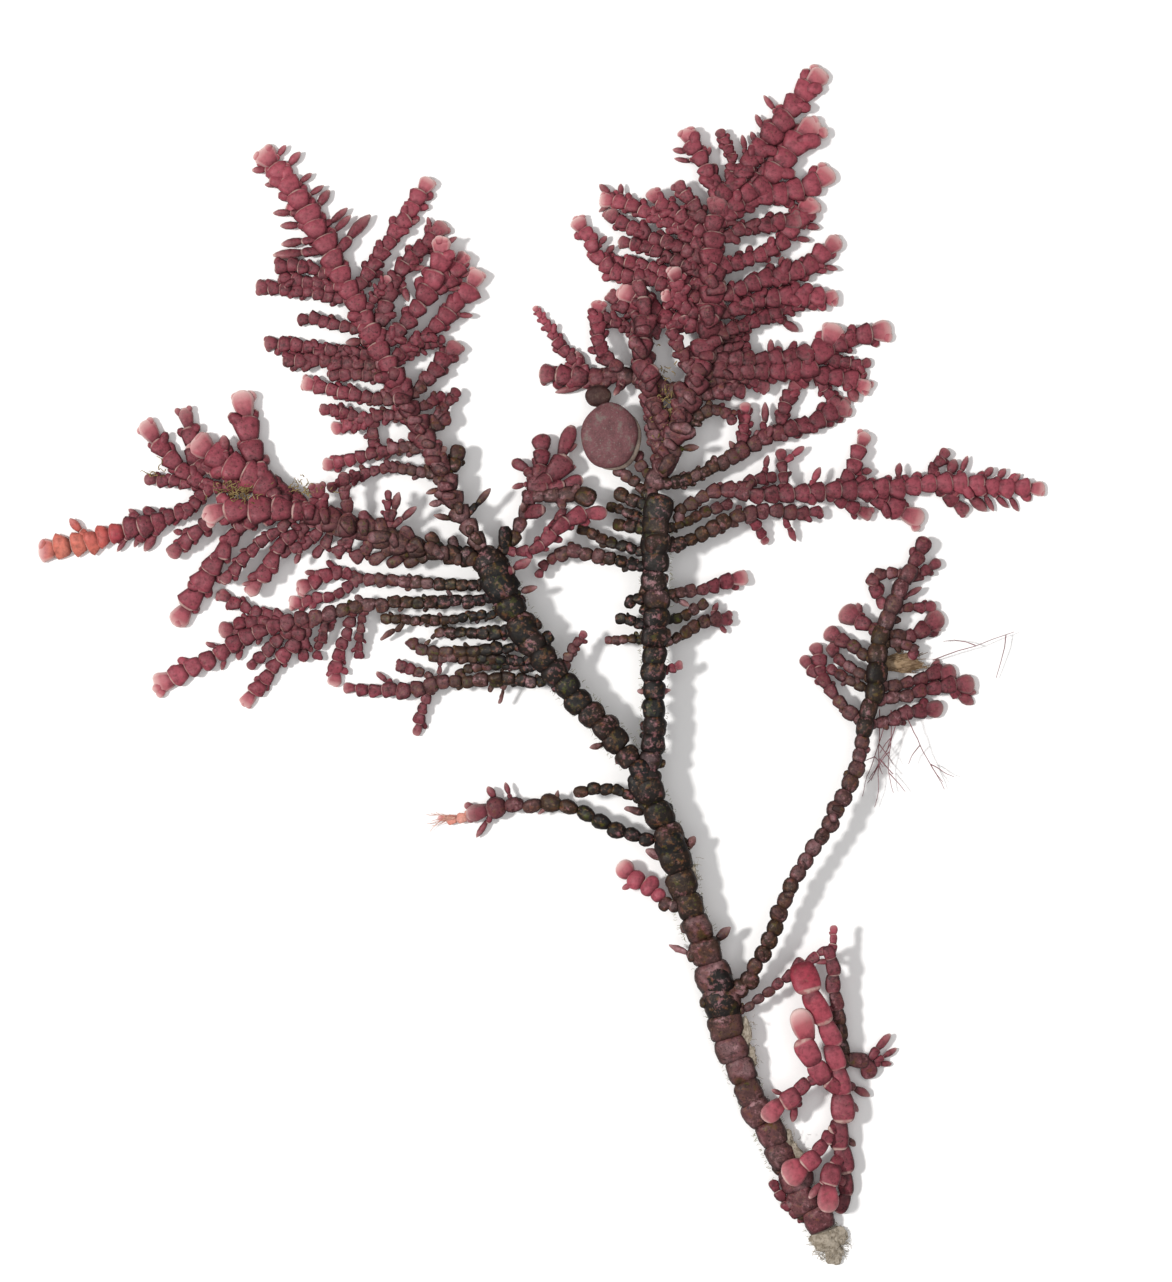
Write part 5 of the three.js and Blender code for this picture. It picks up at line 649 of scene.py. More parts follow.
# %% Read the foot of the plant
FRONDS["basal_tuft"] = dict(foot_height=0.9, flatness=0.68, branches=[
    (1.2, 0.9, 0.5, 1.7, 1.7, [(24.35, -48.9), (24.6, -49.4, 2.4), (24.8, -50, 2), (25.1, -51)]),
], pinnules=[
    (0.9, 0.6, 1.7, 24.5, -49.3, 22.9, -48.7), (0.9, 0.5, 1.7, 24.6, -49.4, 23.3, -49.7),
    (0.9, 0.5, 1.7, 24.8, -49.8, 24, -50.6), (0.9, 0.6, 1.7, 24.6, -49.3, 26.1, -49.9),
    (0.9, 0.6, 1.7, 24.5, -49.2, 26.2, -48.7), (0.8, 0.7, 1.7, 25.3, -49, 25.9, -47.8),
    (0.8, 0.4, 1.7, 24.8, -49.9, 25.9, -50.7),
])
FRONDS["basal_shoots"] = dict(foot_height=2.6, flatness=0.7, branches=[
    (0.7, 0.7, 3.6, 0.3, 0.65, [(17.2, -29.3), (18.5, -28.2, 0.8), (19.7, -27.4, 0.8), (21, -26.3, 0.9),
      (22.3, -25.4, 1.2), (23.4, -24.5, 0.8), (24.4, -23.8)]),
    (0.8, 0.9, 1.9, 0.65, 0.15, [(24.5, -24), (24.7, -24.9, 1.1), (24.8, -26.6), (25, -28.2, 1.1),
      (25.4, -29.9), (25.6, -31.5), (25.9, -33)]),
    (0.8, 0.5, 3.6, 0.65, 0.95, [(24.7, -24.4), (24.9, -23.2, 0.6), (24.9, -21.9)]),
    (1.9, 1.2, 0.8, 1.08, 0.5, [(22.6, -25.9, 1.9, 3.8), (22.6, -27.1, 2.3, 3.8), (23.3, -28.6, 1.9),
      (24.1, -30.2, 1.7), (24.6, -32, 1.6), (25, -33.8, 1.7), (25.6, -35.1, 1.8), (25.6, -36.6, 1.7),
      (25.4, -38.2, 1.8), (25.5, -39.7, 1.7), (25.6, -41.3, 1.7), (25.9, -42.9, 1.4), (26.1, -45, 1.3),
      (25.5, -46.6)]),
    (1.4, 1.9, 4.1, 0.75, 1.06, [(24.7, -35.9, 1.4, 2.8), (23.6, -34.3, 1.6, 3.4), (22.9, -32.8, 1.9),
      (22.4, -31, 2.4), (22, -29.5, 2.2), (21.9, -28.8)]),
    (0.9, 1.2, 0.6, 0.3, 0.5, [(25.2, -34), (26.3, -33.3), (27.2, -33.5, 1.3), (28.2, -33.8, 1.2),
      (28.2, -35)]),
    (0.9, 1.4, 3.3, 0.6, 1.06, [(23.6, -34.9), (22.7, -35.2, 0.9, 3.2), (21.9, -36.1, 1.1), (21, -36.6, 1.4),
      (20, -37.2, 1.7), (18.8, -38.2)]),
    (0.8, 1.7, 3.2, 0.6, 1.08, [(25.2, -39), (24.3, -39.7, 0.8, 2.5), (24, -40.9, 1, 2.8), (23, -41.8, 1.2),
      (21.6, -42.7, 1.8), (20.6, -43.4)]),
    (0.8, 1.6, 3, 0.65, 1.08, [(25.4, -41.5), (24.7, -42.8, 1.2, 2.7), (24.4, -44.4, 1.7), (24.5, -46.3)]),
], pinnules=[
    (0.8, 0.8, 0.6, 27.9, -33.4, 29.7, -31.2), (0.6, 0.6, 0.6, 28.2, -33.6, 30.4, -32.6),
    (0.6, 0.5, 0.65, 28, -33.9, 29.9, -33.9), (0.8, 0.6, 0.5, 26.2, -35, 27.9, -36.7),
    (0.7, 0.7, 0.45, 26, -36.2, 27, -37.9), (0.5, 3, 0.6, 21.2, -36.4, 19.6, -35.9),
    (0.8, 1.6, 0.65, 21.9, -36.3, 21.4, -38.6), (0.8, 2.9, 0.7, 24.4, -42.6, 22.8, -45.1),
    (0.8, 1.4, 0.7, 25.2, -42.6, 25.8, -44.2), (0.7, 0.5, 0.2, 26.1, -39.5, 26.8, -40.9),
    (0.6, 3.4, 0.6, 24.3, -25, 23.2, -25.2), (0.6, 2.6, 0.6, 23.9, -29.4, 25.2, -28.8),
])
print("branches so far:", branches_so_far())

# %% [markdown]
# A segment is a plate or bead of lime, narrow at the joint below and widest near its top. It could be
# sculpted once and copied, but two alike side by side look stamped. So a few units of each kind are drawn
# from rings, each with its own lean and shoulders, and the rows pick among them. A unit has only a few
# dozen faces, since it is repeated over a thousand times.

# %% List the kinds of segment
# Sections as (across, rise) corners, both from -1 to 1.
SECTIONS = {
    "flat": [(1, 0), (0.95, 0.5), (0.78, 0.86), (0.32, 1), (-0.32, 1), (-0.78, 0.86), (-0.95, 0.5), (-1, 0),
             (-0.7, -0.9), (0.7, -0.9)],
    "round": [(1, 0), (0.88, 0.58), (0.45, 0.93), (-0.45, 0.93), (-0.88, 0.58), (-1, 0), (-0.62, -0.8),
              (0.62, -0.8)],
    "lens": [(1, 0), (0.55, 0.8), (-0.55, 0.8), (-1, 0), (-0.5, -0.7), (0.5, -0.7)],
}
# A kind is a section, how far its top bulges, its widest shoulder, how many units there are, and its
# rings from foot to top: (how far up, half width, half thickness).
KINDS = {
    "bead": ("round", 0.05, 0.06, 5, [(-0.12, 0.37, 0.37), (0, 0.46, 0.45), (0.22, 0.51, 0.5),
      (0.52, 0.53, 0.52), (0.82, 0.51, 0.49), (0.97, 0.43, 0.42), (1.07, 0.29, 0.28)]),
    "link": ("round", 0.05, 0.03, 4, [(-0.1, 0.3, 0.3), (0.03, 0.42, 0.42), (0.28, 0.51, 0.5),
      (0.6, 0.52, 0.51), (0.86, 0.44, 0.43), (1, 0.28, 0.28)]),
    "drum": ("round", 0.03, 0.04, 4, [(-0.06, 0.42, 0.42), (0.03, 0.49, 0.49), (0.22, 0.52, 0.52),
      (0.55, 0.53, 0.53), (0.82, 0.53, 0.52), (0.95, 0.48, 0.47), (1.04, 0.34, 0.34)]),
    "barrel": ("round", 0.04, 0.04, 4, [(-0.1, 0.32, 0.34), (0.03, 0.44, 0.46), (0.28, 0.51, 0.5),
      (0.62, 0.52, 0.51), (0.88, 0.46, 0.46), (1.02, 0.3, 0.3)]),
    "plate": ("flat", 0.15, 0.08, 6, [(-0.1, 0.25, 0.28), (0.01, 0.34, 0.41), (0.24, 0.44, 0.49),
      (0.56, 0.52, 0.5), (0.79, 0.53, 0.47), (0.93, 0.44, 0.38), (1.01, 0.29, 0.2)]),
    "scale": ("flat", 0.12, 0.07, 6, [(-0.1, 0.27, 0.3), (0.05, 0.38, 0.44), (0.42, 0.48, 0.5),
      (0.76, 0.54, 0.47), (0.92, 0.45, 0.36), (1.02, 0.27, 0.2)]),
    "bean": ("round", 0.05, 0.03, 4, [(-0.09, 0.24, 0.24), (0.05, 0.37, 0.38), (0.3, 0.5, 0.5),
      (0.62, 0.53, 0.52), (0.88, 0.42, 0.42), (1, 0.25, 0.25)]),
    "ball": ("round", 0.1, 0.0, 2, [(-0.1, 0.3, 0.3), (0.05, 0.41, 0.41), (0.25, 0.5, 0.5),
      (0.58, 0.54, 0.54), (0.86, 0.44, 0.44), (0.98, 0.28, 0.28), (1.04, 0.12, 0.12)]),
    "tip": ("flat", 0.16, 0.04, 6, [(-0.12, 0.25, 0.28), (0.04, 0.35, 0.4), (0.34, 0.44, 0.47),
      (0.66, 0.5, 0.45), (0.84, 0.46, 0.38), (0.96, 0.34, 0.28), (1.02, 0.17, 0.14)]),
    "lobe": ("flat", 0.13, 0.02, 4, [(-0.13, 0.28, 0.3), (0.04, 0.38, 0.42), (0.32, 0.48, 0.5),
      (0.62, 0.53, 0.5), (0.83, 0.47, 0.42), (0.95, 0.33, 0.3), (1.01, 0.17, 0.15)]),
    "pad": ("flat", 0.06, 0.03, 4, [(-0.14, 0.36, 0.37), (0.02, 0.44, 0.46), (0.3, 0.5, 0.5),
      (0.62, 0.52, 0.5), (0.85, 0.49, 0.46), (0.98, 0.4, 0.36), (1.07, 0.25, 0.2)]),
    "leaf": ("lens", 0.1, 0.0, 3, [(-0.05, 0.3, 0.32), (0.16, 0.4, 0.44), (0.48, 0.52, 0.5),
      (0.78, 0.46, 0.44), (0.96, 0.24, 0.24)]),
    "blade": ("lens", 0.03, 0.0, 3, [(-0.04, 0.26, 0.3), (0.14, 0.4, 0.42), (0.42, 0.52, 0.5),
      (0.7, 0.46, 0.44), (0.9, 0.26, 0.28), (1, 0.09, 0.12)]),
}
print("kinds of segment:", len(KINDS))

# %% [markdown]
# Each unit is a stack of rings joined by bands of faces. Its UV map says how far across and along each
# point is, so that the skin can paint shade on the edges and the foot and draw the joints. Its halves lean
# and jut by chance, as on real lime.

# %% Draw the segment units
LEAN = 0.07
SKEW = 0.05
HORNS = (0, 0.5, 1)
HORN_RISE = 0.8
BULGE_CENTRE = 0.45


def close_rings(shape, rings):
    """Joins rings of points by bands of faces and closes both ends."""
    sides = len(rings[0])
    for lower, upper in zip(rings, rings[1:]):
        for k in range(sides):
            n = (k + 1) % sides
            shape.faces.new((lower[k], lower[n], upper[n], upper[k]))
    shape.faces.new(rings[0][::-1])
    shape.faces.new(rings[-1])


def mesh_of(name, shape):
    """The plain mesh of a finished shape."""
    mesh = bpy.data.meshes.new(name)
    shape.to_mesh(mesh)
    shape.free()
    return mesh


def draw_unit(name, section, bulge, shoulder, rings, dice):
    """One closed segment, foot at the origin and growing along +Y, with a UV map of across and along."""
    shape = bmesh.new()
    uv = shape.loops.layers.uv.new("skin")
    lean = {hand: 1 + dice.uniform(-LEAN, LEAN) for hand in (-1, 1)}
    horn = {hand: dice.choice(HORNS) * shoulder for hand in (-1, 1)}
    skew = dice.uniform(-SKEW, SKEW)
    widest = max(rings, key=lambda ring: ring[1])
    across_along, levels = {}, []
    for up, half_width, half_thickness in rings:
        level = []
        for side, rise in SECTIONS[section]:
            hand = 1 if side > 0 else -1
            jut = horn[hand] * side * side if up == widest[0] else 0
            x = side * half_width * lean[hand] * (1 + jut) + skew * up
            crown = bulge * max(up, 0) * (BULGE_CENTRE - side * side) * (half_width / 0.5) ** 2
            vertex = shape.verts.new((x, up + crown + jut * HORN_RISE, rise * half_thickness))
            across_along[vertex] = (side / 2 + 0.5, up)
            level.append(vertex)
        levels.append(level)
    close_rings(shape, levels)
    for face in shape.faces:
        for loop in face.loops:
            loop[uv].uv = across_along[loop.vert]
    bmesh.ops.recalc_face_normals(shape, faces=shape.faces)
    return mesh_of(name, shape)


units = bpy.data.collections.new("segment units")
UNIT_OF = {kind: [] for kind in KINDS}
dice = random.Random(4)
for kind, (section, bulge, shoulder, how_many, rings) in KINDS.items():
    for _ in range(how_many):
        number = sum(len(numbers) for numbers in UNIT_OF.values())
        unit = draw_unit(kind, section, bulge, shoulder, rings, dice)
        units.objects.link(bpy.data.objects.new("unit_%02d_%s" % (number, kind), unit))
        UNIT_OF[kind].append(number)

# %% [markdown]
# A branch starts on the middle of the one that carries it. Its width and height run smoothly between the
# points that were read, and one helper tells both at any distance from the foot.

# %% Lay a branch along its path
# How far off, in mm, a branch finds its carrier, and a frond its arm.
REACH = 3.2
BRIDGE = 4.0
# A foot this close already lies on its carrier, and one closer still needs no extra point.
TOUCHING = 0.45
ROOTED = 0.05


def lay_path(path, widths, heights):
    """A path's points with a width and a height each, and how far each is from the foot."""
    flat = np.array([p[:2] for p in path], float)
    station = np.concatenate([[0], np.cumsum(np.linalg.norm(np.diff(flat, axis=0), axis=1))])

    def spread(column, ends):
        known = {0: ends[0], len(path) - 1: ends[1]}
        known.update({i: p[column] for i, p in enumerate(path) if len(p) > column})
        keys = sorted(known)
        return np.interp(station, station[keys], [known[k] for k in keys])

    return dict(at=np.column_stack([flat, spread(3, heights)]), width=spread(2, widths), station=station)


def along(path, station):
    """Place and width at a distance from the foot."""
    at = [np.interp(station, path["station"], path["at"][:, axis]) for axis in range(3)]
    return Vector(at), float(np.interp(station, path["station"], path["width"]))


def nearest_on(laid, x, y, reach):
    """The nearest point to (x, y) on the given branches with its distance, or None out of reach."""
    best, least = None, reach
    for path in laid:
        for a, b in zip(path["at"], path["at"][1:]):
            run = b[:2] - a[:2]
            share = np.clip(np.dot((x, y) - a[:2], run) / max(np.dot(run, run), 1e-9), 0, 1)
            point = a + (b - a) * share
            away = math.hypot(point[0] - x, point[1] - y)
            if away < least:
                best, least = point, away
    return best, least


def root_of(laid, parent, x, y):
    """Where a branch starts: on what it touches, else on the axis, else on the nearest branch."""
    if not laid:
        return nearest_on(parent, x, y, BRIDGE)
    point, away = nearest_on(laid, x, y, REACH)
    if away < TOUCHING:
        return point, away
    on_axis = nearest_on(laid[:1], x, y, REACH)
    return on_axis if on_axis[0] is not None else (point, away)


trial = lay_path(FRONDS["main_stem"]["branches"][0][-1], (2, 2), (1, 4))
print("length of the stem in mm:", round(trial["station"][-1], 1))

# %% [markdown]
# Segments are as long as their width asks for, but every frond has its habit: long on the red shoots,
# short and broad on the axes. The stem's segments touch, so they are wider than the line that was read
# between their dents.

# %% Choose how long and how wide segments are
OLD = ("main_stem", "left_arm", "right_arm")
SECOND_AXIS = ("side_frond", 1)
CORAL_END = ("left_frond", 2)
THICK_CROWN_BRANCH = ("crown_frond", 20)
# The length in mm of a segment: a base plus a share of its width, for axes and for side branches.
AXIS_PITCH = {
    "main_stem": (1.1, 0.45), "pink_bead_shoot": (0.30, 0.60), "lower_branchlet": (0.6, 0.75),
    "side_frond": (0.55, 0.60), "basal_shoots": (0.2, 1.1),
}
SIDE_PITCH = {
    "middle_sprig": (0.50, 1.10), "left_frond": (0.20, 1.05), "basal_shoots": (0.20, 1.15),
    "side_frond": (0.20, 0.95), "right_frond": (0.20, 0.90), "left_arm": (0.20, 0.85),
    "main_stem": (0.3, 0.9),
}
CORAL_PITCH = (0.10, 0.66)
USUAL_PITCH = {"axis": (0.75, 0.42), "side": (0.15, 0.82)}
# How much wider than the read line a segment is, for old stems, the axes and the side branches.
FULL = {"old": 1.24, "axis": 1.14, "side": 1.20}
# Branches that are slimmer than read, because small plates that lie over them make them look wide.
SLIM = {
    THICK_CROWN_BRANCH: 0.72, SECOND_AXIS: 0.85, CORAL_END: 0.92,
    ("basal_shoots", 3): 0.88, ("basal_shoots", 4): 0.85,
}


def pitch_of(branch, is_axis):
    """The base and the share of the width that a branch's segments are long."""
    if branch == CORAL_END:
        return CORAL_PITCH
    if is_axis:
        return AXIS_PITCH.get(branch[0], USUAL_PITCH["axis"])
    return SIDE_PITCH.get(branch[0], USUAL_PITCH["side"])


def marks_of(path, base, share):
    """How far from the foot each segment begins, so that each is as long as its width asks for."""
    length = path["station"][-1]
    marks = [0.0]
    while marks[-1] < length:
        marks.append(marks[-1] + base + share * along(path, marks[-1])[1])
    if len(marks) > 2 and marks[-1] - length > length - marks[-2]:
        marks.pop()
    return [mark * length / marks[-1] for mark in marks]


print("segments of the stem:", len(marks_of(trial, *pitch_of(("main_stem", 0), True))) - 1)

# %% [markdown]
# The tone climbs from foot to tip, early on some fronds and late on others. Two branches turn sharply
# instead: the coral end, and the bead shoot with its black foot. Only growing ends are pale.

# %% Choose the colours and the kinds
# How fast an axis turns from its foot's colour to its tip's: under 1 early, over 1 late.
AGEING = {
    "main_stem": 0.7, "lower_branchlet": 2.5, "side_frond": 1.6, "upper_left_frond": 0.5,
    "left_frond": 0.8, "crown_frond": 0.35, "right_frond": 0.6, "middle_sprig": 0.7,
}
SIDE_AGEING = 1.2
# Branches that turn sharply in colour: (how far up, the tone from there on).
TURNS = {CORAL_END: (0.62, 1.17), ("pink_bead_shoot", 0): (0.40, 0.85)}
TONE_BEFORE_TURN = 0.1
PALE_SHOOT = ("basal_shoots", 4)
ROSY = ("middle_sprig", "basal_shoots")
PALE_FROM = 0.6
PALE_RISE = 3
ROSY_PALENESS = 0.2
# Where the lime turns from old barrels to young plates, and where a stem's beads turn to drums.
YOUNG_FROM = 0.40
DRUMS_FROM = 0.2
BEADS_UP_TO = 0.5
ROUND_TIPPED = ("side_frond", "basal_shoots", "middle_sprig")
ROUND_AXIS = {
    ("lower_branchlet", 0): "bean", ("side_frond", 0): "link", SECOND_AXIS: "bead",
    ("basal_shoots", 0): "bean",
}


def tone_at(branch, is_axis, tones, share):
    """The tone at this share of a branch's length."""
    foot_tone, tip_tone = tones
    turn_at, turned_tone = TURNS.get(branch, (1, tip_tone))
    if share >= turn_at:
        return turned_tone + (tip_tone - turned_tone) * (share - turn_at) / (1 - turn_at)
    late_tone = foot_tone + TONE_BEFORE_TURN if branch in TURNS else tip_tone
    ageing = AGEING.get(branch[0], 1) if is_axis else SIDE_AGEING
    return foot_tone + (late_tone - foot_tone) * share ** ageing


def paleness(branch, tip_tone):
    """How pale the growing end of a branch is."""
    pale = min(1, max(0, (tip_tone - PALE_FROM) * PALE_RISE))
    return pale * ROSY_PALENESS if branch[0] in ROSY and branch != PALE_SHOOT else pale


def kind_of(branch, is_axis, is_last, tone):
    """Which kind of unit stands at this place."""
    if branch[0] == "pink_bead_shoot":
        return "ball"
    if is_last and tone > YOUNG_FROM:
        return "lobe" if branch[0] in ROUND_TIPPED else "tip"
    if branch[0] == "basal_shoots" and not is_axis:
        return "pad"
    if is_axis and branch[0] in OLD:
        return "drum" if tone > DRUMS_FROM else "bead"
    if is_axis:
        return ROUND_AXIS[branch] if branch in ROUND_AXIS and tone < BEADS_UP_TO else "plate"
    return "barrel" if tone < YOUNG_FROM else "scale"


print("tone halfway up the stem:", round(tone_at(("main_stem", 0), True, (0.46, 0.12), 0.5), 2))

# %% [markdown]
# Rows alone look like strings of beads. On the real plant an old stem is rough with lumps, small plates
# fill the gaps beside each segment and lie over the axes, and a growing tip has a scalloped rim. Each is
# a few more segments, strewn by seeded dice.

# %% Grow lumps, small plates and scalloped rims
Segment = namedtuple("Segment", "place way wide thick kind tone pale")
# No segment rises above this height in mm, so that the dressed plant stays as low as its solids.
CEILING = cad_box[1][2] / MM - SHIFT.z - 0.13
# Ranges are (least, most). Lean is in degrees from the carrier's way, the others are shares of it.
LUMP = dict(often=0.75, lean=(50, 110), size=(0.34, 0.52), up=(0.1, 0.9), out=(0.10, 0.22), sink=(0.0, 0.35),
            length=(0.8, 1.1), thick=0.9, tone=(0, 0.3))
LEAF = dict(lean=(38, 62), up=(0.45, 0.7), lift=(-0.15, -0.15, 0.12), least=0.16, length=(0.55, 0.85),
            size=(0.46, 0.60), thick=0.6, tone=(-0.05, 0.06))
COVERING = dict(lean=(15, 80), size=(0.42, 0.62), back=(0.1, 0.35), lift=(0.24, 0.36), length=(1.0, 1.5),
                thick=0.6, tone=(-0.12, 0.04), least_tone=0.3)
RIM_LOBE = dict(lean=(12, 28), up=(0.50, 0.62), aside=0.22, length=(0.42, 0.52), size=(0.42, 0.54), thick=0.8)


def turned(way, degrees):
    """A direction turned about the vertical."""
    return Matrix.Rotation(math.radians(degrees), 3, "Z") @ way


def lumps(foot, way, width, dice):
    """Small overgrown lumps that make an old stem's outline rough."""
    made = []
    for hand in (-1, 1):
        if dice.random() < LUMP["often"]:
            out = turned(way.normalized(), hand * dice.uniform(*LUMP["lean"]))
            size = width * dice.uniform(*LUMP["size"])
            start = foot + way * dice.uniform(*LUMP["up"]) + out * width * dice.uniform(*LUMP["out"])
            start.z -= dice.uniform(*LUMP["sink"])
            length = out * size * dice.uniform(*LUMP["length"])
            tone = dice.uniform(*LUMP["tone"])
            made.append(Segment(start, length, size, size * LUMP["thick"], "barrel", tone, 0))
    return made


def leaves(foot, way, width, tone, share, dice):
    """The small side plates that fill the gaps between the branches of a frond."""
    made = []
    for hand in (-1, 1):
        if dice.random() < share:
            out = turned(way.normalized(), hand * dice.uniform(*LEAF["lean"]))
            start = foot + way * dice.uniform(*LEAF["up"])
            start.z += dice.choice(LEAF["lift"]) * width
            length = LEAF["least"] + width * dice.uniform(*LEAF["length"])
            wide = width * dice.uniform(*LEAF["size"])
            leaf_tone = tone + dice.uniform(*LEAF["tone"])
            made.append(Segment(start, out * length, wide, wide * LEAF["thick"], "leaf", leaf_tone, 0))
    return made


def covering(foot, way, width, tone, count, dice):
    """Small plates that lie over an axis and break its straight line."""
    made = []
    for _ in range(int(count + dice.random())):
        out = turned(way.normalized(), dice.choice((-1, 1)) * dice.uniform(*COVERING["lean"]))
        wide = width * dice.uniform(*COVERING["size"])
        start = foot + way * dice.random() - out * width * dice.uniform(*COVERING["back"])
        lifted = start.z + width * dice.uniform(*COVERING["lift"])
        start.z = min(lifted, CEILING - wide * COVERING["thick"] / 2)
        length = out * wide * dice.uniform(*COVERING["length"])
        plate_tone = max(COVERING["least_tone"], tone + dice.uniform(*COVERING["tone"]))
        made.append(Segment(start, length, wide, wide * COVERING["thick"], "scale", plate_tone, 0))
    return made


def rim_lobes(foot, way, width, thick, tone, pale, dice):
    """The scalloped rim of a growing tip: small rounded lobes side by side."""
    made = []
    for hand in dice.sample((-1, 0, 1), 2):
        out = turned(way.normalized(), hand * dice.uniform(*RIM_LOBE["lean"]))
        aside = turned(way.normalized(), 90) * hand * width * RIM_LOBE["aside"]
        start = foot + way * dice.uniform(*RIM_LOBE["up"]) + aside
        length = out * way.length * dice.uniform(*RIM_LOBE["length"])
        wide = width * dice.uniform(*RIM_LOBE["size"])
        made.append(Segment(start, length, wide, thick * RIM_LOBE["thick"], "tip", tone, pale))
    return made


print("ceiling in mm:", round(CEILING, 2))

# %% [markdown]
# Where big branches leave a stem, the lime has grown into a thick knot, here one broad bead over the
# joint. A pinnule, the lone leaf beside an axis, is one blade, with a short stalk where it is long.

# %% Grow knots and pinnules
# Swollen places: (x, y, width).
SWELLINGS = {
    "main_stem": [
        (9.0, -9.8, 2.9), (15.5, -26.6, 3.1), (16.3, -28.4, 3.2), (17.5, -27.5, 2.2), (10.3, -15.5, 2.7),
    ],
    "left_arm": [(-3.2, 7.2, 3.1), (-4.3, 8.8, 2.8), (-1.0, 3.4, 2.6)],
    "right_arm": [(9.9, 13.4, 2.7), (9.7, 10.4, 2.5)],
}
KNOT = dict(reach=4, lean=(-15, 15), length=0.8, thick=0.7, tone=(0, 0.12))
PINNULE = dict(full=1.1, thick=0.7, stalked_over=1.6, pale=0.25)
# A stalk and its blade: (how far up it starts, its share of the length, its share of the width).
STALK = (0.12, 0.36, 0.9)
BLADE = (0.46, 0.54, 1)


def knots(name, axis, dice):
    """Thick knots of a stem, no higher than the plant."""
    made = []
    for x, y, width in SWELLINGS.get(name, []):
        point = Vector(nearest_on([axis], x, y, KNOT["reach"])[0])
        way = turned(Vector(axis["at"][-1] - axis["at"][0]).normalized(), dice.uniform(*KNOT["lean"]))
        thick = min(width * KNOT["thick"], 2 * (CEILING - point.z))
        length = way * width * KNOT["length"]
        made.append(Segment(point - length / 2, length, width, thick, "bead", dice.uniform(*KNOT["tone"]), 0))
    return made


def pinnule(laid, width, tip_height, tone, foot_x, foot_y, tip_x, tip_y):
    """A lone leaf-like segment that starts on the nearest branch."""
    root = Vector(nearest_on(laid, foot_x, foot_y, REACH)[0])
    way = Vector((tip_x, tip_y, tip_height)) - root
    wide = width * PINNULE["full"]
    thick = wide * PINNULE["thick"]
    pale = PINNULE["pale"]
    if way.length <= PINNULE["stalked_over"]:
        return [Segment(root, way, wide, thick, "blade", tone, pale)]
    stalk = "scale" if tone > YOUNG_FROM else "barrel"
    return [
        Segment(root + way * STALK[0], way * STALK[1], wide * STALK[2], thick, stalk, tone, 0),
        Segment(root + way * BLADE[0], way * BLADE[1], wide * BLADE[2], thick, "blade", tone, pale),
    ]


print("knots:", sum(len(places) for places in SWELLINGS.values()))

# %% [markdown]
# Now every branch is cut into segments from foot to tip. Each gets a place, a way, a size and the values
# that its colour needs, and varies a little, so that no row looks ruled.

# %% Lay every frond
# The branch that each frond grows from.
PARENT = {
    "left_arm": "main_stem", "right_arm": "main_stem", "lower_branchlet": "main_stem",
    "pink_bead_shoot": "main_stem", "side_frond": "main_stem", "basal_shoots": "main_stem",
    "upper_left_frond": "left_arm", "left_frond": "left_arm", "middle_sprig": "left_arm",
    "crown_frond": "right_arm", "right_frond": "right_arm",
}
# The share of segments that carry a small leaf on a side.
LEAFY = {
    "crown_frond": 0.80, "upper_left_frond": 0.65, "left_frond": 0.65, "middle_sprig": 0.6,
    "right_frond": 0.4, "side_frond": 0.3, "left_arm": 0.35, "right_arm": 0.2, "basal_shoots": 0.1,
}
# How many small plates lie over each segment of an axis, on average, and how far up it they go.
COVER = {"crown_frond": 1.6, "upper_left_frond": 1.4, "left_frond": 1.4, "side_frond": 0.6}
COVERED = {"crown_frond": 0.75, "upper_left_frond": 0.45, "left_frond": 0.7, "side_frond": 0.8}
FLAT_KINDS = ("plate", "scale", "tip", "lobe")
PLATE_FLATNESS = 0.85
# Where along a segment its width is read, how much widths vary, and how far places drift.
WIDTH_READ_AT = 0.64
WIDTH_VARIES = 0.09
DRIFT = 0.05
LUMPY = 1.1
LEAFY_FROM = 0.3
LOBED_OVER = 1.1


def lay_branch(branch, flatness, path, tones, dice):
    """The segments of one branch, with the small parts that grow on them."""
    made = []
    name = branch[0]
    is_axis = branch[1] == 0 or branch == SECOND_AXIS
    is_old = is_axis and name in OLD
    is_covered = branch[1] == 0 or branch == THICK_CROWN_BRANCH
    full = FULL["old" if is_old else "axis" if is_axis else "side"] * SLIM.get(branch, 1)
    turn_at = TURNS.get(branch, (1, 1))[0]
    marks = marks_of(path, *pitch_of(branch, is_axis))
    last = len(marks) - 2
    for i, (low, high) in enumerate(zip(marks, marks[1:])):
        foot, _ = along(path, low)
        way = along(path, high)[0] - foot
        _, width = along(path, low + (high - low) * WIDTH_READ_AT)
        share = (low + high) / 2 / marks[-1]
        tone = tone_at(branch, is_axis, tones, share)
        kind = kind_of(branch, is_axis, i == last, tone)
        thick = width * flatness * (PLATE_FLATNESS if kind in FLAT_KINDS else 1)
        wide = width * full * (1 + dice.uniform(-WIDTH_VARIES, WIDTH_VARIES))
        pale = paleness(branch, tones[1]) if i == last else 0
        drift = Vector((dice.uniform(-1, 1), dice.uniform(-1, 1), 0)) * DRIFT * width
        made.append(Segment(foot + drift, way, wide, thick, kind, tone, pale))
        if is_old:
            made += lumps(foot, way, width * LUMPY, dice)
        elif 0 < i < last and (tone > LEAFY_FROM or not is_axis) and share < turn_at:
            made += leaves(foot, way, wide, tone, LEAFY.get(name, 0), dice)
        if is_covered and i > 0 and share < COVERED.get(name, 0):
            made += covering(foot, way, width, tone, COVER.get(name, 0), dice)
        if kind == "tip" and wide > LOBED_OVER:
            made += rim_lobes(foot, way, wide, thick, tone, pale, dice)
    return made


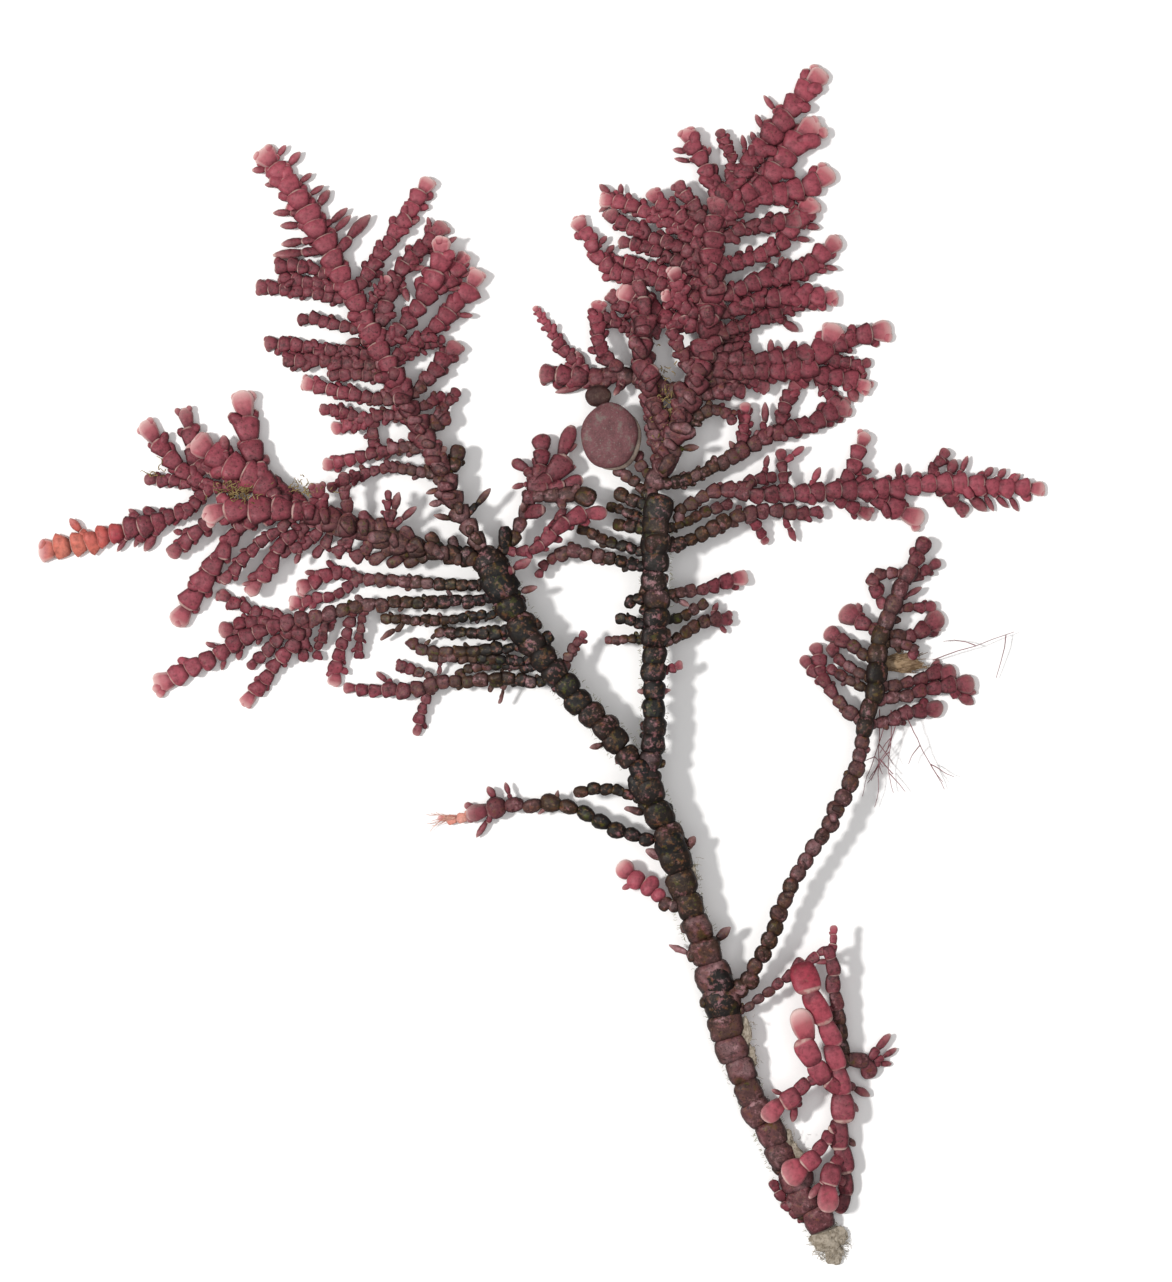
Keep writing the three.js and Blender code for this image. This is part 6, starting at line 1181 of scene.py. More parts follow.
def lay_frond(name, frond, laid_by, dice):
    """Every segment of a frond. Its laid paths are kept for what grows from them."""
    made, laid = [], []
    parent = laid_by.get(PARENT.get(name), [])
    for number, row in enumerate(frond["branches"]):
        foot_width, tip_width, tip_height, foot_tone, tip_tone, path = row
        root, away = root_of(laid, parent, *path[0][:2])
        if root is not None and away > ROOTED:
            path = [(root[0], root[1], foot_width)] + path
        foot_height = frond["foot_height"] if root is None else root[2]
        laid.append(lay_path(path, (foot_width, tip_width), (foot_height, tip_height)))
        made += lay_branch((name, number), frond["flatness"], laid[-1], (foot_tone, tip_tone), dice)
    made += knots(name, laid[0], dice)
    for row in frond["pinnules"]:
        made += pinnule(laid, *row)
    laid_by[name] = laid
    return made


dice = random.Random(11)
laid_by = {}
segments_of = {name: lay_frond(name, frond, laid_by, dice) for name, frond in FRONDS.items()}
print("segments:", {name: len(made) for name, made in segments_of.items()})

# %% [markdown]
# A living skin takes dozens of shader nodes, so a few helpers come first: noise by its size in
# millimetres, ramps, sums, and one colour laid over another. A colour that was read off the plant is
# turned into the one that looks like it under these lamps.

# %% Make helpers for the shaders
# White on the table is this bright, and the gloss adds a little grey haze.
LIGHT = 1.22
HAZE = 0.018
DARKEST = 0.003


def seen(hex_colour):
    """The colour that a skin needs to look like this under the lights."""
    return tuple(max(DARKEST, (c - HAZE) / LIGHT) for c in linear(hex_colour)[:3]) + (1.0,)


def grey(value):
    """A grey of this brightness."""
    return (value, value, value, 1.0)


def mm_coordinates(tree):
    """Object coordinates in millimetres."""
    place = add(tree, "ShaderNodeTexCoord").outputs["Object"]
    scaled = add(tree, "ShaderNodeMapping", {"Scale": (1 / MM,) * 3}, {"Vector": place})
    return scaled.outputs["Vector"]


def clouds(tree, vector, size, detail=3.0, roughness=0.55):
    """Noise whose blotches are about this many millimetres wide."""
    look = {"Scale": 1 / size, "Detail": detail, "Roughness": roughness}
    return add(tree, "ShaderNodeTexNoise", look, {"Vector": vector}).outputs["Fac"]


def ramp(tree, source, stops):
    """A colour ramp with (place, colour) stops."""
    node = add(tree, "ShaderNodeValToRGB", links={"Fac": source})
    while len(node.color_ramp.elements) > 1:
        node.color_ramp.elements.remove(node.color_ramp.elements[0])
    node.color_ramp.elements[0].position = stops[0][0]
    node.color_ramp.elements[0].color = stops[0][1]
    for place, colour in stops[1:]:
        node.color_ramp.elements.new(place).color = colour
    return node.outputs["Color"]


def grey_ramp(tree, source, *stops):
    """A ramp of greys, for shares: (place, brightness) stops."""
    return ramp(tree, source, [(place, grey(value)) for place, value in stops])


def feed(tree, node, values):
    """Gives a node's sockets numbers, colours or links, whichever each one is."""
    for socket, value in values:
        if isinstance(value, (int, float, tuple)):
            node.inputs[socket].default_value = value
        else:
            tree.links.new(value, node.inputs[socket])


def blend(tree, kind, factor, below, above):
    """Lays one colour over another. The factor is a socket or a number."""
    node = add(tree, "ShaderNodeMix", data_type="RGBA", blend_type=kind)
    feed(tree, node, ((0, factor), (6, below), (7, above)))
    return node.outputs[2]


def times(tree, first, second, operation="MULTIPLY"):
    """The product of two values, or another sum of them."""
    node = add(tree, "ShaderNodeMath", operation=operation)
    feed(tree, node, enumerate((first, second)))
    return node.outputs["Value"]


def about_zero(tree, value, share):
    """A value from 0 to 1 moved to lie about zero, and scaled."""
    return times(tree, times(tree, value, 0.5, "SUBTRACT"), share)


def value_of(tree, name):
    """A value that the mesh carries at its points."""
    return add(tree, "ShaderNodeAttribute", attribute_name=name).outputs["Fac"]


WET_LIME = {"IOR": 1.42, "Specular IOR Level": 0.3}
print("dusty rose is mixed as:", [round(c, 3) for c in seen("#7B4149")[:3]])

# %% [markdown]
# The plant's skin is a thin living layer over lime, matt with a faint wet gloss. Its colour follows age:
# olive-black where old, dusty rose along the fronds, pink to white where it grows. One material serves
# every frond and reads the tone that each segment carries.

# %% Mix the colour of the plant by age
# Colour by tone as it looks on the plant, from the oldest lime to the youngest and on to coral and root.
AGES = [
    (0.00, "#26261B"), (0.10, "#2F2B20"), (0.22, "#4A3930"), (0.34, "#684A4A"), (0.45, "#704347"),
    (0.60, "#7B4149"), (0.72, "#88464F"), (0.82, "#944C56"), (0.90, "#9E505B"), (0.97, "#A6545F"),
    (1.08, "#9B404C"), (1.20, "#B65A55"), (1.40, "#CF7969"), (1.52, "#DAA395"), (1.70, "#97937F"),
]
OLDEST_TONE = 2.0
# The hues of the patches on old lime, from green over rust to mauve.
OLD_HUES = [(0.33, "#484A26"), (0.42, "#5F4A2F"), (0.48, "#704A3A"), (0.54, "#86595E"), (0.66, "#9E7A7D")]


def skin_inputs(tree):
    """What the skin reads: place, age and the position on the segment."""
    uv_map = add(tree, "ShaderNodeUVMap", uv_map="skin").outputs["UV"]
    uv = add(tree, "ShaderNodeSeparateXYZ", links={"Vector": uv_map})
    off_middle = times(tree, times(tree, uv.outputs["X"], 0.5, "SUBTRACT"), 2.0)
    given = {name: value_of(tree, name) for name in ("tone", "pale", "chance")}
    given.update(place=mm_coordinates(tree), up=uv.outputs["Y"], edge=times(tree, off_middle, off_middle))
    return given


def aged_colour(tree, given):
    """The age, nudged by broad clouds and by each segment's own chance, and its colour."""
    age = times(tree, given["tone"], about_zero(tree, clouds(tree, given["place"], 3.0, 2.0), 0.30), "ADD")
    age = times(tree, age, about_zero(tree, given["chance"], 0.10), "ADD")
    stops = [(tone / OLDEST_TONE, seen(colour)) for tone, colour in AGES]
    return age, ramp(tree, times(tree, age, 1 / OLDEST_TONE), stops)


def old_patches(tree, given, colour):
    """Old segments wear cloudy mauve, rust and green patches on their crowns."""
    old = grey_ramp(tree, given["tone"], (0.40, 1), (0.56, 0))
    crown = grey_ramp(tree, given["edge"], (0.05, 1), (0.75, 0))
    patch = grey_ramp(tree, clouds(tree, given["place"], 0.45, 4.0, 0.65), (0.50, 0), (0.61, 1))
    whole = grey_ramp(tree, given["chance"], (0.78, 0), (0.90, 0.75))
    patch = times(tree, times(tree, times(tree, patch, whole, "MAXIMUM"), crown), old)
    leaning = about_zero(tree, given["chance"], 0.22)
    hue = times(tree, clouds(tree, given["place"], 1.6), leaning, "ADD")
    hues = ramp(tree, hue, [(at, seen(hex_colour)) for at, hex_colour in OLD_HUES])
    return blend(tree, "MIX", times(tree, patch, 0.85), colour, hues)


print("colours by age:", len(AGES))

# %% [markdown]
# Seen close, young lime is cloudy in rose and brown, olive where diatoms sit, with dark specks and pale
# flecks. Each is a noise made into a mask by a ramp, and its strength depends on the age.

# %% Cloud and speckle the skin
def mottling(tree, colour, small):
    """Rose and brown by turns, about half a millimetre wide."""
    return blend(tree, "MULTIPLY", 1.0, colour, grey_ramp(tree, small, (0.32, 0.62), (0.50, 1), (0.70, 1.25)))


def diatom_film(tree, given, colour):
    """Olive films where diatoms sit, mostly on older lime."""
    film = grey_ramp(tree, clouds(tree, given["place"], 0.75, 5.0, 0.75), (0.52, 0), (0.62, 1))
    share = grey_ramp(tree, given["tone"], (0.0, 0.7), (0.60, 0.6), (0.72, 0.15), (0.9, 0))
    return blend(tree, "MIX", times(tree, film, share), colour, seen("#302A1E"))


def specks_and_flecks(tree, given, colour):
    """Fine dark specks, and pale flecks of sand."""
    specks = grey_ramp(tree, clouds(tree, given["place"], 0.20, 2.0), (0.58, 0), (0.66, 1))
    share = grey_ramp(tree, times(tree, given["tone"], 0.5), (0.36, 0.6), (0.46, 0.12))
    colour = blend(tree, "MIX", times(tree, specks, share), colour, seen("#33251F"))
    flecks = grey_ramp(tree, clouds(tree, given["place"], 0.30, 2.0, 0.4), (0.64, 0), (0.70, 1))
    share = grey_ramp(tree, given["tone"], (0.10, 0.5), (0.45, 0.35), (0.70, 0.25))
    return blend(tree, "MIX", times(tree, flecks, share), colour, seen("#86695A"))


print("spots: mottling, film, specks and flecks")

# %% [markdown]
# Each segment is darkened with painted shade at its edges, where its sides turn away from the light, and
# at its foot, where it tucks under the segment below. A pale line marks the joint at its top, where the lime
# wears thin. A growing end has no pigment yet, so it fades over a blush to nearly white.

# %% Paint shade on the edges and feet, and mark the joints and the growing ends
def painted_edge_shade_and_joints(tree, given, colour, age):
    """Paints shade on the edges and on the foot, and a pale line marks each joint."""
    # Painted shade: the edges darken towards a near-black brown, more on old lime than on young.
    rim = grey_ramp(tree, given["edge"], (0.50, 0), (0.95, 1))
    share = grey_ramp(tree, age, (0.2, 0.8), (0.75, 0.62), (0.92, 0.2), (1.0, 0.1))
    colour = blend(tree, "MIX", times(tree, rim, share), colour, seen("#30251D"))
    # Painted shade: the foot of each segment, tucked under the one below, is darkened.
    foot = grey_ramp(tree, given["up"], (0.0, 0.42), (0.24, 1))
    colour = blend(tree, "MULTIPLY", 0.85, colour, foot)
    joint = grey_ramp(tree, given["up"], (0.88, 0), (0.95, 1))
    worn = grey_ramp(tree, clouds(tree, given["place"], 0.8), (0.40, 0.25), (0.58, 1))
    young = grey_ramp(tree, given["tone"], (0.40, 0), (0.62, 1))
    joint = times(tree, times(tree, joint, worn), times(tree, young, 0.85))
    return blend(tree, "MIX", joint, colour, seen("#CDB0A6"))


def growing_end(tree, given, colour):
    """The growing end has no pigment yet."""
    blush = times(tree, grey_ramp(tree, given["up"], (0.15, 0.05), (0.85, 0.85)), given["pale"])
    colour = blend(tree, "MIX", blush, colour, seen("#C98083"))
    ending = grey_ramp(tree, given["up"], (0.52, 0), (0.82, 0.45), (0.96, 1))
    ending = times(tree, ending, grey_ramp(tree, given["edge"], (0.50, 0), (0.95, 0.6)), "ADD")
    clamped = add(tree, "ShaderNodeClamp", links={"Value": times(tree, ending, given["pale"])})
    share = times(tree, clamped.outputs["Result"], 0.85)
    return blend(tree, "MIX", share, colour, seen("#EBD0CA"))


def plant_skin():
    """The whole skin, with a fine grain that the light catches."""
    skin, tree, output = new_material("living limy skin of a coralline seaweed")
    given = skin_inputs(tree)
    small = clouds(tree, given["place"], 0.45, 4.0, 0.6)
    age, colour = aged_colour(tree, given)
    colour = old_patches(tree, given, colour)
    colour = mottling(tree, colour, small)
    colour = diatom_film(tree, given, colour)
    colour = specks_and_flecks(tree, given, colour)
    colour = painted_edge_shade_and_joints(tree, given, colour, age)
    colour = growing_end(tree, given, colour)
    grain = clouds(tree, given["place"], 0.14, 3.0, 0.6)
    height = times(tree, times(tree, grain, 0.35), small, "ADD")
    bump = add(tree, "ShaderNodeBump", {"Strength": 0.45, "Distance": 0.10 * MM}, {"Height": height})
    gloss = grey_ramp(tree, small, (0.3, 0.62), (0.7, 0.42))
    finish(tree, output, WET_LIME, {
        "Base Color": colour, "Roughness": gloss, "Normal": bump.outputs["Normal"],
    })
    return skin


PLANT_SKIN = plant_skin()
print("material:", PLANT_SKIN.name, "with nodes:", len(PLANT_SKIN.node_tree.nodes))

# %% [markdown]
# A tree of Geometry Nodes takes a mesh in and gives one out. The three below end in the same way:
# whatever would sink into the table is pressed flat on it, as the low tips of the real plant are, and the
# shape is made real and gets its skin.

# %% Make helpers for the trees
SOCKETS = {
    "geometry": "NodeSocketGeometry", "collection": "NodeSocketCollection", "material": "NodeSocketMaterial",
    "int": "NodeSocketInt", "float": "NodeSocketFloat",
}


def new_tree(name, **inputs):
    """A tree with a geometry in and out and more inputs, each name with its kind."""
    tree = bpy.data.node_groups.new(name, "GeometryNodeTree")
    tree.interface.new_socket("Geometry", in_out="INPUT", socket_type=SOCKETS["geometry"])
    for key, kind in inputs.items():
        tree.interface.new_socket(key.replace("_", " "), in_out="INPUT", socket_type=SOCKETS[kind])
    tree.interface.new_socket("Geometry", in_out="OUTPUT", socket_type=SOCKETS["geometry"])
    return tree, add(tree, "NodeGroupInput").outputs, add(tree, "NodeGroupOutput")


def named(tree, name, kind):
    """A value that the mesh carries, by its name and its kind."""
    return add(tree, "GeometryNodeInputNamedAttribute", {"Name": name}, data_type=kind).outputs["Attribute"]


def pressed_flat(tree, shape):
    """Presses whatever would sink into the table flat on it."""
    place = add(tree, "GeometryNodeInputPosition").outputs["Position"]
    parts = add(tree, "ShaderNodeSeparateXYZ", links={"Vector": place}).outputs
    lifted = add(tree, "ShaderNodeMath", {1: 0.0}, {0: parts["Z"]}, operation="MAXIMUM").outputs["Value"]
    place = add(tree, "ShaderNodeCombineXYZ", links={"X": parts["X"], "Y": parts["Y"], "Z": lifted})
    moved = {"Geometry": shape, "Position": place.outputs["Vector"]}
    flat = add(tree, "GeometryNodeSetPosition", links=moved)
    return flat.outputs["Geometry"]


def shaded_smooth(tree, shape):
    """Smooth shading, and instances made real."""
    smooth = add(tree, "GeometryNodeSetShadeSmooth", {"Shade Smooth": True}, {"Geometry": shape})
    whole = add(tree, "GeometryNodeRealizeInstances", links={"Geometry": smooth.outputs["Geometry"]})
    return whole.outputs["Geometry"]


def coat(tree, output, shape, skin):
    """Gives the shape its skin and ends the tree."""
    coated = add(tree, "GeometryNodeSetMaterial", links={"Geometry": shape, "Material": skin})
    tree.links.new(coated.outputs["Geometry"], output.inputs["Geometry"])


print("kinds of tree input:", ", ".join(SOCKETS))

# %% [markdown]
# The first tree stands a unit on every point, joins and smooths them, and swells them by soft noise,
# because no two beads of lime grow alike. The noise is fixed, so the plant comes out the same each time.

# %% Build the tree that grows segments
def segment_tree():
    """Stands a unit on every point and swells the whole by soft noise."""
    tree, given, output = new_tree("rows of segments", Units="collection", Skin="material", Smoothing="int",
                                   Lump_width="float", Lump_height="float")
    one_by_one = {"Separate Children": True, "Reset Children": True}
    shelf = add(tree, "GeometryNodeCollectionInfo", one_by_one, {"Collection": given["Units"]})
    turn = add(tree, "FunctionNodeEulerToRotation", links={"Euler": named(tree, "turn", "FLOAT_VECTOR")})
    stood = add(tree, "GeometryNodeInstanceOnPoints", {"Pick Instance": True}, {
        "Points": given["Geometry"], "Instance": shelf.outputs["Instances"],
        "Instance Index": named(tree, "unit", "INT"), "Rotation": turn.outputs["Rotation"],
        "Scale": named(tree, "size", "FLOAT_VECTOR"),
    })
    real = add(tree, "GeometryNodeRealizeInstances", links={"Geometry": stood.outputs["Instances"]})
    smooth = add(tree, "GeometryNodeSubdivisionSurface", links={
        "Mesh": real.outputs["Geometry"], "Level": given["Smoothing"],
    })
    place = add(tree, "GeometryNodeInputPosition").outputs["Position"]
    per_width = times(tree, 1.0, given["Lump width"], "DIVIDE")
    noise = add(tree, "ShaderNodeTexNoise", {"Detail": 2.0}, {"Vector": place, "Scale": per_width})
    swell = times(tree, times(tree, noise.outputs["Fac"], 0.5, "SUBTRACT"), given["Lump height"])
    outward = add(tree, "GeometryNodeInputNormal").outputs["Normal"]
    offset = add(tree, "ShaderNodeVectorMath", links={0: outward, "Scale": swell}, operation="SCALE")
    lumpy = add(tree, "GeometryNodeSetPosition", links={
        "Geometry": smooth.outputs["Mesh"], "Offset": offset.outputs["Vector"],
    })
    coat(tree, output, shaded_smooth(tree, pressed_flat(tree, lumpy.outputs["Geometry"])), given["Skin"])
    return tree


SEGMENT_TREE = segment_tree()
print("tree nodes:", len(SEGMENT_TREE.nodes))

# %% [markdown]
# The tree needs points that carry what each segment was given. A segment tilts a little so that its top
# laps over the next, as tiles do. The result is taken as a plain mesh, since instances don't survive an
# export.

# %% Grow every frond
# Degrees (on average, spread) by which a segment tilts, rolls and turns aside.
TILT = (3, 3)
ROLL = (0, 9)
ASIDE = (0, 4.5)
THINNEST = 0.36
# A chance number over 0.8 gives an old segment a mauve crown, so this is how often each kind has one.
CHANCES = {"bead": (0, 0.84), "barrel": (0, 0.9), "drum": (0.5, 1), "link": (0.5, 1)}
SMOOTHED = OLD + ("pink_bead_shoot", "basal_shoots")
# Width and height in mm of the lumps that swell a frond's segments.
LUMPS = {
    "main_stem": (0.8, 0.42), "left_arm": (0.8, 0.42), "right_arm": (0.8, 0.42),
    "pink_bead_shoot": (1.0, 0.08), "basal_shoots": (1.0, 0.14),
}
USUAL_LUMPS = (0.6, 0.10)


def turn_of(way, dice):
    """The turn that points a unit's +Y along the way, a little off."""
    right = way.cross(Vector((0, 0, 1))).normalized()
    turn = Matrix((right, way, right.cross(way))).transposed()
    pitch = Matrix.Rotation(math.radians(dice.gauss(*TILT)), 3, "X")
    roll = Matrix.Rotation(math.radians(dice.gauss(*ROLL)), 3, "Y")
    yaw = Matrix.Rotation(math.radians(dice.gauss(*ASIDE)), 3, "Z")
    return (turn @ yaw @ roll @ pitch).to_euler()


def size_of(segment):
    """Width, length and thickness in mm, so thin that the segment stays under the ceiling."""
    room = 2 * (CEILING - max(segment.place.z, segment.place.z + segment.way.z))
    return segment.wide, segment.way.length, max(min(segment.thick, room), THINNEST)


def put_in_scene(name, mesh):
    """A new object in the scene."""
    made = bpy.data.objects.new(name, mesh)
    bpy.context.scene.collection.objects.link(made)
    return made


def point_cloud(name, segments, dice):
    """A mesh of loose points that carry what the tree needs."""
    mesh = bpy.data.meshes.new(name)
    mesh.from_pydata([(segment.place + SHIFT) * MM for segment in segments], [], [])
    turns = [turn_of(segment.way.normalized(), dice) for segment in segments]
    numbers = [dice.choice(UNIT_OF[segment.kind]) for segment in segments]
    chances = [dice.uniform(*CHANCES.get(segment.kind, (0, 1))) for segment in segments]
    columns = {
        "turn": ("FLOAT_VECTOR", "vector", [angle for turn in turns for angle in turn]),
        "size": ("FLOAT_VECTOR", "vector", [side * MM for segment in segments for side in size_of(segment)]),
        "unit": ("INT", "value", numbers),
        "tone": ("FLOAT", "value", [segment.tone for segment in segments]),
        "pale": ("FLOAT", "value", [segment.pale for segment in segments]),
        "chance": ("FLOAT", "value", chances),
    }
    for key, (kind, field, values) in columns.items():
        mesh.attributes.new(key, kind, "POINT").data.foreach_set(field, values)
    return put_in_scene(name, mesh)


def grow(host, tree, **inputs):
    """Runs a tree on an object and keeps its result as the object's plain mesh."""
    modifier = host.modifiers.new("grow", "NODES")
    modifier.node_group = tree
    sockets = {item.name: item.identifier for item in tree.interface.items_tree if item.in_out == "INPUT"}
    for name, value in inputs.items():
        modifier[sockets[name.replace("_", " ")]] = value
    host.update_tag()
    graph = bpy.context.evaluated_depsgraph_get()
    grown = host.evaluated_get(graph)
    mesh = bpy.data.meshes.new_from_object(grown, preserve_all_data_layers=True, depsgraph=graph)
    host.modifiers.remove(modifier)
    host.data = mesh
    for name in ("turn", "size", "unit"):
        if name in mesh.attributes:
            mesh.attributes.remove(mesh.attributes[name])
    return host


def dress(piece, node):
    """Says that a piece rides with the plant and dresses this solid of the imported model."""
    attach(piece, "root")
    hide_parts(node)
    return piece


triangles = {}
for name, segments in segments_of.items():
    # The tuft is a felt of fibres and gets no segments. It is built last.
    if name == "basal_tuft":
        continue
    piece = point_cloud(name + "_segments", segments, dice)
    lump_width, lump_height = LUMPS.get(name, USUAL_LUMPS)
    grow(piece, SEGMENT_TREE, Units=units, Skin=PLANT_SKIN, Smoothing=int(name in SMOOTHED),
         Lump_width=lump_width * MM, Lump_height=lump_height * MM)
    dress(piece, name)
    triangles[name] = sum(len(face.vertices) - 2 for face in piece.data.polygons)
print("triangles:", triangles)

# %% [markdown]
# Two round crusts grow on the crown frond: a thin disc with a membrane at its edge, and a dark knob. They
# are coralline too, but spread as a skin instead of standing up, so each gets a low, granular relief.

# %% Mix the skins of the crusts
def crust_skin(name, stops, specks_colour):
    """A granular lime skin with (place, colour) stops and specks of another colour."""
    skin, tree, output = new_material(name)
    place = mm_coordinates(tree)
    colour = ramp(tree, clouds(tree, place, 0.9, 4.0, 0.6), [(at, seen(c)) for at, c in stops])
    fine = clouds(tree, place, 0.14, 2.0)
    colour = blend(tree, "MULTIPLY", 0.8, colour, grey_ramp(tree, fine, (0.35, 0.72), (0.60, 1.0)))
    specks = grey_ramp(tree, clouds(tree, place, 0.20, 2.0), (0.62, 0), (0.70, 1))
    colour = blend(tree, "MIX", times(tree, specks, 0.4), colour, seen(specks_colour))
    bump = add(tree, "ShaderNodeBump", {"Strength": 0.5, "Distance": 0.08 * MM}, {"Height": fine})
    finish(tree, output, dict(WET_LIME, Roughness=0.6), {
        "Base Color": colour, "Normal": bump.outputs["Normal"],
    })
    return skin


disc_skin = crust_skin("purple-brown crust lime", [
    (0.30, "#65474A"), (0.45, "#755052"), (0.55, "#7E5458"), (0.68, "#7F6F6A"),
], "#8A837C")
knob_skin = crust_skin("dark brown crust lime", [
    (0.30, "#362A27"), (0.48, "#4B3634"), (0.60, "#553F3B"), (0.70, "#63524A"),
], "#2B211E")
membrane_skin = crust_skin("grey-beige membrane", [
    (0.30, "#6E5F58"), (0.48, "#8B7C72"), (0.70, "#A09386"),
], "#6B5F55")
print("crust skins:", [skin.name for skin in (disc_skin, knob_skin, membrane_skin)])

# %% [markdown]
# The dome is closed below, because a crust has an underside even where it clings. From its rounded edge
# the top rises in a shallow arc.

# %% Grow the two crusts
KNOB = dict(x=4.95, y=22.9, half_width=1.1, half_length=0.95, underside=2.15, thickness=0.8)
MEMBRANE = dict(x=6.32, y=19.25, half_width=2.25, half_length=2.75, underside=3.25, thickness=0.32)
CRUST_SIDES = 72
# The dome's rings as (share of the height, share of the outline), from the underside to the shoulder.
RIM = [(0.10, 0.30), (0.0, 0.86), (0.05, 0.95), (0.25, 1.0), (0.50, 0.985), (0.70, 0.94), (0.83, 0.86)]
SHOULDER = 0.86
SHOULDER_RISE = 0.83
DOME_RISE = 0.17
DOME = (0.76, 0.64, 0.51, 0.38, 0.25, 0.12)


def crust(name, size, skin, node):
    """A closed dome: a flat underside, a rounded edge and a gently lumpy top."""
    profile = RIM + [(SHOULDER_RISE + DOME_RISE * math.sqrt(1 - (r / SHOULDER) ** 2), r) for r in DOME]
    shape = bmesh.new()
    rings = []
    for rise, share in profile:
        height = size["underside"] + size["thickness"] * rise
        rings.append([
            shape.verts.new((Vector((size["x"] + x * share, size["y"] + y * share, height)) + SHIFT) * MM)
            for x, y in crust_edge(size, CRUST_SIDES)
        ])
    close_rings(shape, rings)
    bmesh.ops.recalc_face_normals(shape, faces=shape.faces)
    piece = put_in_scene(name, mesh_of(name, shape))
    piece.data.polygons.foreach_set("use_smooth", [True] * len(piece.data.polygons))
    piece.data.materials.append(skin)
    return dress(piece, node)


crusts = [
    crust("crust_disc_dome", DISC, disc_skin, "crust_disc"),
    crust("crust_disc_membrane", MEMBRANE, membrane_skin, "crust_disc"),
    crust("crust_knob_dome", KNOB, knob_skin, "crust_knob"),
]
print("crusts:", [piece.name for piece in crusts])

# %% [markdown]
# Hair-thin things finish the plant: red filaments of another alga, films of diatoms, hairs on the old
# stem and the fibres of the root. All are strands: lines that keep roughly to a heading and wander off
# it, by seeded dice.

# %% Draw wandering lines
UNEVEN = 0.05
FORK_ANGLES = (25, 55)
FORK_LENGTHS = (0.15, 0.35)
FORK_SINK = 0.1


def heading_way(degrees):
    """The level direction of a heading."""
    return Vector((math.cos(math.radians(degrees)), math.sin(math.radians(degrees)), 0))


def wander(start, heading, length, wobble, dice, sink=0.0, steps=7):
    """A line that keeps roughly to its heading, in degrees, and sinks by so much on its way."""
    points = [Vector(start)]
    for _ in range(steps):
        heading += dice.gauss(0, wobble)
        step = heading_way(heading) * length / steps
        step.z = -sink / steps + dice.gauss(0, UNEVEN) * length / steps
        points.append(points[-1] + step)
    return points


def forked(start, heading, length, wobble, dice, sink, forks):
    """A filament with shorter ones that branch off it."""
    lines = [wander(start, heading, length, wobble, dice, sink, 12)]
    for _ in range(forks):
        at = lines[0][dice.randint(4, 10)]
        aside = dice.choice((-1, 1)) * dice.uniform(*FORK_ANGLES)
        reach = length * dice.uniform(*FORK_LENGTHS)
        lines.append(wander(at, heading + aside, reach, wobble, dice, FORK_SINK))
    return lines


print("a wandering line has points:", len(wander((0, 0, 0), 0, 1, 5, random.Random(1))))

# %% [markdown]
# A second tree turns every line into a thin tube. A curve with a bevel could do it too, but a tree gives
# each point a thickness of its own.

# %% Build the tree that grows strands
def strand_tree():
    """Turns every line into a tube as thick as its points say."""
    tree, given, output = new_tree("strands", Skin="material", Sides="int")
    curve = add(tree, "GeometryNodeMeshToCurve", links={"Mesh": given["Geometry"]})
    circle = add(tree, "GeometryNodeCurvePrimitiveCircle", {"Radius": 1.0}, {"Resolution": given["Sides"]})
    tube = add(tree, "GeometryNodeCurveToMesh", {"Fill Caps": True}, {
        "Curve": curve.outputs["Curve"], "Profile Curve": circle.outputs["Curve"],
        "Scale": named(tree, "thick", "FLOAT"),
    })
    coat(tree, output, shaded_smooth(tree, pressed_flat(tree, tube.outputs["Mesh"])), given["Skin"])
    return tree


STRAND_TREE = strand_tree()


def strands(name, lines, foot, tip, skin, node, sides=5):
    """One piece made of many strands, each this thick in mm at its foot and its tip."""
    points, edges, thick = [], [], []
    for line in lines:
        first = len(points)
        for i, point in enumerate(line):
            radius = (foot + (tip - foot) * i / (len(line) - 1)) / 2
            placed = point + SHIFT
            placed.z = max(placed.z, radius)
            points.append(placed * MM)
            thick.append(radius * MM)
        edges += [(k, k + 1) for k in range(first, len(points) - 1)]
    mesh = bpy.data.meshes.new(name)
    mesh.from_pydata(points, edges, [])
    mesh.attributes.new("thick", "FLOAT", "POINT").data.foreach_set("value", thick)
    return dress(grow(put_in_scene(name, mesh), STRAND_TREE, Skin=skin, Sides=sides), node)


print("tree nodes:", len(STRAND_TREE.nodes))

# %% [markdown]
# Threads this thin need no layers. One soft noise between two colours keeps them from looking like wire.

# %% Mix the skins of the threads
def thread_skin(name, colour, other, size, roughness=0.6):
    """A soft two-tone skin for filaments."""
    skin, tree, output = new_material(name)
    stops = [(0.42, seen(colour)), (0.60, seen(other))]
    mixed = ramp(tree, clouds(tree, mm_coordinates(tree), size), stops)
    finish(tree, output, {"Roughness": roughness, "Specular IOR Level": 0.3}, {"Base Color": mixed})
    return skin


red_filament = thread_skin("red filament, translucent when wet", "#93636A", "#7A5052", 1.5)
olive_film = thread_skin("golden-olive diatom film", "#A48E63", "#7A6743", 0.4, 0.8)
brown_film = thread_skin("brown gelatinous film", "#A0876B", "#7A624C", 0.5, 0.5)
fringe_hair = thread_skin("pale green hair", "#B0AE92", "#8E8B6C", 0.9, 0.8)
pale_fibre = thread_skin("pale salmon fibre", "#DDAE9D", "#C98D7C", 0.8)
sandy_root = thread_skin("sandy grey root felt", "#B0A596", "#8C8172", 0.35, 0.9)
root_fibre = thread_skin("grey-beige root fibre", "#BDB3A4", "#9A8F80", 0.5, 0.9)
print("materials so far:", len(bpy.data.materials))

# %% [markdown]
# Three filaments of the red alga were read point by point, and five more hang from the side frond and
# fork. Fine threads of a brown film lie over the frond's stalk.

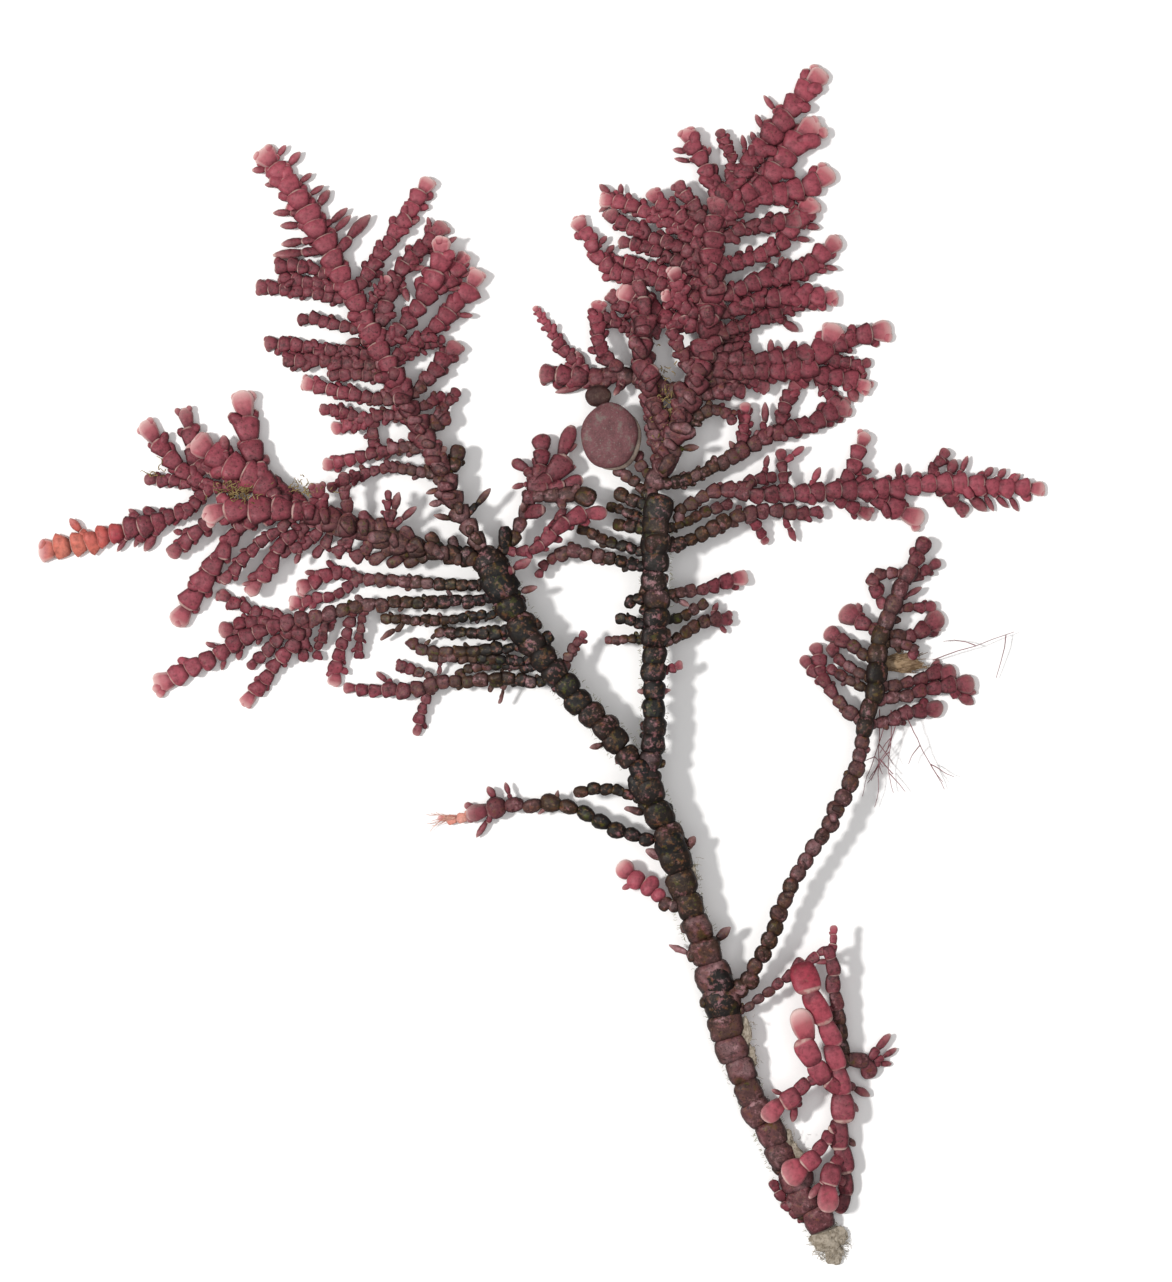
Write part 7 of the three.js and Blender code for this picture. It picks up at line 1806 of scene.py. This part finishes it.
# %% Hang the red filaments
FILAMENTS = [
    [
        (33.4, 0.5, 1.0), (34.4, 0.9, 1.3), (35.5, 1.3, 1.5), (37, 1.7, 1.5), (38.5, 2.3, 1.3),
        (40.3, 2.9, 1.0),
    ],
    [(37, 1.75, 1.5), (36.2, 2.05, 1.4), (35.2, 2.2, 1.2), (34.3, 2.1, 1.0)],
    [(39.6, 2.65, 1.2), (39.5, 1.6, 1.1), (39.2, 0.4, 0.9), (38.8, -1, 0.7)],
]
# The five hang from these places and fan out from the middle one.
HANG_FROM = (28.8, 29.3, 29.8, 30.4, 31.0)
FAN_MIDDLE = 29.6
FAN = 9
HANGING = dict(y=-3.9, up_down=(-0.4, 0.3), height=2.2, heading=-92, aside=(-8, 8), length=(5.0, 8.8))

dice = random.Random(23)
lines = [[Vector(point) for point in filament] for filament in FILAMENTS]
for x in HANG_FROM:
    start = (x, HANGING["y"] + dice.uniform(*HANGING["up_down"]), HANGING["height"])
    heading = HANGING["heading"] + (x - FAN_MIDDLE) * FAN + dice.uniform(*HANGING["aside"])
    lines += forked(start, heading, dice.uniform(*HANGING["length"]), 5, dice, 1.4, 3)
strands("side_frond_filaments", lines, 0.10, 0.05, red_filament, "side_frond")
print("red filaments:", len(lines))

lines = []
for _ in range(45):
    start = (29.2 + dice.uniform(0, 2.0), -0.5 + dice.uniform(0, 1.3), dice.uniform(1.3, 1.6))
    lines.append(wander(start, dice.uniform(4, 26), dice.uniform(1.0, 2.4), 6, dice, 0.25, 5))
strands("side_frond_film", lines, 0.10, 0.05, brown_film, "side_frond", 4)
print("threads of the brown film:", len(lines))

# %% [markdown]
# Diatoms grow in chains that tangle to a golden-olive fluff where branches cross, so each short curl
# starts on the branch that is nearest to it.

# %% Lay the films of diatoms
NO_BRANCH_HEIGHT = 2.5
CURL_REACH = 6
CURL_WOBBLE = 38
CURL_LENGTHS = (0.5, 1.2)
# Tangles by frond: (x, y, spread across, spread along, curls, reach of a curl, lift over the branch).
LEFT_TANGLES = [
    (-25.4, 14.9, 1.0, 0.5, 90, 0.7, 0.55), (-20.0, 15.0, 0.7, 0.3, 34, 0.6, 0.3),
    (-32.5, 16.6, 0.4, 0.3, 8, 1.0, 0.35),
]
CROWN_TANGLES = [(10.6, 22.0, 0.5, 1.7, 90, 0.6, 0.40)]


def tangle(node, x, y, spread_x, spread_y, count, reach, lift, dice):
    """Short curls over a frond, each starting on its surface."""
    made = []
    for _ in range(count):
        px = x + dice.gauss(0, spread_x)
        py = y + dice.gauss(0, spread_y)
        point, _ = nearest_on(laid_by[node], px, py, CURL_REACH)
        height = NO_BRANCH_HEIGHT if point is None else point[2]
        heading = dice.uniform(0, 360)
        length = reach * dice.uniform(*CURL_LENGTHS)
        made.append(wander((px, py, height + lift), heading, length, CURL_WOBBLE, dice, 0.15, 6))
    return made


lines = [line for row in LEFT_TANGLES for line in tangle("left_frond", *row, dice)]
strands("left_frond_film", lines, 0.10, 0.05, olive_film, "left_frond", 4)
lines = [line for row in CROWN_TANGLES for line in tangle("crown_frond", *row, dice)]
strands("crown_film", lines, 0.11, 0.06, olive_film, "crown_frond", 4)
print("curls on the crown:", len(lines))

# %% [markdown]
# Short hairs stand off both sides of the old lime. A few pale fibres hang from the end of the lower
# branchlet.

# %% Fringe the old stem
HAIRS = {"main_stem": 330, "left_arm": 170, "right_arm": 170}
HAIR = dict(aside=(60, 120), out=0.6, sink=(0, 0.4), bend=(-40, 40), length=(0.15, 0.40))
# How far before and behind a hair the stem is looked at for its way.
LOOK = 0.5


def hair(axis, dice):
    """One short hair on a side of a stem."""
    end = axis["station"][-1]
    station = dice.uniform(0, end)
    here, width = along(axis, station)
    way = (along(axis, min(station + LOOK, end))[0] - along(axis, max(station - LOOK, 0))[0]).normalized()
    hand = dice.choice((-1, 1))
    out = turned(way, hand * dice.uniform(*HAIR["aside"]))
    start = here + out * width * HAIR["out"]
    start.z -= dice.uniform(*HAIR["sink"])
    heading = math.degrees(math.atan2(out.y, out.x)) + dice.uniform(*HAIR["bend"])
    return wander(start, heading, dice.uniform(*HAIR["length"]), 25, dice, 0.1, 3)


for node, count in HAIRS.items():
    lines = [hair(laid_by[node][0], dice) for _ in range(count)]
    strands(node + "_fringe", lines, 0.05, 0.03, fringe_hair, node, 3)
lines = []
for _ in range(7):
    heading = 180 + dice.uniform(-22, 22)
    lines.append(wander((-7.2, -12.9, 1.2), heading, dice.uniform(1.2, 2.6), 8, dice, 0.5))
strands("lower_branchlet_fibres", lines, 0.08, 0.04, pale_fibre, "lower_branchlet", 4)
print("hairs:", HAIRS, "pale fibres:", len(lines))

# %% [markdown]
# The root tuft is a felt of fibres that has trapped sand. Fibres alone would take tens of thousands of
# strands, so a lumpy core gives the felt its body, and a third tree strews grains over it.

# %% Build the tree that strews grains
GRAIN_SIZES = {2: 0.5, 3: 1.3}


def felt_tree():
    """Strews grains over a shape and keeps the shape."""
    tree, given, output = new_tree("sandy felt", Skin="material", Grains_per_mm2="float", Grain_size="float",
                                   Seed="int")
    density = times(tree, given["Grains per mm2"], 1 / MM ** 2)
    strewn = add(tree, "GeometryNodeDistributePointsOnFaces", links={
        "Mesh": given["Geometry"], "Density": density, "Seed": given["Seed"],
    })
    grain = add(tree, "GeometryNodeMeshIcoSphere", {"Subdivisions": 1}, {"Radius": given["Grain size"]})
    size = add(tree, "FunctionNodeRandomValue", GRAIN_SIZES, {"Seed": given["Seed"]}, data_type="FLOAT")
    laid = add(tree, "GeometryNodeInstanceOnPoints", links={
        "Points": strewn.outputs["Points"], "Instance": grain.outputs["Mesh"],
        "Rotation": strewn.outputs["Rotation"], "Scale": size.outputs[1],
    })
    both = add(tree, "GeometryNodeJoinGeometry")
    tree.links.new(laid.outputs["Instances"], both.inputs["Geometry"])
    tree.links.new(given["Geometry"], both.inputs["Geometry"])
    whole = add(tree, "GeometryNodeRealizeInstances", links={"Geometry": both.outputs["Geometry"]})
    coat(tree, output, pressed_flat(tree, whole.outputs["Geometry"]), given["Skin"])
    return tree


FELT_TREE = felt_tree()
print("tree nodes:", len(FELT_TREE.nodes))

# %% [markdown]
# Three cores make the tuft. The same felt clings to the stem in six small films, and a thin brown one is
# the body of the film on the side frond.

# %% Build the root tuft and the films on the stem
GRAIN_SIZE = 0.085
BROAD_LUMPS = 0.16
FINE_LUMPS = 0.08
# The tuft's cores: middle, half sizes and seed.
TUFT = {
    "tuft_core": ((24.3, -48.7, 0.80), (1.25, 1.15, 0.40), 5),
    "tuft_lobe": ((25.2, -48.4, 0.65), (0.95, 0.80, 0.35), 6),
    "tuft_end": ((25.0, -49.9, 0.55), (0.75, 1.05, 0.35), 7),
}
# Sandy film that clings to the right side of the stem: (x, y, height, half width, half length).
FILMS = [
    (17.4, -31.0, 2.2, 0.55, 1.3), (17.9, -33.2, 1.9, 0.50, 1.1), (20.7, -40.2, 1.3, 0.9, 1.2),
    (21.6, -41.8, 1.2, 0.95, 1.2), (23.7, -45.9, 1.2, 0.8, 1.1), (12.9, -17.9, 3.2, 0.45, 1.3),
]
FILM_HALF_HEIGHT = 0.35
FILM_SPREAD = 0.6
TUFT_MIDDLE = (24.7, -49.1)


def felt(name, centre, radii, node, seed, skin=sandy_root, grains=5.0):
    """A lumpy flattened core with grains on it."""
    shape = bmesh.new()
    bmesh.ops.create_icosphere(shape, subdivisions=3, radius=1.0)
    chance = random.Random(seed)
    phases = [chance.uniform(0, 6.3) for _ in range(3)]
    for vertex in shape.verts:
        v = vertex.co
        broad = math.sin(5 * v.x + phases[0]) * math.sin(4 * v.y + phases[1])
        fine = math.sin(11 * v.y + 9 * v.x + phases[2])
        swell = 1 + BROAD_LUMPS * broad + FINE_LUMPS * fine
        place = Vector(centre) + Vector((v.x * radii[0], v.y * radii[1], v.z * radii[2])) * swell + SHIFT
        vertex.co = Vector((place.x, place.y, max(place.z, 0))) * MM
    piece = put_in_scene(name, mesh_of(name, shape))
    grow(piece, FELT_TREE, Skin=skin, Grains_per_mm2=grains, Grain_size=GRAIN_SIZE * MM, Seed=seed)
    return dress(piece, node)


felt("side_frond_film_body", (30.6, 0.25, 1.25), (1.7, 0.80, 0.20), "side_frond", 9, brown_film, 0.3)
for name, (centre, radii, seed) in TUFT.items():
    felt(name, centre, radii, "basal_tuft", seed)
lines = []
for number, (x, y, height, half_width, half_length) in enumerate(FILMS):
    radii = (half_width, half_length, FILM_HALF_HEIGHT)
    felt("stem_film_%d" % number, (x, y, height), radii, "main_stem", 10 + number)
    for _ in range(34):
        px = x + dice.gauss(0, FILM_SPREAD) * half_width
        py = y + dice.gauss(0, FILM_SPREAD) * half_length
        heading = dice.uniform(-100, 60)
        lines.append(wander((px, py, height + 0.2), heading, dice.uniform(0.3, 0.8), 30, dice, 0.3, 5))
strands("stem_film_fibres", lines, 0.05, 0.03, root_fibre, "main_stem", 3)
print("sandy films:", len(FILMS), "with fibres:", len(lines))

# %% [markdown]
# Loose fibres stand off the tuft all round and hide the edge of its core.

# %% Fringe the root tuft
lines = []
for _ in range(230):
    angle = dice.uniform(0, 360)
    reach = dice.uniform(0.3, 1.5)
    start = Vector((*TUFT_MIDDLE, dice.uniform(0.4, 1.1))) + heading_way(angle) * reach
    heading = angle + dice.uniform(-50, 50)
    lines.append(wander(start, heading, dice.uniform(0.3, 0.8), 32, dice, 0.3, 6))
strands("tuft_fibres", lines, 0.06, 0.03, root_fibre, "basal_tuft", 4)
print("tuft fibres:", len(lines))

# %% [markdown]
# The units were only patterns, so they go.

# %% Put the tools away and set the view transform
for unit in list(units.objects):
    bpy.data.objects.remove(unit)
bpy.data.collections.remove(units)
bpy.context.scene.view_settings.view_transform = "Standard"
